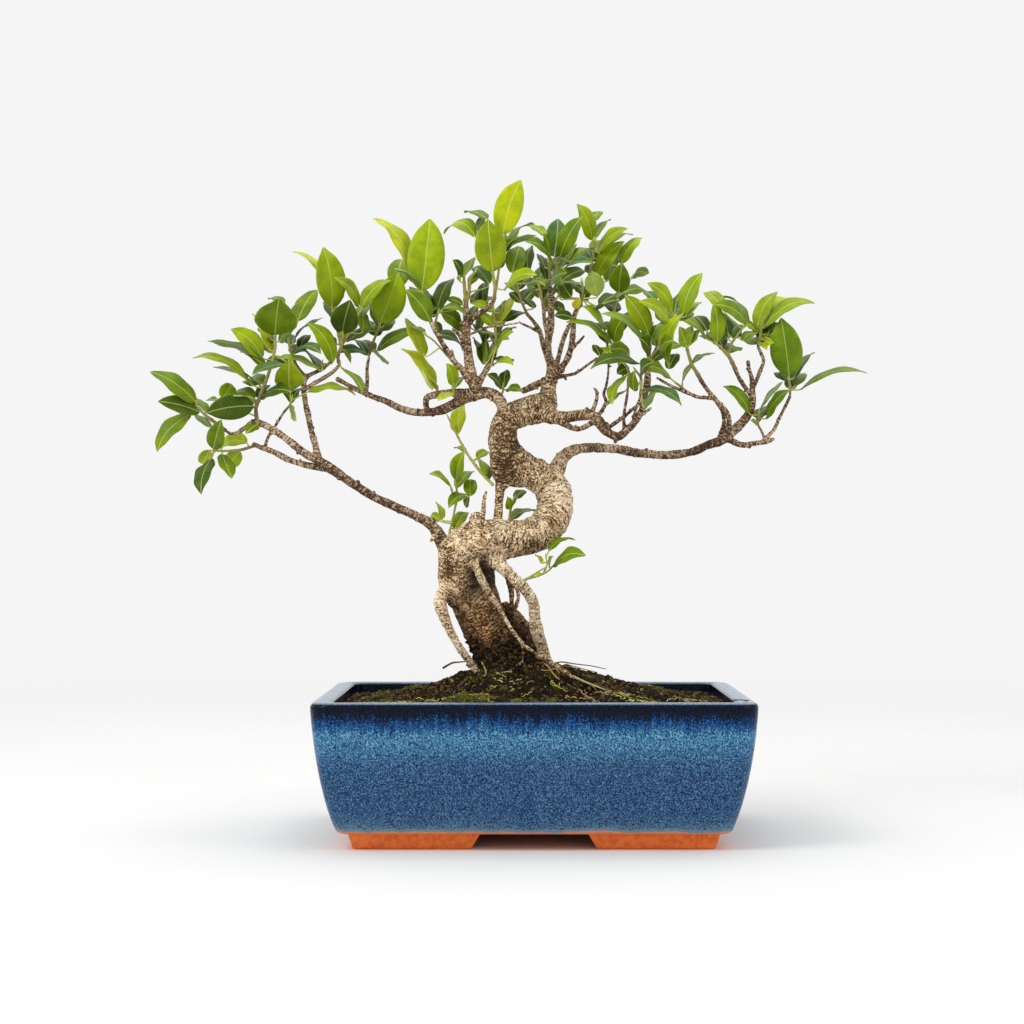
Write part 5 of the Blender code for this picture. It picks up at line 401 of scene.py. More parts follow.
def leaf_shape(row, root, y_base, dy_tip):
    """One leaf worked out from its row: where its petiole, blade and tip lie and which way it faces, mm."""
    bu, bv, tu, tv, w, tone, rise, dy, way = row
    base = sight(bu, bv, y_base)
    flat = sight(tu, tv, y_base)
    seen = (flat - base).length
    true = seen * 1.02 if seen > 34 else min(34.0, seen * 1.22 + 4.0)
    if abs(way) > 1:                # a leaf that grows straight towards the front or the back
        true = max(true, 33.0)
    y_tip = y_base + math.copysign(1.0, way) * math.sqrt(max(true * true - seen * seen, 0.0)) + dy_tip
    tip = sight(tu, tv, y_tip)
    axis = (tip - base)
    length = axis.length
    axis = axis / length
    eye = (base + tip) / 2 - Vector(STATION)
    eye.normalize()
    front = (-eye) - axis * (-eye).dot(axis)
    if front.length < 1e-4:
        front = Vector((0, -1, 0))
    front.normalize()
    side = axis.cross(front)
    w_mm = w * scale_at(y_base)
    width = max(w_mm, 0.44 * min(length, 40.0), 3.2)
    roll = math.acos(max(0.0, min(1.0, w_mm / width)))
    best = None
    for s in (1.0, -1.0):
        n = front * math.cos(roll) + side * (s * math.sin(roll))
        score = n.z * (-1.0 if tone in "gp" else 1.0)
        if best is None or score > best[0]:
            best = (score, n)
    normal = best[1].normalized()
    across = axis.cross(normal).normalized()
    over = Vector((0, 0, 1)) - axis * axis.z - eye * (eye.z - axis.z * axis.dot(eye))
    over = over - axis * over.dot(axis)
    arch = over.normalized() * (rise * scale_at(y_base)) if over.length > 0.05 else Vector((-rise * scale_at(y_base), 0, 0))
    return {"root": root, "base": base, "tip": tip, "axis": axis, "normal": normal, "across": across, "arch": arch, "width": width, "length": length, "tone": tone}


def leaf_mid(s, t):
    """A point on the midrib."""
    return s["base"].lerp(s["tip"], t) + s["arch"] * (4 * t * (1 - t)) + s["normal"] * (s["length"] * 0.05 * 4 * t * (1 - t) * (1.0 if s["tone"] not in "gp" else -1.0))


def leaf_block(s, stalk=0.75):
    """The leaf as plain closed solids: a three-sided petiole, growing from a point inside the stem, that opens into a keeled
    blade. Where the petiole bends back sharply it is a solid of its own, sunk into the blade's base."""
    rows = [(s["base"], stalk * 2.2, stalk * 1.3)]
    for t, w in (((0.30, 0.86), (0.68, 0.88)) if s["length"] > 34 else ((0.45, 1.0),)):
        rows.append((leaf_mid(s, t), s["width"] * w, 0.9))
    start = s["root"]
    bend = s["base"] - start
    extra = []
    if bend.length < 1.0:
        start = s["base"] - s["axis"] * 1.0
    elif bend.normalized().dot(s["axis"]) < 0.35:
        d = bend.normalized()
        a = d.cross(s["normal"])
        a = a.normalized() if a.length > 0.1 else d.cross(s["across"]).normalized()
        n = a.cross(d)
        pv = []
        for p in (start, s["base"] + d * 0.3 + s["axis"] * 0.5):
            pv += [p - a * stalk + n * (stalk * 0.5), p + a * stalk + n * (stalk * 0.5), p - n * stalk]
        extra = [(pv, [(2, 1, 0), (3, 4, 5), (0, 1, 4, 3), (1, 2, 5, 4), (2, 0, 3, 5)])]
        start = s["base"] - s["axis"] * 1.0
    verts, faces = [start], [(0, 2, 1), (0, 3, 2), (0, 1, 3)]
    for p, w, h in rows:
        verts += [p - s["across"] * (w / 2) + s["normal"] * (h * 0.3), p + s["across"] * (w / 2) + s["normal"] * (h * 0.3), p - s["normal"] * (h * 0.7)]
    for i in range(len(rows) - 1):
        for k in range(3):
            k2 = (k + 1) % 3
            faces.append((1 + 3 * i + k, 1 + 3 * i + k2, 4 + 3 * i + k2, 4 + 3 * i + k))
    j = 1 + 3 * (len(rows) - 1)
    tip = len(verts)
    verts.append(s["tip"])
    for k in range(3):
        faces.append((j + k, j + (k + 1) % 3, tip))
    return [(verts, faces)] + extra


def joined(parts):
    verts, faces = [], []
    for v, f in parts:
        faces += [tuple(i + len(verts) for i in face) for face in f]
        verts += v
    return verts, faces


TIP_TRIES = (0, 5, -5, 10, -10, 15, -15, 20, -20, 26, -26, 33, -33, 40, -40, 48, -48)
STEM_STEP = 16.0                   # mm between the rings of a stem
BASE_TRIES = (0, 4, -4, 8, -8, 13, -13)


def place_leaves(wood_tubes):
    """Each leaf in turn, its tip swung nearer or farther until it clears the wood and the leaves of other shoots.
    Returns {shoot: [leaf, ...]} and how many were left out because nothing cleared."""
    fixed = [(None, box_of(v), bvh(v, f)) for v, f in wood_tubes]
    stems = {name: [smooth_path(path_mm(p), STEM_STEP) for p in paths] for name, (paths, _) in SHOOTS.items()}
    for name, paths in stems.items():
        for p in paths:
            v, f = tube(p, 4, 0.4)
            fixed.append((name, box_of(v), bvh(v, f)))
    bark = [(p, r) for rows in WOOD.values() for path in rows for p, r in smooth_path(path_mm(path), 4.0)]

    def clear_of_wood(q):
        return all((q - p).length_squared > (r + 1.3) ** 2 for p, r in bark)

    placed, dropped = {}, []
    for name, (_, rows) in SHOOTS.items():
        placed[name] = []
        along = []
        for p in stems[name]:
            for (a, _), (b, _) in zip(p, p[1:]):
                along += [a.lerp(b, k / 8) for k in range(9)]
        along = [(q, seen_at(q)) for q in along if clear_of_wood(q)] or [(q, seen_at(q)) for q in along[-1:]]
        for row in rows:
            bu, bv, tu, tv = row[:4]
            ln = math.hypot(tu - bu, tv - bv) or 1.0
            du, dv = (tu - bu) / ln, (tv - bv) / ln

            def cost(item):  # the nearest place on the shoot, and rather behind the blade than ahead of it
                (u, v) = item[1]
                return math.hypot(u - bu, v - bv) + 0.8 * max(0.0, (u - bu) * du + (v - bv) * dv)

            root = min(along, key=cost)[0]
            done = None
            for db in BASE_TRIES:
                for dt in TIP_TRIES:
                    s = leaf_shape(row, root, root.y + row[7] + db, dt)
                    parts = leaf_block(s)
                    v, f = joined(parts)
                    bb = box_of(v)
                    tree = bvh(v, f)
                    if all(who == name or not boxes_meet(bb, b) or not tree.overlap(t) for who, b, t in fixed):
                        done = (s, parts, bb, tree)
                        break
                if done:
                    break
            if done is None:
                dropped.append((name, row))
                continue
            placed[name].append((done[0], done[1]))
            fixed.append((name, done[2], done[3]))
    return stems, placed, dropped

# ---------------------------------------------------------------- from the pot's own frame, mm, to the row frame, m
_low, _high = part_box("pot")
SHIFT = Vector(((_low[0] + _high[0]) / 2, (_low[1] + _high[1]) / 2, _low[2]))


# ---------------------------------------------------------------- noise
def _lattice(i, j, k, seed):
    h = (i * 73856093) ^ (j * 19349663) ^ (k * 83492791) ^ (seed * 2654435761)
    h = (h ^ (h >> 13)) & 0xFFFFFFFF
    h = (h * 1274126177) & 0xFFFFFFFF
    h = (h ^ (h >> 16)) & 0xFFFFFFFF
    h = (h * 2246822519) & 0xFFFFFFFF
    return ((h ^ (h >> 15)) & 0xFFFFFF) / float(0xFFFFFF) * 2 - 1


def noise(p, seed=0):
    """Smooth noise from -1 to 1 at each row of p."""
    p = np.asarray(p, float)
    base = np.floor(p).astype(np.int64)
    f = p - base
    f = f * f * (3 - 2 * f)
    out = np.zeros(len(p))
    for a in (0, 1):
        for b in (0, 1):
            for c in (0, 1):
                w = (f[:, 0] if a else 1 - f[:, 0]) * (f[:, 1] if b else 1 - f[:, 1]) * (f[:, 2] if c else 1 - f[:, 2])
                out += w * _lattice(base[:, 0] + a, base[:, 1] + b, base[:, 2] + c, seed)
    return out


def fbm(p, octaves=3, seed=0):
    out, amp, total = np.zeros(len(p)), 1.0, 0.0
    q = np.asarray(p, float)
    for o in range(octaves):
        out += amp * noise(q + 17.3 * o, seed + 31 * o)
        total += amp
        amp *= 0.5
        q = q * 2.03
    return out / total


def ease(x, a, b):
    t = np.clip((x - a) / (b - a), 0, 1)
    return t * t * (3 - 2 * t)


# ---------------------------------------------------------------- pieces
def make(name, verts, faces, looks, stands_for=(), slot=None, attrs=None, colours=None, face_looks=None, smooth=True):
    """A finished piece from points in mm of the pot's frame."""
    me = bpy.data.meshes.new(name)
    pts = np.asarray([tuple(v) for v in verts] if not isinstance(verts, np.ndarray) else verts, float) * 0.001 + np.array(SHIFT)
    me.from_pydata(pts.tolist(), [], faces if isinstance(faces, list) else faces.tolist())
    for m in looks:
        me.materials.append(m)
    if face_looks is not None:
        me.polygons.foreach_set("material_index", np.asarray(face_looks, np.int32))
    me.polygons.foreach_set("use_smooth", np.full(len(me.polygons), smooth))
    for key, values in (attrs or {}).items():
        a = me.attributes.new(key, "FLOAT", "POINT")
        a.data.foreach_set("value", np.asarray(values, np.float32))
    for key, values in (colours or {}).items():
        a = me.attributes.new(key, "FLOAT_COLOR", "POINT")
        c = np.ones((len(me.vertices), 4), np.float32)
        c[:, :3] = np.asarray(values, np.float32)
        a.data.foreach_set("color", c.reshape(-1))
    me.update()
    ob = bpy.data.objects.new(name, me)
    bpy.context.scene.collection.objects.link(ob)
    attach(ob, "root")
    if stands_for:
        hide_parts(*stands_for)
    return ob


class Heap:
    """Gathers shapes into one mesh, with values carried on each point."""

    def __init__(self):
        self.v, self.f, self.look, self.a, self.c = [], [], [], {}, {}

    def add(self, verts, faces, look=0, attrs=None, colours=None):
        n = len(self.v)
        self.v += [tuple(v) for v in verts]
        self.f += [tuple(int(i) + n for i in f) for f in faces]
        self.look += [look] * len(faces)
        for k, vals in (attrs or {}).items():
            self.a.setdefault(k, []).extend([float(x) for x in vals] if hasattr(vals, "__len__") else [float(vals)] * len(verts))
        for k, vals in (colours or {}).items():
            vals = [tuple(vals)] * len(verts) if not hasattr(vals[0], "__len__") else [tuple(x) for x in vals]
            self.c.setdefault(k, []).extend(vals)

    def piece(self, name, looks, **more):
        return make(name, self.v, self.f, looks, attrs=self.a, colours=self.c, face_looks=self.look, **more)


def remeshed(parts, voxel):
    """The union of closed shapes, worked out on a grid of voxel mm. Returns (points, quads)."""
    verts, faces = joined(parts)
    me = bpy.data.meshes.new("grid_form")
    me.from_pydata([tuple(v) for v in verts], [], faces)
    ob = bpy.data.objects.new("grid_form", me)
    bpy.context.scene.collection.objects.link(ob)
    m = ob.modifiers.new("grid", "REMESH")
    m.mode = "VOXEL"
    m.voxel_size = voxel
    m.adaptivity = 0.0
    graph = bpy.context.evaluated_depsgraph_get()
    done = bpy.data.meshes.new_from_object(ob.evaluated_get(graph))
    p = np.empty(len(done.vertices) * 3)
    done.vertices.foreach_get("co", p)
    q = [tuple(f.vertices) for f in done.polygons]
    bpy.data.objects.remove(ob, do_unlink=True)
    bpy.data.meshes.remove(done)
    bpy.data.meshes.remove(me)
    return p.reshape(-1, 3), q


def normals_of(p, faces):
    quads = np.array([f if len(f) == 4 else (f[0], f[1], f[2], f[2]) for f in faces])
    n = np.cross(p[quads[:, 2]] - p[quads[:, 0]], p[quads[:, 3]] - p[quads[:, 1]])
    tri = quads[:, 2] == quads[:, 3]
    n[tri] = np.cross(p[quads[tri, 1]] - p[quads[tri, 0]], p[quads[tri, 2]] - p[quads[tri, 0]])
    out = np.zeros_like(p)
    for k in range(4):
        np.add.at(out, quads[:, k], n)
    return out / np.maximum(np.linalg.norm(out, axis=1, keepdims=True), 1e-9), quads


def even(x, quads, rounds):
    """Values on the points evened out over the surface."""
    return relaxed(np.stack([x, x, x], 1), quads, rounds, 0.35)[:, 0]


def relaxed(p, quads, rounds, keep=0.5):
    """Points drawn part of the way towards the middle of their neighbours."""
    for _ in range(rounds):
        total, count = np.zeros_like(p), np.zeros(len(p))
        for k in range(4):
            a, b = quads[:, k], quads[:, (k + 1) % 4]
            ok = a != b
            np.add.at(total, a[ok], p[b[ok]])
            np.add.at(count, a[ok], 1)
            np.add.at(total, b[ok], p[a[ok]])
            np.add.at(count, b[ok], 1)
        p = p * keep + (1 - keep) * total / np.maximum(count, 1)[:, None]
    return p


# ---------------------------------------------------------------- materials
class Nodes:
    def __init__(self, name):
        self.m = bpy.data.materials.new(name)
        self.m.use_nodes = True
        self.t = self.m.node_tree
        self.b = self.t.nodes["Principled BSDF"]
        self.where = self.t.nodes.new("ShaderNodeTexCoord").outputs["Object"]

    def link(self, a, b):
        self.t.links.new(a, b)

    def put(self, socket, value):
        if isinstance(value, bpy.types.NodeSocket):
            self.link(value, socket)
        elif value is not None:
            socket.default_value = value if not isinstance(value, tuple) or len(value) != 3 or socket.type == "VECTOR" else (*value, 1.0)

    def scaled(self, sx, sy=None, sz=None, source=None):
        n = self.t.nodes.new("ShaderNodeMapping")
        n.inputs["Scale"].default_value = (sx, sy if sy is not None else sx, sz if sz is not None else sx)
        self.link(source or self.where, n.inputs["Vector"])
        return n.outputs[0]

    def noise(self, vector, scale=1.0, detail=4.0, rough=0.55, warp=0.0):
        n = self.t.nodes.new("ShaderNodeTexNoise")
        self.link(vector, n.inputs["Vector"])
        n.inputs["Scale"].default_value = scale
        n.inputs["Detail"].default_value = detail
        n.inputs["Roughness"].default_value = rough
        n.inputs["Distortion"].default_value = warp
        return n.outputs["Fac"]

    def cells(self, vector, scale=1.0, feature="F1", out="Distance"):
        n = self.t.nodes.new("ShaderNodeTexVoronoi")
        n.feature = feature
        self.link(vector, n.inputs["Vector"])
        n.inputs["Scale"].default_value = scale
        return n.outputs[out]

    def attr(self, name, kind="Fac"):
        n = self.t.nodes.new("ShaderNodeAttribute")
        n.attribute_name = name
        return n.outputs[kind]

    def math(self, op, a, b=None, c=None, clamp=False):
        n = self.t.nodes.new("ShaderNodeMath")
        n.operation = op
        n.use_clamp = clamp
        for k, x in enumerate((a, b, c)):
            if x is not None:
                self.put(n.inputs[k], x)
        return n.outputs[0]

    def step(self, x, a, b, lo=0.0, hi=1.0):
        n = self.t.nodes.new("ShaderNodeMapRange")
        n.interpolation_type = "SMOOTHSTEP"
        self.put(n.inputs["Value"], x)
        for key, v in (("From Min", a), ("From Max", b), ("To Min", lo), ("To Max", hi)):
            n.inputs[key].default_value = v
        return n.outputs["Result"]

    def mix(self, fac, a, b, mode="MIX"):
        n = self.t.nodes.new("ShaderNodeMix")
        n.data_type = "RGBA"
        n.blend_type = mode
        self.put(n.inputs[0], fac)
        self.put(n.inputs[6], a)
        self.put(n.inputs[7], b)
        return n.outputs[2]

    def ramp(self, fac, stops):
        n = self.t.nodes.new("ShaderNodeValToRGB")
        self.link(fac, n.inputs[0])
        el = n.color_ramp.elements
        while len(el) > 1:
            el.remove(el[-1])
        el[0].position, el[0].color = stops[0][0], (*stops[0][1], 1)
        for pos, col in stops[1:]:
            e = el.new(pos)
            e.color = (*col, 1)
        return n.outputs[0]

    def axes(self):
        n = self.t.nodes.new("ShaderNodeSeparateXYZ")
        self.link(self.where, n.inputs[0])
        return n.outputs

    def bump(self, height, strength, distance):
        n = self.t.nodes.new("ShaderNodeBump")
        n.inputs["Strength"].default_value = strength
        n.inputs["Distance"].default_value = distance
        self.link(height, n.inputs["Height"])
        self.link(n.outputs[0], self.b.inputs["Normal"])

    def set(self, **values):
        for key, v in values.items():
            self.put(self.b.inputs[key.replace("_", " ")], v)
        return self.m


def srgb(r, g, b):
    return tuple((c / 255 / 12.92) if c <= 10.3 else ((c / 255 + 0.055) / 1.055) ** 2.4 for c in (r, g, b))


def bark_look():
    """Ringed, speckled bark, with painted shade in its ring grooves. shade is how dark and how closely speckled it is,
    partly the bark's own tone and partly painted shade and light, thin tells branches from the trunk, ring runs along
    the wood in mm, and the dirt value carries earth near the soil together with near-black painted shade in the hollows
    and recesses of the lower trunk, and darkens the back of the low trunk."""
    n = Nodes("bark")
    thin, groove, dirt_and_shade, warm, shade, ring = (n.attr(k) for k in ("thin", "groove", "dirt_and_shade", "warm", "shade", "ring"))
    run = n.t.nodes.new("ShaderNodeCombineXYZ")
    for k, f in enumerate((0.62, 0.40, -0.52)):
        n.link(n.math("MULTIPLY", ring, f), run.inputs[k])
    both = n.t.nodes.new("ShaderNodeVectorMath")
    both.operation = "ADD"
    n.link(n.scaled(190), both.inputs[0])
    n.link(run.outputs[0], both.inputs[1])
    wrinkle = n.noise(both.outputs[0], detail=3, rough=0.6, warp=0.4)
    big = n.noise(n.scaled(70), detail=3)
    spots = n.noise(n.scaled(700), detail=2, rough=0.58)
    fine = n.noise(n.scaled(1300), detail=3, rough=0.7)
    both_dark = n.math("ADD", n.math("MULTIPLY", spots, 0.48), n.math("MULTIPLY", wrinkle, 0.52))
    both_dark = n.math("ADD", both_dark, n.math("MULTIPLY", n.math("SUBTRACT", shade, 0.5), 0.15))
    both_dark = n.math("ADD", both_dark, n.math("MULTIPLY", n.math("SUBTRACT", fine, 0.5), 0.16))
    both_dark = n.math("ADD", both_dark, n.math("MULTIPLY", n.math("SUBTRACT", big, 0.5), 0.16))
    holes = n.step(both_dark, 0.488, 0.548)
    crest = n.step(both_dark, 0.474, 0.410)
    mid = n.mix(shade, srgb(198, 164, 118), srgb(152, 118, 78))
    light = n.mix(shade, srgb(252, 236, 206), srgb(228, 200, 156))
    pale = n.mix(crest, mid, light)
    pale = n.mix(n.math("MULTIPLY", holes, 0.92), pale, n.mix(shade, srgb(62, 40, 22), srgb(38, 25, 15)))
    # The ring grooves are darkened: painted shade in the creases.
    pale = n.mix(n.math("MULTIPLY", groove, 0.45), pale, srgb(70, 48, 30))
    pale = n.mix(n.math("MULTIPLY", warm, 0.55), pale, n.mix(1.0, pale, srgb(250, 198, 138), "MULTIPLY"))
    brown = n.mix(crest, n.mix(shade, srgb(146, 116, 88), srgb(112, 84, 62)), n.mix(shade, srgb(218, 196, 164), srgb(176, 148, 116)))
    brown = n.mix(n.math("MULTIPLY", holes, 0.9), brown, srgb(56, 38, 27))
    # The same painted shade in the ring grooves of the thin brown bark.
    brown = n.mix(n.math("MULTIPLY", groove, 0.40), brown, srgb(50, 34, 24))
    colour = n.mix(thin, pale, brown)
    # Earth near the soil, and the same near-black colour laid on as painted shade in the hollows and recesses of the
    # lower trunk.
    earth = n.mix(n.step(n.noise(n.scaled(480), detail=4, rough=0.6), 0.50, 0.64), srgb(14, 10, 6), srgb(70, 54, 26))
    colour = n.mix(n.math("MULTIPLY", dirt_and_shade, n.step(fine, 0.30, 0.52, 1.0, 0.86)), colour, earth)
    height = n.math("ADD", n.math("MULTIPLY", both_dark, -2.0), n.math("MULTIPLY", fine, 0.35))
    n.bump(height, 0.9, 0.0013)
    return n.set(Base_Color=colour, Roughness=n.step(fine, 0.3, 0.7, 0.72, 0.92), Specular_IOR_Level=0.22)


def leaf_look():
    """A waxy blade: pale midrib, faint side veins, and a duller, paler underside. tint is the blade's colour; for the
    dark and bright tones it paints shade on shaded blades and light on lit ones.
    """
    n = Nodes("leaf")
    tint, rib, along, under, edge = n.attr("tint", "Color"), n.attr("rib"), n.attr("along"), n.attr("under"), n.attr("edge")
    patch = n.noise(n.scaled(80), detail=3)
    fine = n.noise(n.scaled(700), detail=3)
    dark = n.mix(1.0, tint, (0.72, 0.76, 0.72), "MULTIPLY")
    light = n.mix(1.0, tint, (1.22, 1.14, 1.1), "MULTIPLY")
    colour = n.mix(n.step(patch, 0.34, 0.68), dark, light)
    colour = n.mix(n.step(fine, 0.40, 0.70, 0.0, 0.14), colour, light)
    wander = n.math("MULTIPLY", n.math("SUBTRACT", n.noise(n.scaled(160), detail=2), 0.5), 3.0)
    phase = n.math("ADD", n.math("SUBTRACT", along, n.math("MULTIPLY", rib, 0.55)), wander)
    lines = n.math("SINE", n.math("MULTIPLY", phase, 2.3))
    veins = n.math("MULTIPLY", n.step(lines, 0.80, 1.0, 0.0, 0.13), n.step(rib, 0.3, 1.2))
    colour = n.mix(veins, colour, n.mix(0.55, tint, srgb(205, 215, 120)))
    colour = n.mix(n.step(rib, 0.55, 0.22, 0.0, 0.70), colour, n.mix(0.60, tint, srgb(214, 218, 128)))
    colour = n.mix(n.step(edge, 0.90, 1.0, 0.0, 0.45), colour, n.mix(0.45, tint, srgb(214, 216, 110)))
    below = n.mix(0.42, tint, srgb(138, 158, 92))
    below = n.mix(n.step(rib, 0.75, 0.3, 0.0, 0.6), below, srgb(198, 204, 130))
    colour = n.mix(under, colour, below)
    n.bump(n.math("ADD", n.math("MULTIPLY", lines, n.step(rib, 0.4, 1.4, 0.0, 0.035)), n.math("MULTIPLY", fine, 0.22)), 0.5, 0.0004)
    n.b.inputs["Subsurface Weight"].default_value = 0.10
    n.b.inputs["Subsurface Radius"].default_value = (0.6, 1.0, 0.1)
    n.b.inputs["Subsurface Scale"].default_value = 0.0012
    return n.set(Base_Color=colour, Roughness=n.mix(under, n.step(patch, 0.3, 0.7, 0.34, 0.44), (0.6, 0.6, 0.6)), Specular_IOR_Level=0.13)


def stem_look():
    n = Nodes("stem")
    tint = n.attr("tint", "Color")
    spots = n.step(n.noise(n.scaled(900), detail=3, rough=0.7), 0.52, 0.66)
    colour = n.mix(n.math("MULTIPLY", spots, 0.55), tint, n.mix(0.5, tint, srgb(92, 66, 44)))
    colour = n.mix(n.step(n.noise(n.scaled(260), detail=3), 0.5, 0.7, 0.0, 0.4), colour, n.mix(0.5, tint, srgb(196, 178, 120)))
    n.bump(n.noise(n.scaled(1300), detail=3), 0.5, 0.0004)
    return n.set(Base_Color=colour, Roughness=n.step(spots, 0.0, 1.0, 0.5, 0.7))


def glaze_look():
    """Runny blue glaze over terracotta: a navy band under the rim that breaks into bright drips, a milky mottled zone, deep
    blue below, and bare clay on the feet and on an uneven band above them. The whole glaze is finely curdled."""
    n = Nodes("pot_glaze")
    x, y, z = n.axes()
    up = n.math("MULTIPLY", n.math("SUBTRACT", z, float(SHIFT.z)), 1000.0)           # mm above the table
    runs = n.noise(n.scaled(330, 330, 30), detail=3, rough=0.6)
    broad = n.noise(n.scaled(30, 30, 22), detail=3)
    fine = n.noise(n.scaled(1500, 1500, 1150), detail=2, rough=0.6)
    grain = n.noise(n.scaled(560, 560, 430), detail=3, rough=0.65)
    curd = n.noise(n.scaled(1050, 1050, 880), detail=2, rough=0.45, warp=0.1)
    level = n.math("ADD", up, n.math("MULTIPLY", n.math("SUBTRACT", runs, 0.5), n.step(up, 60.0, 86.0, 4.0, 17.0)))
    level = n.math("ADD", level, n.math("MULTIPLY", n.math("SUBTRACT", broad, 0.5), 10.0))
    level = n.math("ADD", level, n.math("MULTIPLY", n.math("SUBTRACT", grain, 0.5), n.step(up, 60.0, 86.0, 4.0, 11.0)))
    band = n.ramp(n.math("DIVIDE", level, 105.0, clamp=True), [
        (0.10, srgb(104, 128, 146)), (0.15, srgb(84, 112, 136)), (0.20, srgb(52, 84, 120)), (0.28, srgb(34, 68, 112)), (0.48, srgb(30, 66, 108)), (0.60, srgb(32, 72, 114)),
        (0.70, srgb(46, 98, 138)), (0.78, srgb(54, 112, 150)), (0.825, srgb(26, 82, 122)), (0.865, srgb(10, 46, 90)), (0.90, srgb(4, 17, 38)), (0.935, srgb(2, 4, 9)), (1.0, srgb(2, 3, 6))])
    glassy = n.step(level, 95.0, 88.0)
    light = n.mix(n.step(level, 56.0, 84.0), srgb(92, 134, 164), srgb(120, 174, 198))
    light = n.mix(n.step(level, 84.0, 89.0), light, srgb(26, 108, 188))
    band = n.mix(n.math("MULTIPLY", n.step(curd, 0.50, 0.66, 0.0, 0.80), n.step(level, 99.0, 90.0, 0.12, 1.0)), band, light)
    band = n.mix(n.math("MULTIPLY", n.step(curd, 0.47, 0.37, 0.0, 0.85), n.step(level, 98.0, 91.0, 0.5, 1.0)), band, srgb(7, 20, 46))
    band = n.mix(n.math("MULTIPLY", n.step(fine, 0.56, 0.68, 0.0, 0.5), glassy), band, n.mix(0.5, band, srgb(132, 172, 200)))
    band = n.mix(n.math("MULTIPLY", n.step(n.noise(n.scaled(110), detail=3), 0.52, 0.70, 0.0, 0.35), glassy), band, n.mix(0.6, band, srgb(20, 40, 84)))
    pits = n.step(n.cells(n.scaled(125, 125, 125)), 0.105, 0.06)
    band = n.mix(n.math("MULTIPLY", pits, 0.9), band, srgb(10, 15, 30))
    # The rim's top is painted pale blue-grey: a painted reflection of the bright surroundings, together with glaze
    # breaking pale over the edge.
    lip = n.step(n.math("ADD", up, n.math("MULTIPLY", n.math("SUBTRACT", grain, 0.5), 1.2)), 104.0, 105.1, 0.0, 0.78)
    band = n.mix(lip, band, n.mix(n.step(curd, 0.42, 0.60), srgb(88, 114, 142), srgb(142, 166, 188)))
    clay = n.mix(n.step(n.noise(n.scaled(210), detail=5, rough=0.65), 0.36, 0.68), srgb(240, 130, 66), srgb(212, 104, 50))
    clay = n.mix(n.step(n.noise(n.scaled(1400), detail=2), 0.58, 0.72, 0.0, 0.35), clay, srgb(236, 150, 98))
    pale_clay = n.mix(0.60, clay, srgb(196, 146, 122))
    clay = n.mix(n.step(up, 11.6, 12.6), clay, pale_clay)
    edge = n.math("ADD", n.math("MULTIPLY", n.math("SUBTRACT", n.noise(n.scaled(60, 60, 20), detail=3), 0.5), 5.0), 13.9)
    glazed = n.step(n.math("SUBTRACT", up, edge), -0.15, 0.35)
    thick = n.step(n.math("SUBTRACT", up, edge), 0.2, 3.4)
    band = n.mix(thick, n.mix(0.6, band, srgb(122, 150, 166)), band)
    colour = n.mix(glazed, clay, band)
    height = n.math("ADD", n.math("MULTIPLY", curd, 0.5), n.math("MULTIPLY", runs, 0.4))
    height = n.math("SUBTRACT", height, n.math("MULTIPLY", pits, 0.7))
    height = n.math("ADD", height, n.math("MULTIPLY", glazed, 0.6))
    n.bump(height, 0.40, 0.0006)
    rough = n.math("ADD", n.step(glazed, 0.0, 1.0, 0.80, 0.14), n.math("MULTIPLY", n.step(grain, 0.45, 0.75), 0.12))
    return n.set(Base_Color=colour, Roughness=rough, Specular_IOR_Level=0.11)


def soil_look():
    n = Nodes("soil_look")
    own = n.attr("tint", "Color")
    grain = n.cells(n.scaled(480), out="Color")
    shade = n.t.nodes.new("ShaderNodeSeparateColor")
    n.link(grain, shade.inputs[0])
    dark = n.mix(n.step(shade.outputs[0], 0.2, 0.9), srgb(9, 6, 3), srgb(44, 31, 18))
    dark = n.mix(n.step(shade.outputs[1], 0.84, 0.93, 0.0, 0.85), dark, srgb(134, 104, 62))
    dark = n.mix(n.step(n.noise(n.scaled(60), detail=3), 0.50, 0.68, 0.0, 0.45), dark, srgb(64, 60, 22))
    colour = n.mix(0.42, dark, own)
    n.bump(n.math("ADD", n.noise(n.scaled(700), detail=4, rough=0.7), n.cells(n.scaled(420))), 0.9, 0.0012)
    return n.set(Base_Color=colour, Roughness=n.step(shade.outputs[2], 0.0, 1.0, 0.8, 0.96), Specular_IOR_Level=0.10)


def moss_look():
    n = Nodes("moss_look")
    own = n.attr("tint", "Color")
    colour = n.mix(n.step(n.noise(n.scaled(520), detail=4, rough=0.7), 0.40, 0.66), own, n.mix(0.6, own, srgb(40, 42, 14)))
    n.bump(n.noise(n.scaled(1500), detail=3), 0.8, 0.0008)
    return n.set(Base_Color=colour, Roughness=n.step(n.noise(n.scaled(400)), 0.3, 0.7, 0.8, 0.95), Specular_IOR_Level=0.2)


def screen_look():
    n = Nodes("screen_look")
    colour = n.mix(n.step(n.noise(n.scaled(300), detail=3), 0.4, 0.6), srgb(34, 36, 38), srgb(58, 56, 52))
    n.bump(n.noise(n.scaled(2500), detail=2), 0.4, 0.0003)
    return n.set(Base_Color=colour, Roughness=n.step(n.noise(n.scaled(500)), 0.3, 0.7, 0.5, 0.65))


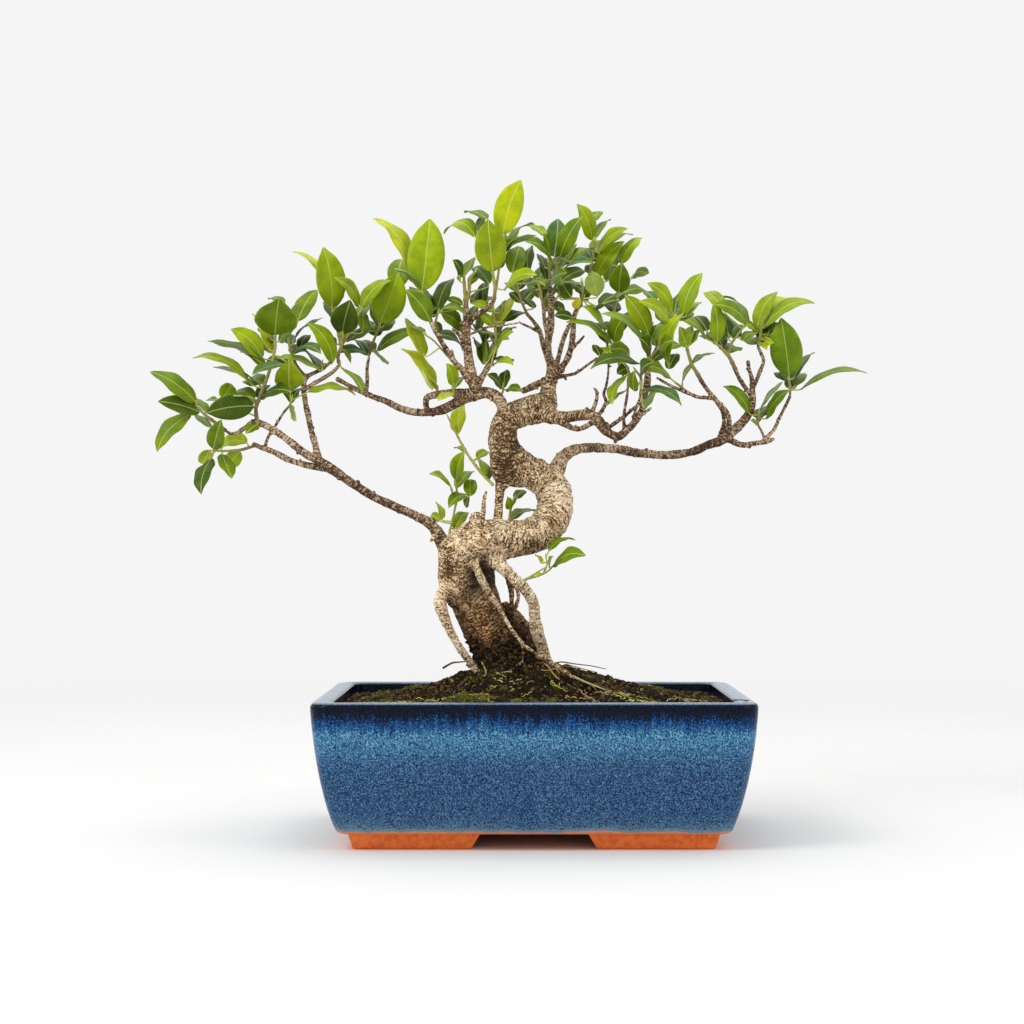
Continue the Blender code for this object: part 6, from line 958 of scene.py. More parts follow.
def floor_look():
    """A pale sweep: a plain matt floor that fades into the backdrop's own white with distance from the pot."""
    n = Nodes("studio_floor")
    x, y, z = n.axes()
    far = n.math("SQRT", n.math("ADD", n.math("MULTIPLY", x, x), n.math("MULTIPLY", y, y)))
    away = n.step(far, 0.45, 2.2)
    near = n.mix(n.step(n.noise(n.scaled(3), detail=2), 0.3, 0.7), (0.735, 0.735, 0.732), (0.755, 0.755, 0.752))
    n.link(n.math("MULTIPLY", away, 0.915), n.b.inputs["Emission Strength"])
    n.b.inputs["Emission Color"].default_value = (1.0, 1.0, 1.0, 1.0)
    return n.set(Base_Color=n.mix(away, near, (0.0, 0.0, 0.0)), Roughness=n.step(n.noise(n.scaled(9)), 0.3, 0.7, 0.7, 0.8), Specular_IOR_Level=0.0)


BARK, LEAF, STEM, GLAZE, SOIL, MOSS_LOOK, SCREEN = bark_look(), leaf_look(), stem_look(), glaze_look(), soil_look(), moss_look(), screen_look()
# Leaf tones. k and b are darker and brighter copies of m: painted shade for leaves in shade and painted light for lit
# leaves.
TONE = {"k": srgb(66, 90, 10), "m": srgb(100, 126, 8), "b": srgb(134, 156, 4), "l": srgb(160, 174, 4), "c": srgb(72, 108, 46), "g": srgb(112, 138, 66), "p": srgb(174, 190, 92), "y": srgb(198, 180, 36)}


# ---------------------------------------------------------------- pot
def finer(rows, per):
    """More rows of (height, inset, radius) along a smooth curve through the given ones."""
    pts = [(Vector(r), 0.0) for r in rows]
    out = []
    for i in range(len(pts) - 1):
        a, b = pts[i][0], pts[i + 1][0]
        for j in range(per):
            out.append(tuple(a.lerp(b, j / per)))
    out.append(tuple(rows[-1]))
    return out


def smooth_rows(rows, step):
    """Rows along the profile at even steps, rounded by Catmull-Rom where the profile bends gently."""
    p = [(Vector((r[0], r[1], r[2])), 0.0) for r in rows]
    return [tuple(v) for v, _ in smooth_path(p, step)]


def build_pot():
    body = smooth_rows(OUTER, 3.5)
    lip = [(105.0, 2.8, 12.5), (105.35, 5.0, 11.6), (105.4, 8.0, 10.6), (105.25, 11.0, 9.6)]
    rows = body + lip[1:] + smooth_rows(INNER, 5.0)
    rings = []
    for z, inset, radius in rows:
        ring = rounded_ring(RIM_HALF[0] - inset, RIM_HALF[1] - inset, radius, z, 9)
        # Long sides carry points of their own, so the hand-made wall can bow a little.
        full = []
        n = len(ring)
        for i in range(n):
            a, b = Vector(ring[i]), Vector(ring[(i + 1) % n])
            k = max(1, int((b - a).length / 9.0))
            full += [a.lerp(b, j / k) for j in range(k)] if (b - a).length > 30 else [a]
        rings.append(full)
    count = min(len(r) for r in rings)
    even = []
    for r in rings:
        # each ring's points, with its first point repeated at the end
        pts = [np.array(p) for p in r] + [np.array(r[0])]
        even.append(pts)
    # corner points match from ring to ring, so the straight runs are split by a fixed number
    verts, faces = [], []
    per_side = (30, 22)
    for z, inset, radius in rows:
        ring = rounded_ring(RIM_HALF[0] - inset, RIM_HALF[1] - inset, radius, z, 9)
        out = []
        for c in range(4):
            arc = ring[c * 10:(c + 1) * 10]
            nxt = ring[((c + 1) % 4) * 10]
            out += [Vector(p) for p in arc]
            k = per_side[0] if c % 2 == 0 else per_side[1]
            a, b = Vector(arc[-1]), Vector(nxt)
            out += [a.lerp(b, j / k) for j in range(1, k)]
        verts.append(out)
    n = len(verts[0])
    flat = np.array([tuple(p) for ring in verts for p in ring])
    wob = fbm(flat * 0.012, 2, 5) * 0.7
    out_dir = flat.copy()
    out_dir[:, 2] = 0
    out_dir /= np.maximum(np.linalg.norm(out_dir, axis=1, keepdims=True), 1e-6)
    shell = (flat[:, 2] > 16) & (flat[:, 2] < 104)
    flat[shell] += out_dir[shell] * wob[shell, None] * 0.6
    flat[:, 2] += np.where(flat[:, 2] > 103.5, fbm(flat * 0.015, 2, 9) * 0.35, 0)
    for i in range(len(verts) - 1):
        for k in range(n):
            k2 = (k + 1) % n
            faces.append((i * n + k, i * n + k2, (i + 1) * n + k2, (i + 1) * n + k))
    faces.append(tuple(reversed(range(n))))
    faces.append(tuple(range((len(verts) - 1) * n, len(verts) * n)))
    ob = make("glazed_pot", flat, faces, [GLAZE], stands_for=("pot",), slot="glaze_blue")
    cutters = []

    def helper(name, v, f, bevel=0.0):
        me = bpy.data.meshes.new(name)
        me.from_pydata([tuple(Vector(p) * 0.001 + SHIFT) for p in v], [], f)
        o = bpy.data.objects.new(name, me)
        bpy.context.scene.collection.objects.link(o)
        if bevel:
            m = o.modifiers.new("soft_edges", "BEVEL")
            m.width = bevel * 0.001
            m.segments = 3
            m.limit_method = "ANGLE"
        cutters.append(o)
        return o

    for sx in (-1, 1):
        for sy in (-1, 1):
            # The foot is one angled piece: its outline from above runs round the corner and back inside.
            x_out, y_out = RIM_HALF[0] - FOOT_INSET[0], RIM_HALF[1] - FOOT_INSET[1]
            x_in, y_in = x_out - 96.0, y_out - 58.0
            top = [(x_in, y_out), (x_out, y_out), (x_out, y_in), (x_out - FOOT_WIDE, y_in), (x_out - FOOT_WIDE, y_out - FOOT_WIDE), (x_in, y_out - FOOT_WIDE)]
            low = [(x_in + 8, y_out - 4), (x_out - 4, y_out - 4), (x_out - 4, y_in + 8), (x_out - FOOT_WIDE + 3, y_in + 8), (x_out - FOOT_WIDE + 3, y_out - FOOT_WIDE + 3), (x_in + 8, y_out - FOOT_WIDE + 3)]
            v = [(sx * x, sy * y, 0.0) for x, y in low] + [(sx * x, sy * y, BODY_Z + 2.0) for x, y in top]
            f = [tuple(range(6)), tuple(reversed(range(6, 12)))] + [(k, k + 6, (k + 1) % 6 + 6, (k + 1) % 6) for k in range(6)]
            if sx * sy > 0:
                f = [tuple(reversed(q)) for q in f]
            m = ob.modifiers.new("foot", "BOOLEAN")
            m.operation, m.solver, m.object = "UNION", "EXACT", helper("foot_form", v, f, 1.3)
            # turn the form outwards whatever the corner
            bm = bmesh.new()
            bm.from_mesh(m.object.data)
            bmesh.ops.recalc_face_normals(bm, faces=bm.faces)
            bm.to_mesh(m.object.data)
            bm.free()
    for sx in (-1, 1):
        ring = [[(sx * HOLE_X + HOLE_R * math.cos(2 * math.pi * i / 40), HOLE_R * math.sin(2 * math.pi * i / 40), z) for i in range(40)] for z in (BODY_Z - 6.0, FLOOR_Z + 6.0)]
        v = ring[0] + ring[1]
        f = [tuple(reversed(range(40))), tuple(range(40, 80))] + [(k, (k + 1) % 40, (k + 1) % 40 + 40, k + 40) for k in range(40)]
        m = ob.modifiers.new("drain_hole", "BOOLEAN")
        m.operation, m.solver, m.object = "DIFFERENCE", "EXACT", helper("hole_form", v, f)
    graph = bpy.context.evaluated_depsgraph_get()
    done = bpy.data.meshes.new_from_object(ob.evaluated_get(graph))
    ob.modifiers.clear()
    ob.data = done
    for c in cutters:
        bpy.data.objects.remove(c, do_unlink=True)
    done.polygons.foreach_set("use_smooth", np.full(len(done.polygons), True))
    done.set_sharp_from_angle(angle=math.radians(42))
    return ob


build_pot()
for node in ("drainage_screen_left", "drainage_screen_right"):
    o = frame["nodes"][node]
    o.data.materials.clear()
    o.data.materials.append(SCREEN)


# ---------------------------------------------------------------- wood
def bark_values(p, normal, paths, seed, ring_size, ring_depth, lump, grain):
    """Rings, lumps and grain for points near the given paths. Returns moved points, and for each point how deep it lies in a
    groove, its distance along the wood, the wood's radius there and the number of its path."""
    samples = []
    for k, path in enumerate(paths):
        s, last = 60.0 * k, None
        for q, r in smooth_path(path, 1.5):
            if last is not None:
                s += (q - last).length
            samples.append((q, r, s, k))
            last = q
    tree = KDTree(len(samples))
    for i, (q, _, _, _) in enumerate(samples):
        tree.insert(q, i)
    tree.balance()
    s, r, which = np.empty(len(p)), np.empty(len(p)), np.empty(len(p), int)
    for i, q in enumerate(p):
        best = min(tree.find_n(q, 3), key=lambda hit: hit[2] - samples[hit[1]][1] * 0.9)
        j = best[1]
        # between two samples the distance runs on smoothly
        q0 = samples[j][0]
        step = 0.0
        if 0 < j < len(samples) - 1:
            d = samples[j + 1][0] - samples[j - 1][0]
            if 0 < d.length < 6:
                step = (Vector(q) - q0).dot(d) / d.length
        s[i], r[i], which[i] = samples[j][2] + max(-1.5, min(1.5, step)), samples[j][1], samples[j][3]
    warp = fbm(p * 0.055, 3, seed) * 4.0 + fbm(p * 0.22, 2, seed + 3) * 1.2
    line = np.stack([(s + warp) / ring_size, np.zeros(len(p)), np.zeros(len(p)) + 0.5], 1)
    rings = noise(line, seed + 7)
    patch = ease(fbm(p * 0.05, 2, seed + 11), -0.45, 0.35)
    size = np.clip(r / 8.0, 0.25, 1.0)
    move = ring_depth * (0.30 + 0.70 * patch) * rings * size + lump * fbm(p * 0.075, 2, seed + 13) * size + grain * fbm(p * 0.62, 3, seed + 17)
    groove = ease(-rings, 0.20, 0.70) * (0.25 + 0.75 * patch)
    return p + normal * move[:, None], groove, s + warp, r, which


def spots_of(p, normal, spots):
    """Adds up soft spots given as seen from the front: (u, v, half width, half height, amount)."""
    d = p[:, 1] - STATION[1]
    u = MID_U + (p[:, 0] - STATION[0]) * PICTURE / d
    v = MID_V - (p[:, 2] - STATION[2]) * PICTURE / d
    out = np.zeros(len(p))
    front = ease(-normal[:, 1], -0.45, 0.15)
    for a, b, w, h, amount in spots:
        out += amount * np.exp(-(((u - a) / w) ** 2 + ((v - b) / h) ** 2)) * front
    return out


TRUNK_EXTRA = [
    [(480, 534, -12, 9), (477, 524, -14, 8), (476, 518, -15, 7.2)], [(481, 520, -14, 4), (483.5, 510, -14, 2.6), (484, 500, -13, 2.0), (486, 492, -12, 1.5)],      # a pruned stub, and a live twig beside it
    [(437, 534, -13, 3.4), (434, 537, -16, 2.4), (431, 541, -18, 1.4)],                   # a dead spur
    [(450, 548, -10, 13), (450, 562, -9, 12), (449, 576, -8, 11.5), (453, 590, -7, 10.5), (460, 602, -6, 10)],    # the rib down the left side
    [(482, 606, -4, 14), (488, 628, -5, 15), (496, 648, -4, 17), (503, 670, -4, 20)],     # the rib down the front
    [(508, 640, 4, 13), (522, 660, 4, 13), (540, 680, 2, 10), (556, 694, 0, 7)],          # surface roots
    [(500, 650, 16, 14), (506, 672, 26, 12), (512, 690, 36, 9)],
]
COLLARS = {"branch_low_left": 3, "branch_upper_left": 3, "branch_mid_right": 3, "branch_low_right": 3, "branch_apex": 2}


SKIN = []                 # points on the trunk that earth clings to, with the way they face and their height over the soil


def build_trunk():
    names = ["trunk", "root_left", "root_front", "root_right", "root_bridge", "root_back"]
    paths = [path_mm(rows) for name in names for rows in WOOD[name]] + [path_mm(rows) for rows in TRUNK_EXTRA]
    collars = []
    for name, k in COLLARS.items():
        rows = path_mm(WOOD[name][0][:k + 2])
        fine = smooth_path(rows, 3.0)
        top = len(fine) - 1
        cut = int(top * (0.55 if name != "branch_apex" else 0.8))
        collar = [(q, r * (1.10 - 0.24 * i / cut)) for i, (q, r) in enumerate(fine[:cut])]
        collars.append(collar)
    parts = []
    for p in paths:
        thick = max(r for _, r in p)
        parts.append(tube(smooth_path(p, 3.0), 32 if thick > 9 else 18))
    for c in collars:
        parts.append(tube(c, 20))
    p, faces = remeshed(parts, 0.84)
    n, quads = normals_of(p, faces)
    p = relaxed(p, quads, 2, 0.4)
    n, _ = normals_of(p, faces)
    # Fluting: the old wood of the lower trunk is drawn into soft ribs.
    low = ease(p[:, 2], 250, 185)
    flute = np.sin(np.arctan2(p[:, 1] - 4, p[:, 0] + 30) * 7 + fbm(p * 0.02, 2, 3) * 4)
    p = p + n * (flute * 1.1 * low * (np.linalg.norm(n[:, :2], axis=1)))[:, None]
    # The dark hollow on the front of the lower bend.
    hollow = np.array(sight(484, 572, -22))
    d = (p - hollow) / np.array([8.0, 14.0, 12.0])
    well = np.exp(-(d ** 2).sum(1) * 1.1)
    r_here = None
    owner = [name for name in names for _ in WOOD[name]] + ["trunk"] * len(TRUNK_EXTRA) + ["collar"] * len(collars)
    p, groove, s, r_here, which = bark_values(p, n, paths + collars, 4, 1.55, 1.0, 0.8, 0.42)
    own = [(tuple(q), r) for name in ("root_left", "root_front", "root_right") for rows in WOOD[name] for q, r in smooth_path(path_mm(rows), 1.5)]
    near = KDTree(len(own))
    for k, (q, _) in enumerate(own):
        near.insert(q, k)
    near.balance()
    off = []
    for q in p:
        _, k, d = near.find(q)
        off.append(d - own[k][1])
    small = even(ease(np.array(off), 2.4, 0.9), quads, 4)
    p = p - n * (well * 3.6 * (1 - small))[:, None]
    height = p[:, 2]
    soil_top = np.array([soil_height(x, y) for x, y in p[:, :2]])
    above = height - soil_top
    ragged = fbm(p * 0.12, 3, 21)
    # Near-black spots placed as seen from the front: painted shade in the hollow of the lower bend and in the recesses
    # behind the front root, and dark earth low on the trunk.
    shade_and_earth_spots = spots_of(p, n, [(474, 580, 11, 20, 1.1), (490, 578, 8, 18, 1.1), (482, 572, 13, 10, 1.0), (452, 606, 8, 8, 0.9), (463, 626, 7, 16, 0.8), (474, 650, 9, 16, 0.9), (508, 614, 9, 12, 1.0),
                            (522, 628, 12, 12, 1.0), (500, 628, 7, 14, 0.4), (528, 646, 12, 12, 0.9), (500, 652, 22, 8, 0.75), (488, 612, 7, 10, 0.4)])
    # behind darkens the back-facing wood low on the trunk.
    behind = ease(n[:, 1], 0.0, 0.5) * ease(height + 10 * ragged, 175, 130)
    dirt_and_shade = np.clip(ease(above + 9 * ragged, 31, 12) * (1 - 0.9 * small * ease(above, 0.5, 3)) + shade_and_earth_spots * (1 - 0.95 * small) * (0.85 + 0.5 * ragged) + 0.5 * behind, 0, 1)
    warm = np.clip(ease(height + 14 * fbm(p * 0.04, 2, 23), 205, 150) * (1 - small) * 0.9, 0, 1)
    # shade is partly the bark's own tone and partly painted light and shade: the spots below darken the undersides of
    # the bends and lighten their tops and outer sides.
    shade = 0.42 + 0.16 * fbm(p * 0.05, 2, 27)
    shade += spots_of(p, n, [(503, 450, 16, 36, 0.30), (514, 440, 8, 14, 0.25), (505, 478, 12, 14, 0.3), (538, 420, 14, 7, 0.15), (552, 520, 5, 14, 0.35), (530, 548, 26, 7, 0.25), (448, 566, 5, 14, 0.4),
                             (488, 634, 22, 26, 0.30), (470, 600, 12, 20, 0.10), (560, 495, 14, 24, -0.28), (548, 512, 20, 30, -0.16), (495, 530, 36, 10, -0.16), (452, 580, 12, 14, -0.15)])
    front = even(np.array([1.0 if name == "root_front" else 0.0 for name in owner])[which], quads, 6)
    shade = np.clip(shade * (1 - small) + small * (0.14 + 0.20 * front + 0.15 * ease(height, 160, 135) + 0.2 * ragged), 0, 1)
    # shade is kept between 0 and 1
    shade = np.clip(shade, 0, 1)
    thin = np.clip(ease(height, 320, 352) * 0.30, 0, 1)
    for c, amount in zip(collars, (0.85, 0.55, 0.75, 0.8, 0.3)):
        a, b = np.array(c[0][0]), np.array(c[-1][0])
        along = ((p - a) @ (b - a)) / ((b - a) @ (b - a))
        near = np.min(np.stack([np.linalg.norm(p - np.array(q), axis=1) - rr for q, rr in c[len(c) // 3:]], 0), 0)
        thin = np.maximum(thin, ease(near, 2.2, 0.4) * ease(along, 0.35, 0.95) * amount)
    groove = groove * (1 - 0.5 * small)
    shade, thin = even(shade, quads, 3), even(thin, quads, 6)
    SKIN.extend((q, m, a) for q, m, a, e in zip(p, n, above, dirt_and_shade) if 0.4 < e and 0.5 < a < 30 and q[0] < 6)
    make("trunk_and_roots", p, faces, [BARK], stands_for=names, slot="bark_pale", attrs={"groove": groove, "dirt_and_shade": dirt_and_shade, "warm": warm, "thin": thin, "shade": shade, "ring": s})


def build_branches():
    for seed, name in enumerate(n for n in WOOD_ORDER if n.startswith(("branch", "stem"))):
        paths = [path_mm(rows) for rows in WOOD[name]]
        parts = []
        for k, path in enumerate(paths):
            fine = smooth_path(path, 2.0)
            q = np.array([tuple(v) for v, _ in fine])
            wander = np.stack([noise(q * 0.09 + 40 * k, seed), noise(q * 0.09 + 40 * k, seed + 50), noise(q * 0.09 + 40 * k, seed + 90)], 1)
            swell = 1 + 0.12 * noise(q * 0.16, seed + 5) + 0.08 * noise(q * 0.45, seed + 6)
            ends = np.minimum(np.arange(len(q)), np.arange(len(q))[::-1]) / 6.0
            amp = np.clip(ends, 0, 1) * 0.55
            parts.append(tube([(Vector(q[i] + wander[i] * amp[i]), fine[i][1] * swell[i]) for i in range(len(q))], 14 if fine[0][1] > 3 else 10, 0.0, 0.6))
            # Old leaf scars and pruned side buds: small swellings along the twig.
            rnd = random.Random(100 * seed + k)
            at = rnd.uniform(4, 9)
            run = 0.0
            for i in range(1, len(q)):
                run += np.linalg.norm(q[i] - q[i - 1])
                if run > at and 2 < i < len(q) - 2:
                    run, at = 0.0, rnd.uniform(6.0, 15.0)
                    axis = Vector(q[i] - q[i - 1]).normalized()
                    side = axis.orthogonal().normalized()
                    side.rotate(Matrix.Rotation(rnd.uniform(0, 6.28), 3, axis))
                    r = fine[i][1]
                    c = Vector(q[i])
                    out = r * rnd.uniform(0.15, 0.55) + (rnd.random() < 0.18) * rnd.uniform(0.8, 2.2)
                    parts.append(tube([(c, r * 0.75), (c + side * (r * 0.6 + out * 0.5) + axis * 0.4, r * 0.62), (c + side * (r * 0.8 + out) + axis * 0.8, r * 0.40)], 8, 0.0, 0.4))
        p, faces = remeshed(parts, 0.52)
        n, quads = normals_of(p, faces)
        p = relaxed(p, quads, 1, 0.5)
        n, _ = normals_of(p, faces)
        p, groove, s, r, _ = bark_values(p, n, paths, 30 + seed, 1.5, 0.45, 0.3, 0.16)
        base = np.array(paths[0][0][0])
        near = np.linalg.norm(p - base, axis=1)
        thin = ease(near, 12, 60) * 0.45 + 0.55
        if name == "branch_low_left":
            thin = ease(near, 5, 40) * 0.4 + 0.6
        if name == "branch_apex":
            thin = ease(near, 2, 26) * 0.6 + 0.3
        thin = np.clip(thin + 0.35 * ease(r, 2.6, 1.6), 0, 1)
        green = ease(r, 1.5, 0.9)
        # shade on the branches is darker on downward-facing bark: painted shade on their undersides.
        make(name + "_bark", p, faces, [BARK], stands_for=(name,), slot=CAD_SLOTS[name], attrs={"groove": groove * 0.8, "dirt_and_shade": np.zeros(len(p)), "warm": 0.15 * np.ones(len(p)), "thin": thin, "shade": np.clip(0.40 + 0.35 * fbm(p * 0.05, 2, 80 + seed) + 0.15 * ease(-n[:, 2], 0.0, 0.8), 0, 1), "ring": s})


build_trunk()
build_branches()


# ---------------------------------------------------------------- shoots
def blade_width(t):
    """Share of the full width at t: broadest a little past the middle, drawn out into a short drip tip."""
    w = (t ** 0.62) * ((1 - t) ** 0.80)
    w = w / ((0.4366 ** 0.62) * (0.5634 ** 0.80))
    return w * (1 - 0.22 * ease(t, 0.80, 0.98))


ROWS = np.array([0.012, 0.05, 0.10, 0.17, 0.25, 0.34, 0.43, 0.52, 0.61, 0.70, 0.78, 0.85, 0.91, 0.955, 0.985])
COLS = np.array([-1.0, -0.72, -0.42, -0.16, 0.0, 0.16, 0.42, 0.72, 1.0])


def add_leaf(heap, s, rnd, stem_dir):
    axis, normal, across = (np.array(s[k]) for k in ("axis", "normal", "across"))
    length, width = s["length"], s["width"]
    young = s["tone"] in "lpy"
    fold = rnd.uniform(0.12, 0.32) if not young else rnd.uniform(0.2, 0.45)
    if width > 14:
        fold *= 0.6
    wave, phase = rnd.uniform(0.015, 0.05) * width, rnd.uniform(0, 6.28)
    twist = rnd.uniform(-0.16, 0.16)
    bend = rnd.uniform(-0.018, 0.018) * length
    droop = rnd.uniform(0.02, 0.07) * length if not young else rnd.uniform(-0.02, 0.03) * length
    t = ROWS
    mid = np.array([tuple(leaf_mid(s, x)) for x in t])
    mid += across * (bend * np.sin(np.pi * t))[:, None]
    mid -= normal * (droop * np.clip((t - 0.62) / 0.38, 0, 1) ** 2)[:, None]
    tip = np.array(s["tip"]) - normal * droop
    along = np.gradient(mid, axis=0)
    along /= np.linalg.norm(along, axis=1, keepdims=True)
    ang = twist * (t - 0.3)
    side = across * np.cos(ang)[:, None] + normal * np.sin(ang)[:, None]
    side -= along * (side * along).sum(1)[:, None]
    side /= np.linalg.norm(side, axis=1, keepdims=True)
    up = np.cross(side, along)
    flip = np.sign((up * normal).sum(1))
    up *= np.where(flip == 0, 1, flip)[:, None]
    half = blade_width(t) * width * (0.56 if width < 12 else 0.53)
    top, low, rib, edge = [], [], [], []
    for i in range(len(t)):
        x = COLS * half[i]
        rise = np.abs(COLS) * half[i] * math.sin(fold) - (COLS ** 2) * half[i] * 0.16 * (1.2 - t[i])
        rise = rise + wave * np.sin(2 * np.pi * 2.3 * t[i] + phase + (COLS > 0) * 1.9) * np.abs(COLS) ** 1.5 * min(1.0, half[i] / 3)
        rise[4] -= 0.16
        out = x * math.cos(fold)
        row = mid[i] + side[i] * out[:, None] + up[i] * rise[:, None]
        thick = 0.34 * (1 - 0.55 * np.abs(COLS) ** 2)
        thick = thick + (np.abs(COLS) < 0.1) * 0.42 * (1 - 0.7 * t[i])
        top.append(row)
        low.append(row - up[i] * thick[:, None])
        rib.append(np.abs(x))
        edge.append(np.abs(COLS))
    m, c = len(t), len(COLS)
    verts = np.concatenate([np.concatenate(top), np.concatenate(low), [tip, tip - up[-1] * 0.12]])
    faces = []
    o = m * c
    for i in range(m - 1):
        for j in range(c - 1):
            a = i * c + j
            faces.append((a, a + 1, a + c + 1, a + c))
            faces.append((o + a, o + a + c, o + a + c + 1, o + a + 1))
        for j in (0, c - 1):
            a, b = i * c + j, (i + 1) * c + j
            faces.append((a, b, o + b, o + a) if j == 0 else (b, a, o + a, o + b))
    for j in range(c - 1):
        faces.append((j + 1, j, o + j, o + j + 1))
        a = (m - 1) * c + j
        faces.append((a, a + 1, 2 * o))
        faces.append((o + a + 1, o + a, 2 * o + 1))
    a = (m - 1) * c
    faces.append((2 * o, 2 * o + 1, o + a, a))
    faces.append((a + c - 1, o + a + c - 1, 2 * o + 1, 2 * o))
    # across x along points along the upper side, or the solid is turned over
    if np.dot(np.cross(top[6][-1] - top[6][0], top[7][4] - top[6][4]), up[6]) < 0:
        faces = [tuple(reversed(f)) for f in faces]
    tone = np.array(TONE[s["tone"]])
    tone = tone * rnd.uniform(0.90, 1.12) * np.array([rnd.uniform(0.94, 1.07), 1.0, rnd.uniform(0.85, 1.15)])
    fade = np.repeat(t, c)
    grad = 0.92 + 0.16 * fade
    tint = np.concatenate([tone * grad[:, None], tone * grad[:, None], [tone, tone]])
    ribs = np.concatenate([np.concatenate(rib), np.concatenate(rib), [0, 0]])
    edges = np.concatenate([np.concatenate(edge), np.concatenate(edge), [1, 1]])
    alongs = np.concatenate([fade * length, fade * length, [length, length]])
    unders = np.concatenate([np.zeros(o), np.ones(o), [0, 1]])
    heap.add(verts, faces, 0, {"rib": ribs, "along": alongs, "under": unders, "edge": edges}, {"tint": np.clip(tint, 0, 1)})
    # petiole
    root, base = Vector(s["root"]), Vector(mid[0])
    gap = (base - root).length
    ax = Vector(along[0])
    a = root
    d = base + ax * min(1.2, length * 0.05)
    bow = Vector((0, 0, min(0.5, gap * 0.05)))
    b = root.lerp(base, 0.35) + bow
    cc = base - ax * (gap * 0.35)
    pts = []
    k = max(4, int(gap / 1.2))
    for i in range(k + 1):
        x = i / k
        q = a * (1 - x) ** 3 + b * (3 * x * (1 - x) ** 2) + cc * (3 * x * x * (1 - x)) + d * x ** 3
        pts.append((q, 0.62 - 0.12 * x if width > 5 else 0.48 - 0.1 * x))
    v, f = tube(pts, 7, 0.0, 0.4)
    pale = tuple(0.62 * np.array(srgb(192, 194, 84)) + 0.38 * tone)
    heap.add(v, f, 1, {"rib": 0.0, "along": 0.0, "under": 0.0, "edge": 0.0}, {"tint": pale})


def build_shoots():
    tubes = [outer for name in WOOD_ORDER for _, outer in wood_forms(name)]
    stems, placed, dropped = place_leaves(tubes)
    lens = []
    for seed, name in enumerate(SHOOTS):
        rnd = random.Random(seed * 7 + 3)
        heap = Heap()
        tones = [row[5] for row in SHOOTS[name][1]]
        green = sum(t in "bl" for t in tones) / len(tones)
        for k, path in enumerate(stems[name]):
            fine = smooth_path(path, 1.6)
            q = np.array([tuple(p) for p, _ in fine])
            swell = 1 + 0.10 * noise(q * 0.35, seed + 3)
            x = np.linspace(0, 1, len(fine))
            node = (np.sin(np.cumsum(np.r_[0, np.linalg.norm(np.diff(q, axis=0), axis=1)]) * 2 * np.pi / rnd.uniform(5.0, 7.5)) > 0.86) * 0.22
            rads = [r * swell[i] * (1 + node[i]) for i, (_, r) in enumerate(fine)]
            v, f = tube([(p, rads[i]) for i, (p, _) in enumerate(fine)], 10)
            brown, leafy = np.array(srgb(118, 88, 58)), np.array(srgb(178, 178, 70)) * green + np.array(srgb(138, 134, 62)) * (1 - green)
            start = 0.0 if name.startswith(("shoot_yellow", "sprout")) else 1.0
            per = len(v) // (len(fine) + 2)
            c = []
            for i in range(len(fine) + 2):
                xx = min(max(i - 1, 0), len(fine) - 1) / max(1, len(fine) - 1)
                w = (1 - float(ease(np.array([xx]), 0.0, 0.75)[0])) * start * (1.0 if k == 0 else 0.4)
                c += [tuple(brown * w + leafy * (1 - w))] * per
            heap.add(v, f, 1, {"rib": 0.0, "along": 0.0, "under": 0.0, "edge": 0.0}, {"tint": c})
            # the pointed sheath of the end bud
            d = (path[-1][0] - path[-2][0]).normalized()
            e = path[-1][0]
            ln = rnd.uniform(3.0, 6.0)
            r0 = path[-1][1]
            v, f = tube([(e - d * 0.6, r0 * 0.9), (e + d * ln * 0.25, r0 * 1.15), (e + d * ln * 0.6, r0 * 0.7), (e + d * ln * 0.9, r0 * 0.28), (e + d * ln, r0 * 0.1)], 8, 0.0, 0.3)
            heap.add(v, f, 1, {"rib": 0.0, "along": 0.0, "under": 0.0, "edge": 0.0}, {"tint": srgb(176, 190, 70)})
        for s, parts in placed[name]:
            add_leaf(heap, s, rnd, None)
            lens.append(s["length"])
        heap.piece(name + "_leaves", [LEAF, STEM], stands_for=(name,), slot=CAD_SLOTS[name])
    print("LEAVES", len(lens), "dropped", len(dropped), "mean mm", round(sum(lens) / len(lens), 1))


build_shoots()


# ---------------------------------------------------------------- soil
def wall_inset(z):
    return 15.6


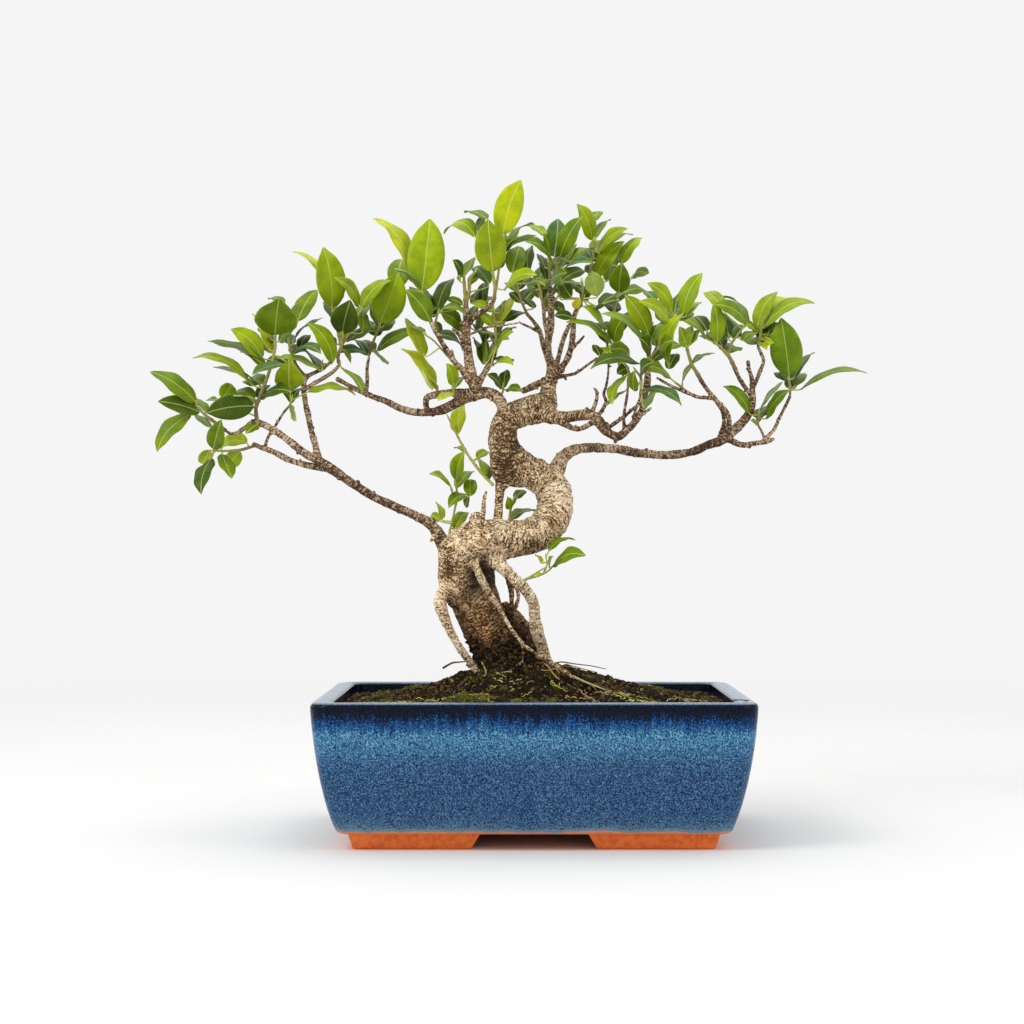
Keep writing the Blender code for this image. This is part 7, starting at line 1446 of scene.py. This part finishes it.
def build_soil():
    hx, hy, rad = RIM_HALF[0] - 15.7, RIM_HALF[1] - 15.7, 8.0
    nx, ny = 232, 174
    gx, gy = np.meshgrid(np.linspace(-hx, hx, nx), np.linspace(-hy, hy, ny))
    x, y = gx.ravel(), gy.ravel()
    cx, cy = np.clip(x, -(hx - rad), hx - rad), np.clip(y, -(hy - rad), hy - rad)
    dx, dy = x - cx, y - cy
    m = np.maximum(np.abs(dx), np.abs(dy))
    d = np.hypot(dx, dy)
    k = np.where(d > 1e-6, m / np.maximum(d, 1e-6), 1)
    x, y = cx + dx * k, cy + dy * k
    z = np.array([soil_height(a, b) for a, b in zip(x, y)])
    p = np.stack([x, y, np.zeros_like(x)], 1)
    inner = ease(np.minimum(hx - np.abs(x), hy - np.abs(y)), 0.0, 9.0)
    mound = ease(z, 99, 108)
    rough = fbm(p * 0.34, 3, 41) * 2.0 + fbm(p * 0.09, 2, 43) * (1.6 + 2.6 * mound) + np.abs(fbm(p * 0.8, 2, 47)) * 1.9
    z = z + rough * (0.45 + 0.55 * inner) - 0.6 * (1 - inner)
    tint_mix = ease(fbm(p * 0.05, 3, 53), -0.1, 0.5) * ease(fbm(p * 0.4, 2, 57), -0.3, 0.5)
    dark, olive = np.array(srgb(20, 14, 9)), np.array(srgb(92, 82, 34))
    tint = dark + (olive - dark) * (tint_mix * (0.75 - 0.25 * mound))[:, None]
    top = np.stack([x, y, z], 1)
    edge = [j for j in range(nx)] + [i * nx + nx - 1 for i in range(1, ny)] + [(ny - 1) * nx + j for j in range(nx - 2, -1, -1)] + [i * nx for i in range(ny - 2, 0, -1)]
    n = len(top)
    under = top[edge].copy()
    under[:, 2] = 82.0
    verts = np.concatenate([top, under])
    faces = [(i * nx + j, i * nx + j + 1, (i + 1) * nx + j + 1, (i + 1) * nx + j) for i in range(ny - 1) for j in range(nx - 1)]
    e = len(edge)
    faces += [(edge[i], n + i, n + (i + 1) % e, edge[(i + 1) % e]) for i in range(e)]
    faces.append(tuple(n + i for i in reversed(range(e))))
    make("soil_bed", verts, faces, [SOIL], stands_for=("soil",), slot="soil", colours={"tint": np.concatenate([tint, np.tile(dark, (e, 1))])})
    return hx, hy


HX, HY = build_soil()


def soil_top(x, y):
    return soil_height(x, y)


TRUNK_FEET = [(-14.0, 6.0, 19.0), (-2.0, 10.0, 16.0)]


MOSS = {"moss_front_left": (-106.0, -62.0, 25.0, 17.0), "moss_left": (-104.0, 14.0, 24.0, 18.0), "moss_front": (-47.0, -66.0, 22.0, 15.0),
        "moss_front_right": (2.0, -74.0, 19.0, 12.0), "moss_back_right": (86.0, 40.0, 26.0, 18.0)}


def in_moss(x, y):
    """How far inside a moss patch a point lies, 0 to 1."""
    return max(0.0, max(1 - ((x - cx) / rx) ** 2 - ((y - cy) / ry) ** 2 for cx, cy, rx, ry in MOSS.values()))


def build_grains():
    rnd = random.Random(11)
    heap = Heap()
    ico = [Vector(v).normalized() for v in ((0, 1, 1.618), (0, -1, 1.618), (0, 1, -1.618), (0, -1, -1.618), (1, 1.618, 0), (-1, 1.618, 0), (1, -1.618, 0), (-1, -1.618, 0), (1.618, 0, 1), (-1.618, 0, 1), (1.618, 0, -1), (-1.618, 0, -1))]
    bm = bmesh.new()
    for v in ico:
        bm.verts.new(v)
    bmesh.ops.convex_hull(bm, input=bm.verts)
    bm.verts.index_update()
    base_v = [v.co.copy() for v in bm.verts]
    base_f = [tuple(v.index for v in f.verts) for f in bm.faces]
    bm.free()
    kinds = [(srgb(18, 12, 8), 12), (srgb(44, 30, 18), 8), (srgb(104, 74, 42), 3.8), (srgb(168, 130, 80), 2.2), (srgb(120, 112, 38), 2.4), (srgb(214, 196, 158), 0.6)]
    for _ in range(5200):
        if rnd.random() < 0.45:
            a, d = rnd.uniform(0, 6.28), abs(rnd.gauss(0, 1))
            x, y = -10 + 52 * d * math.cos(a) * 0.8, 34 * d * math.sin(a) * 0.9
        else:
            x, y = rnd.uniform(-HX + 3, HX - 3), rnd.uniform(-HY + 3, HY - 3)
        if abs(x) > HX - 3 or abs(y) > HY - 3:
            continue
        r = rnd.uniform(0.55, 1.5) * (1.35 if rnd.random() < 0.12 else 1.0)
        z = soil_top(x, y) + r * 0.25 + rnd.uniform(0.0, 1.0)
        rot = Matrix.Rotation(rnd.uniform(0, 6.28), 3, Vector((rnd.gauss(0, 1), rnd.gauss(0, 1), rnd.gauss(0, 1))).normalized())
        sx, sy, sz = rnd.uniform(0.7, 1.6), rnd.uniform(0.7, 1.2), rnd.uniform(0.5, 0.9)
        v = []
        for c in base_v:
            q = Vector((c.x * sx, c.y * sy, c.z * sz)) * (r * rnd.uniform(0.8, 1.2))
            q.rotate(rot)
            v.append(q + Vector((x, y, z)))
        flat = min(1.0, abs(x + 12) / 80.0)
        col = rnd.choices([k for k, _ in kinds], [w * (1 + 4.5 * flat ** 2 * (i > 1)) for i, (_, w) in enumerate(kinds)])[0]
        if in_moss(x, y) > 0.3:
            z += 2.4 * in_moss(x, y)
            v = [q + Vector((0, 0, 2.4 * in_moss(x, y))) for q in v]
        heap.add(v, base_f, 0, None, {"tint": col})
    # earth and bits of moss caught on the foot of the trunk
    for _ in range(1500):
        q, m, a = rnd.choice(SKIN)
        if rnd.random() < a / 34.0:
            continue
        r = rnd.uniform(0.5, 1.6) * (1.5 if a < 10 and rnd.random() < 0.3 else 1.0)
        place = Vector(q) + Vector(m) * (r * 0.35)
        rot = Matrix.Rotation(rnd.uniform(0, 6.28), 3, Vector((rnd.gauss(0, 1), rnd.gauss(0, 1), rnd.gauss(0, 1))).normalized())
        v = []
        for c in base_v:
            g = Vector((c.x * 1.3, c.y, c.z * 0.8)) * (r * rnd.uniform(0.8, 1.2))
            g.rotate(rot)
            v.append(g + place)
        heap.add(v, base_f, 0, None, {"tint": rnd.choices([k for k, _ in kinds], [w for _, w in kinds])[0]})
    make("soil_grains", heap.v, heap.f, [SOIL], slot="soil", colours=heap.c, smooth=False)


build_grains()


def add_tuft(heap, rnd, x, y, z, height, colours, lean=0.6):
    """One moss shoot: a thin leaning spike of three sides."""
    a = rnd.uniform(0, 6.28)
    r = rnd.uniform(0.28, 0.48)
    tip = Vector((x + rnd.gauss(0, lean), y + rnd.gauss(0, lean), z + height))
    v = [Vector((x + r * math.cos(a + k * 2.094), y + r * math.sin(a + k * 2.094), z - 0.7)) for k in range(3)] + [tip]
    c = np.array(rnd.choice(colours)) * rnd.uniform(0.75, 1.25)
    # Each spike runs from a dark foot to a light tip: painted shade low in the moss.
    heap.add(v, [(2, 1, 0), (0, 1, 3), (1, 2, 3), (2, 0, 3)], 0, None, {"tint": [tuple(c * 0.45)] * 3 + [tuple(np.clip(c * 1.15, 0, 1))]})


GREENS = [srgb(98, 94, 30), srgb(124, 120, 38), srgb(74, 72, 24), srgb(150, 144, 50), srgb(84, 68, 34)]
BRIGHT = [srgb(168, 166, 52), srgb(150, 152, 44), srgb(190, 182, 78)]


def lobed(name, a):
    cx, cy, _, _ = MOSS[name]
    return 1.0 + 0.16 * math.sin(3 * a + cx * 0.1) + 0.09 * math.sin(5 * a + cy * 0.2) + 0.06 * math.sin(11 * a + cx)


def build_moss():
    """Ragged cushions: clumps of different heights, worn through to the soil in places."""
    for seed, (name, (cx, cy, rx, ry)) in enumerate(MOSS.items()):
        rnd = random.Random(60 + seed)
        heap = Heap()
        n, shares = 96, [1.0] + [1 - k / 26 for k in range(1, 26)]
        flat, tall = [], []
        for share in shares:
            for i in range(n):
                a = 2 * math.pi * i / n
                flat.append((cx + rx * share * lobed(name, a) * math.cos(a), cy + ry * share * lobed(name, a) * math.sin(a), 0))
                tall.append(share)
        flat, tall = np.array(flat), np.array(tall)
        clump = ease(fbm(flat * 0.16 + seed, 3, 70), -0.25, 0.35)
        rough = np.abs(fbm(flat * 0.55 + seed, 2, 71))
        h = 4.2 * np.sqrt(np.maximum(0.0, 1 - tall ** 2)) * (0.25 + 0.75 * clump) + rough * 1.6 * (1 - tall ** 4) - 0.5 * (tall > 0.99)
        base = np.array([soil_height(x, y) for x, y, _ in flat])
        v = np.stack([flat[:, 0], flat[:, 1], base + h], 1)
        m = len(shares)
        f = [(i * n + k, i * n + (k + 1) % n, (i + 1) * n + (k + 1) % n, (i + 1) * n + k) for i in range(m - 1) for k in range(n)]
        f.append(tuple(range((m - 1) * n, m * n)))
        f.append(tuple(reversed(range(n))))
        earth, olive = np.array(srgb(30, 22, 12)), np.array(srgb(112, 106, 34))
        mixed = np.clip(clump * 0.55 + fbm(flat * 0.7, 2, 72) * 0.7, 0, 1)[:, None]
        heap.add([tuple(q) for q in v], f, 0, None, {"tint": [tuple(c) for c in earth * (1 - mixed) + olive * mixed]})
        for _ in range(1500):
            a, d = rnd.uniform(0, 6.28), math.sqrt(rnd.random()) * 0.96
            x, y = cx + rx * d * lobed(name, a) * math.cos(a), cy + ry * d * lobed(name, a) * math.sin(a)
            at = np.array([[x, y, 0.0]])
            thick = float(ease(fbm(at * 0.16 + seed, 3, 70), -0.25, 0.35)[0])
            if rnd.random() > thick + 0.12 or noise(at * 0.5, 74)[0] < -0.15:
                continue
            z = soil_height(x, y) + 4.2 * math.sqrt(max(0.0, 1 - d ** 2)) * (0.25 + 0.75 * thick) + 0.3
            gay = noise(at * 0.25, 75)[0] > 0.35
            add_tuft(heap, rnd, x, y, z, rnd.uniform(0.6, 2.0), BRIGHT if gay and rnd.random() < 0.6 else GREENS, 0.9)
        make(name + "_tufts", heap.v, heap.f, [MOSS_LOOK], stands_for=(name,), slot="moss", colours=heap.c)
    rnd = random.Random(99)
    heap = Heap()
    for _ in range(3200):
        x = rnd.gauss(-16, 34)
        y = rnd.gauss(-14, 26)
        if abs(x) > HX - 4 or abs(y) > HY - 4:
            continue
        patch = noise(np.array([[x * 0.07, y * 0.07, 3.0]]), 8)[0] + 0.5 * noise(np.array([[x * 0.3, y * 0.3, 5.0]]), 9)[0]
        if patch < 0.12 and rnd.random() < 0.93:
            continue
        bright = math.exp(-((x + 25) ** 2 + (y + 34) ** 2) / 500.0) > rnd.random() * 0.9
        add_tuft(heap, rnd, x, y, soil_top(x, y) + 0.6, rnd.uniform(0.7, 2.2), BRIGHT if bright and rnd.random() < 0.4 else GREENS, 0.9)
    make("moss_on_mound", heap.v, heap.f, [MOSS_LOOK], slot="moss", colours=heap.c)


build_moss()


# ---------------------------------------------------------------- rootlets, twigs and fallen bits
def strand(heap, pts, r0, r1, colour, sides=7):
    path = [(Vector(p), r0 + (r1 - r0) * i / (len(pts) - 1)) for i, p in enumerate(pts)]
    v, f = tube(smooth_path(path, 1.5), sides, 0.0, 0.5)
    heap.add(v, f, 0, {"rib": 0.0, "along": 0.0, "under": 0.0, "edge": 0.0}, {"tint": colour})


def build_litter():
    heap = Heap()
    rnd = random.Random(5)
    tan, dark, straw = srgb(168, 140, 96), srgb(84, 60, 42), srgb(176, 160, 92)
    for u0, u1, side in ((530, 606, 1), (556, 628, 1), (470, 448, -1), (540, 590, -1), (572, 640, -1)):
        x0, x1 = (u0 - 521.5) * 0.75 - 9, (u1 - 521.5) * 0.75 - 9
        y0, y1 = rnd.uniform(-26, -8), rnd.uniform(-58, -22)
        pts = []
        for i in range(8):
            k = i / 7
            x, y = x0 + (x1 - x0) * k + rnd.uniform(-3, 3), y0 + (y1 - y0) * k + rnd.uniform(-4, 4)
            pts.append((x, y, soil_top(x, y) + 0.9 + (1.6 if 0 < i < 7 else -0.6) * rnd.random()))
        strand(heap, pts, rnd.uniform(0.5, 0.9), 0.3, rnd.choice([tan, straw, dark, dark]))
    # curling moss stems and fine pale roots, in clusters over the mound
    lime = [srgb(188, 188, 78), srgb(164, 166, 58), srgb(206, 200, 112), srgb(140, 140, 48)]
    for cx, cy, sx, sy, count, cols in ((-34, -60, 12, 7, 13, lime), (-24, -40, 7, 5, 6, lime), (-12, -26, 10, 6, 3, lime), (12, -34, 8, 7, 4, lime), (-66, -60, 12, 8, 9, lime),
                                        (62, -44, 18, 10, 16, lime + [straw]), (92, -58, 16, 9, 14, lime + [tan, straw, straw]), (34, -60, 12, 7, 6, [tan, straw]), (112, -40, 12, 12, 8, [tan, straw]), (-120, -70, 8, 8, 8, lime), (-98, -60, 14, 10, 12, lime), (-118, -50, 10, 14, 8, lime),
                                        (20, 48, 26, 12, 12, lime), (-60, 40, 20, 12, 8, lime), (70, 40, 20, 12, 8, lime), (-8, -52, 12, 6, 3, lime)):
        for _ in range(count):
            x, y = rnd.gauss(cx, sx * 0.6), rnd.gauss(cy, sy * 0.6)
            turn, bend = rnd.uniform(0, 6.28), rnd.uniform(-0.5, 0.5)
            pts = []
            for i in range(rnd.randint(5, 9)):
                lift = 0.9 + 1.8 * in_moss(x, y) + 1.6 * abs(math.sin(i * 1.3 + turn)) * rnd.uniform(0.5, 1.0)
                pts.append((x, y, soil_top(x, y) + lift))
                turn += bend + rnd.gauss(0, 0.45)
                x, y = x + 1.9 * math.cos(turn), y + 1.5 * math.sin(turn)
            if max(abs(q[0]) for q in pts) > HX - 4 or max(abs(q[1]) for q in pts) > HY - 4:
                continue
            strand(heap, pts, rnd.uniform(0.30, 0.52), 0.2, rnd.choice(cols), 6)
    d = lambda u, v, y: tuple(sight(u, v, y))
    strand(heap, [d(443, 668, -2), d(452, 663, -4), d(460, 662, -6), d(469, 661, -8)], 0.9, 0.4, dark)
    strand(heap, [d(548, 666, -6), d(560, 662, -10), d(576, 664, -14), d(592, 666, -18), d(606, 669, -22)], 0.6, 0.3, dark)
    strand(heap, [d(566, 664, -12), d(580, 668, -16), d(596, 672, -20)], 0.5, 0.3, tan)
    strand(heap, [d(482, 662, -12), d(486, 672, -20), d(485, 680, -28), d(492, 690, -38)], 0.7, 0.4, srgb(150, 146, 70))
    strand(heap, [d(574, 677, -37), d(590, 684, -44), d(606, 690, -52)], 1.0, 0.4, srgb(168, 160, 104))
    # a dried forked twig lying on the rim at the right
    z = 106.2
    strand(heap, [(140.0, -98.0, z), (145.0, -102.0, z + 0.4), (149.0, -108.0, z)], 0.5, 0.3, dark)
    strand(heap, [(145.0, -102.0, z + 0.4), (151.0, -101.5, z)], 0.4, 0.25, dark)
    make("rootlets_and_twigs", heap.v, heap.f, [STEM], attrs=heap.a, colours=heap.c, slot="root_bark")


build_litter()


# ---------------------------------------------------------------- studio
def build_stage():
    s = 9.0
    me = bpy.data.meshes.new("floor")
    n = 24
    v = [((i / n - 0.5) * 2 * s, (j / n - 0.5) * 2 * s, float(SHIFT.z)) for j in range(n + 1) for i in range(n + 1)]
    f = [(j * (n + 1) + i, j * (n + 1) + i + 1, (j + 1) * (n + 1) + i + 1, (j + 1) * (n + 1) + i) for j in range(n) for i in range(n)]
    me.from_pydata(v, [], f)
    ob = bpy.data.objects.new("floor", me)
    me.materials.append(floor_look())
    bpy.context.scene.collection.objects.link(ob)

    world = bpy.data.worlds.new("studio")
    bpy.context.scene.world = world
    world.use_nodes = True
    bg = world.node_tree.nodes["Background"]
    bg.inputs["Color"].default_value = (1.0, 1.0, 1.0, 1.0)
    bg.inputs["Strength"].default_value = 0.915

    def soft(name, place, aim, size, power):
        data = bpy.data.lights.new(name, "AREA")
        data.shape = "RECTANGLE"
        data.size, data.size_y = size
        data.energy = power
        lamp = bpy.data.objects.new(name, data)
        lamp.location = place
        lamp.rotation_euler = (Vector(aim) - Vector(place)).to_track_quat("-Z", "Y").to_euler()
        bpy.context.scene.collection.objects.link(lamp)
        return lamp

    soft("key", (-1.5, -1.3, 1.9), (0, 0, 0.22), (1.1, 1.1), 26)
    soft("fill", (1.8, -1.2, 1.1), (0, 0, 0.2), (1.4, 1.2), 7)
    soft("top", (0.1, 0.4, 2.2), (0, 0, 0.2), (1.6, 1.6), 12)

    cam = bpy.data.cameras.new("camera")
    cam.sensor_width = 36.0
    cam.lens = 36.0 * PICTURE / 1024.0
    cam.shift_x = -(MID_U - 512.0) / 1024.0
    cam.shift_y = (MID_V - 512.0) / 1024.0
    eye = bpy.data.objects.new("camera", cam)
    eye.location = Vector(STATION) * 0.001 + SHIFT
    eye.rotation_euler = (math.pi / 2, 0, 0)
    bpy.context.scene.collection.objects.link(eye)
    bpy.context.scene.camera = eye


build_stage()
bpy.context.scene.view_settings.view_transform = "Standard"
bpy.context.scene.view_settings.look = "None"
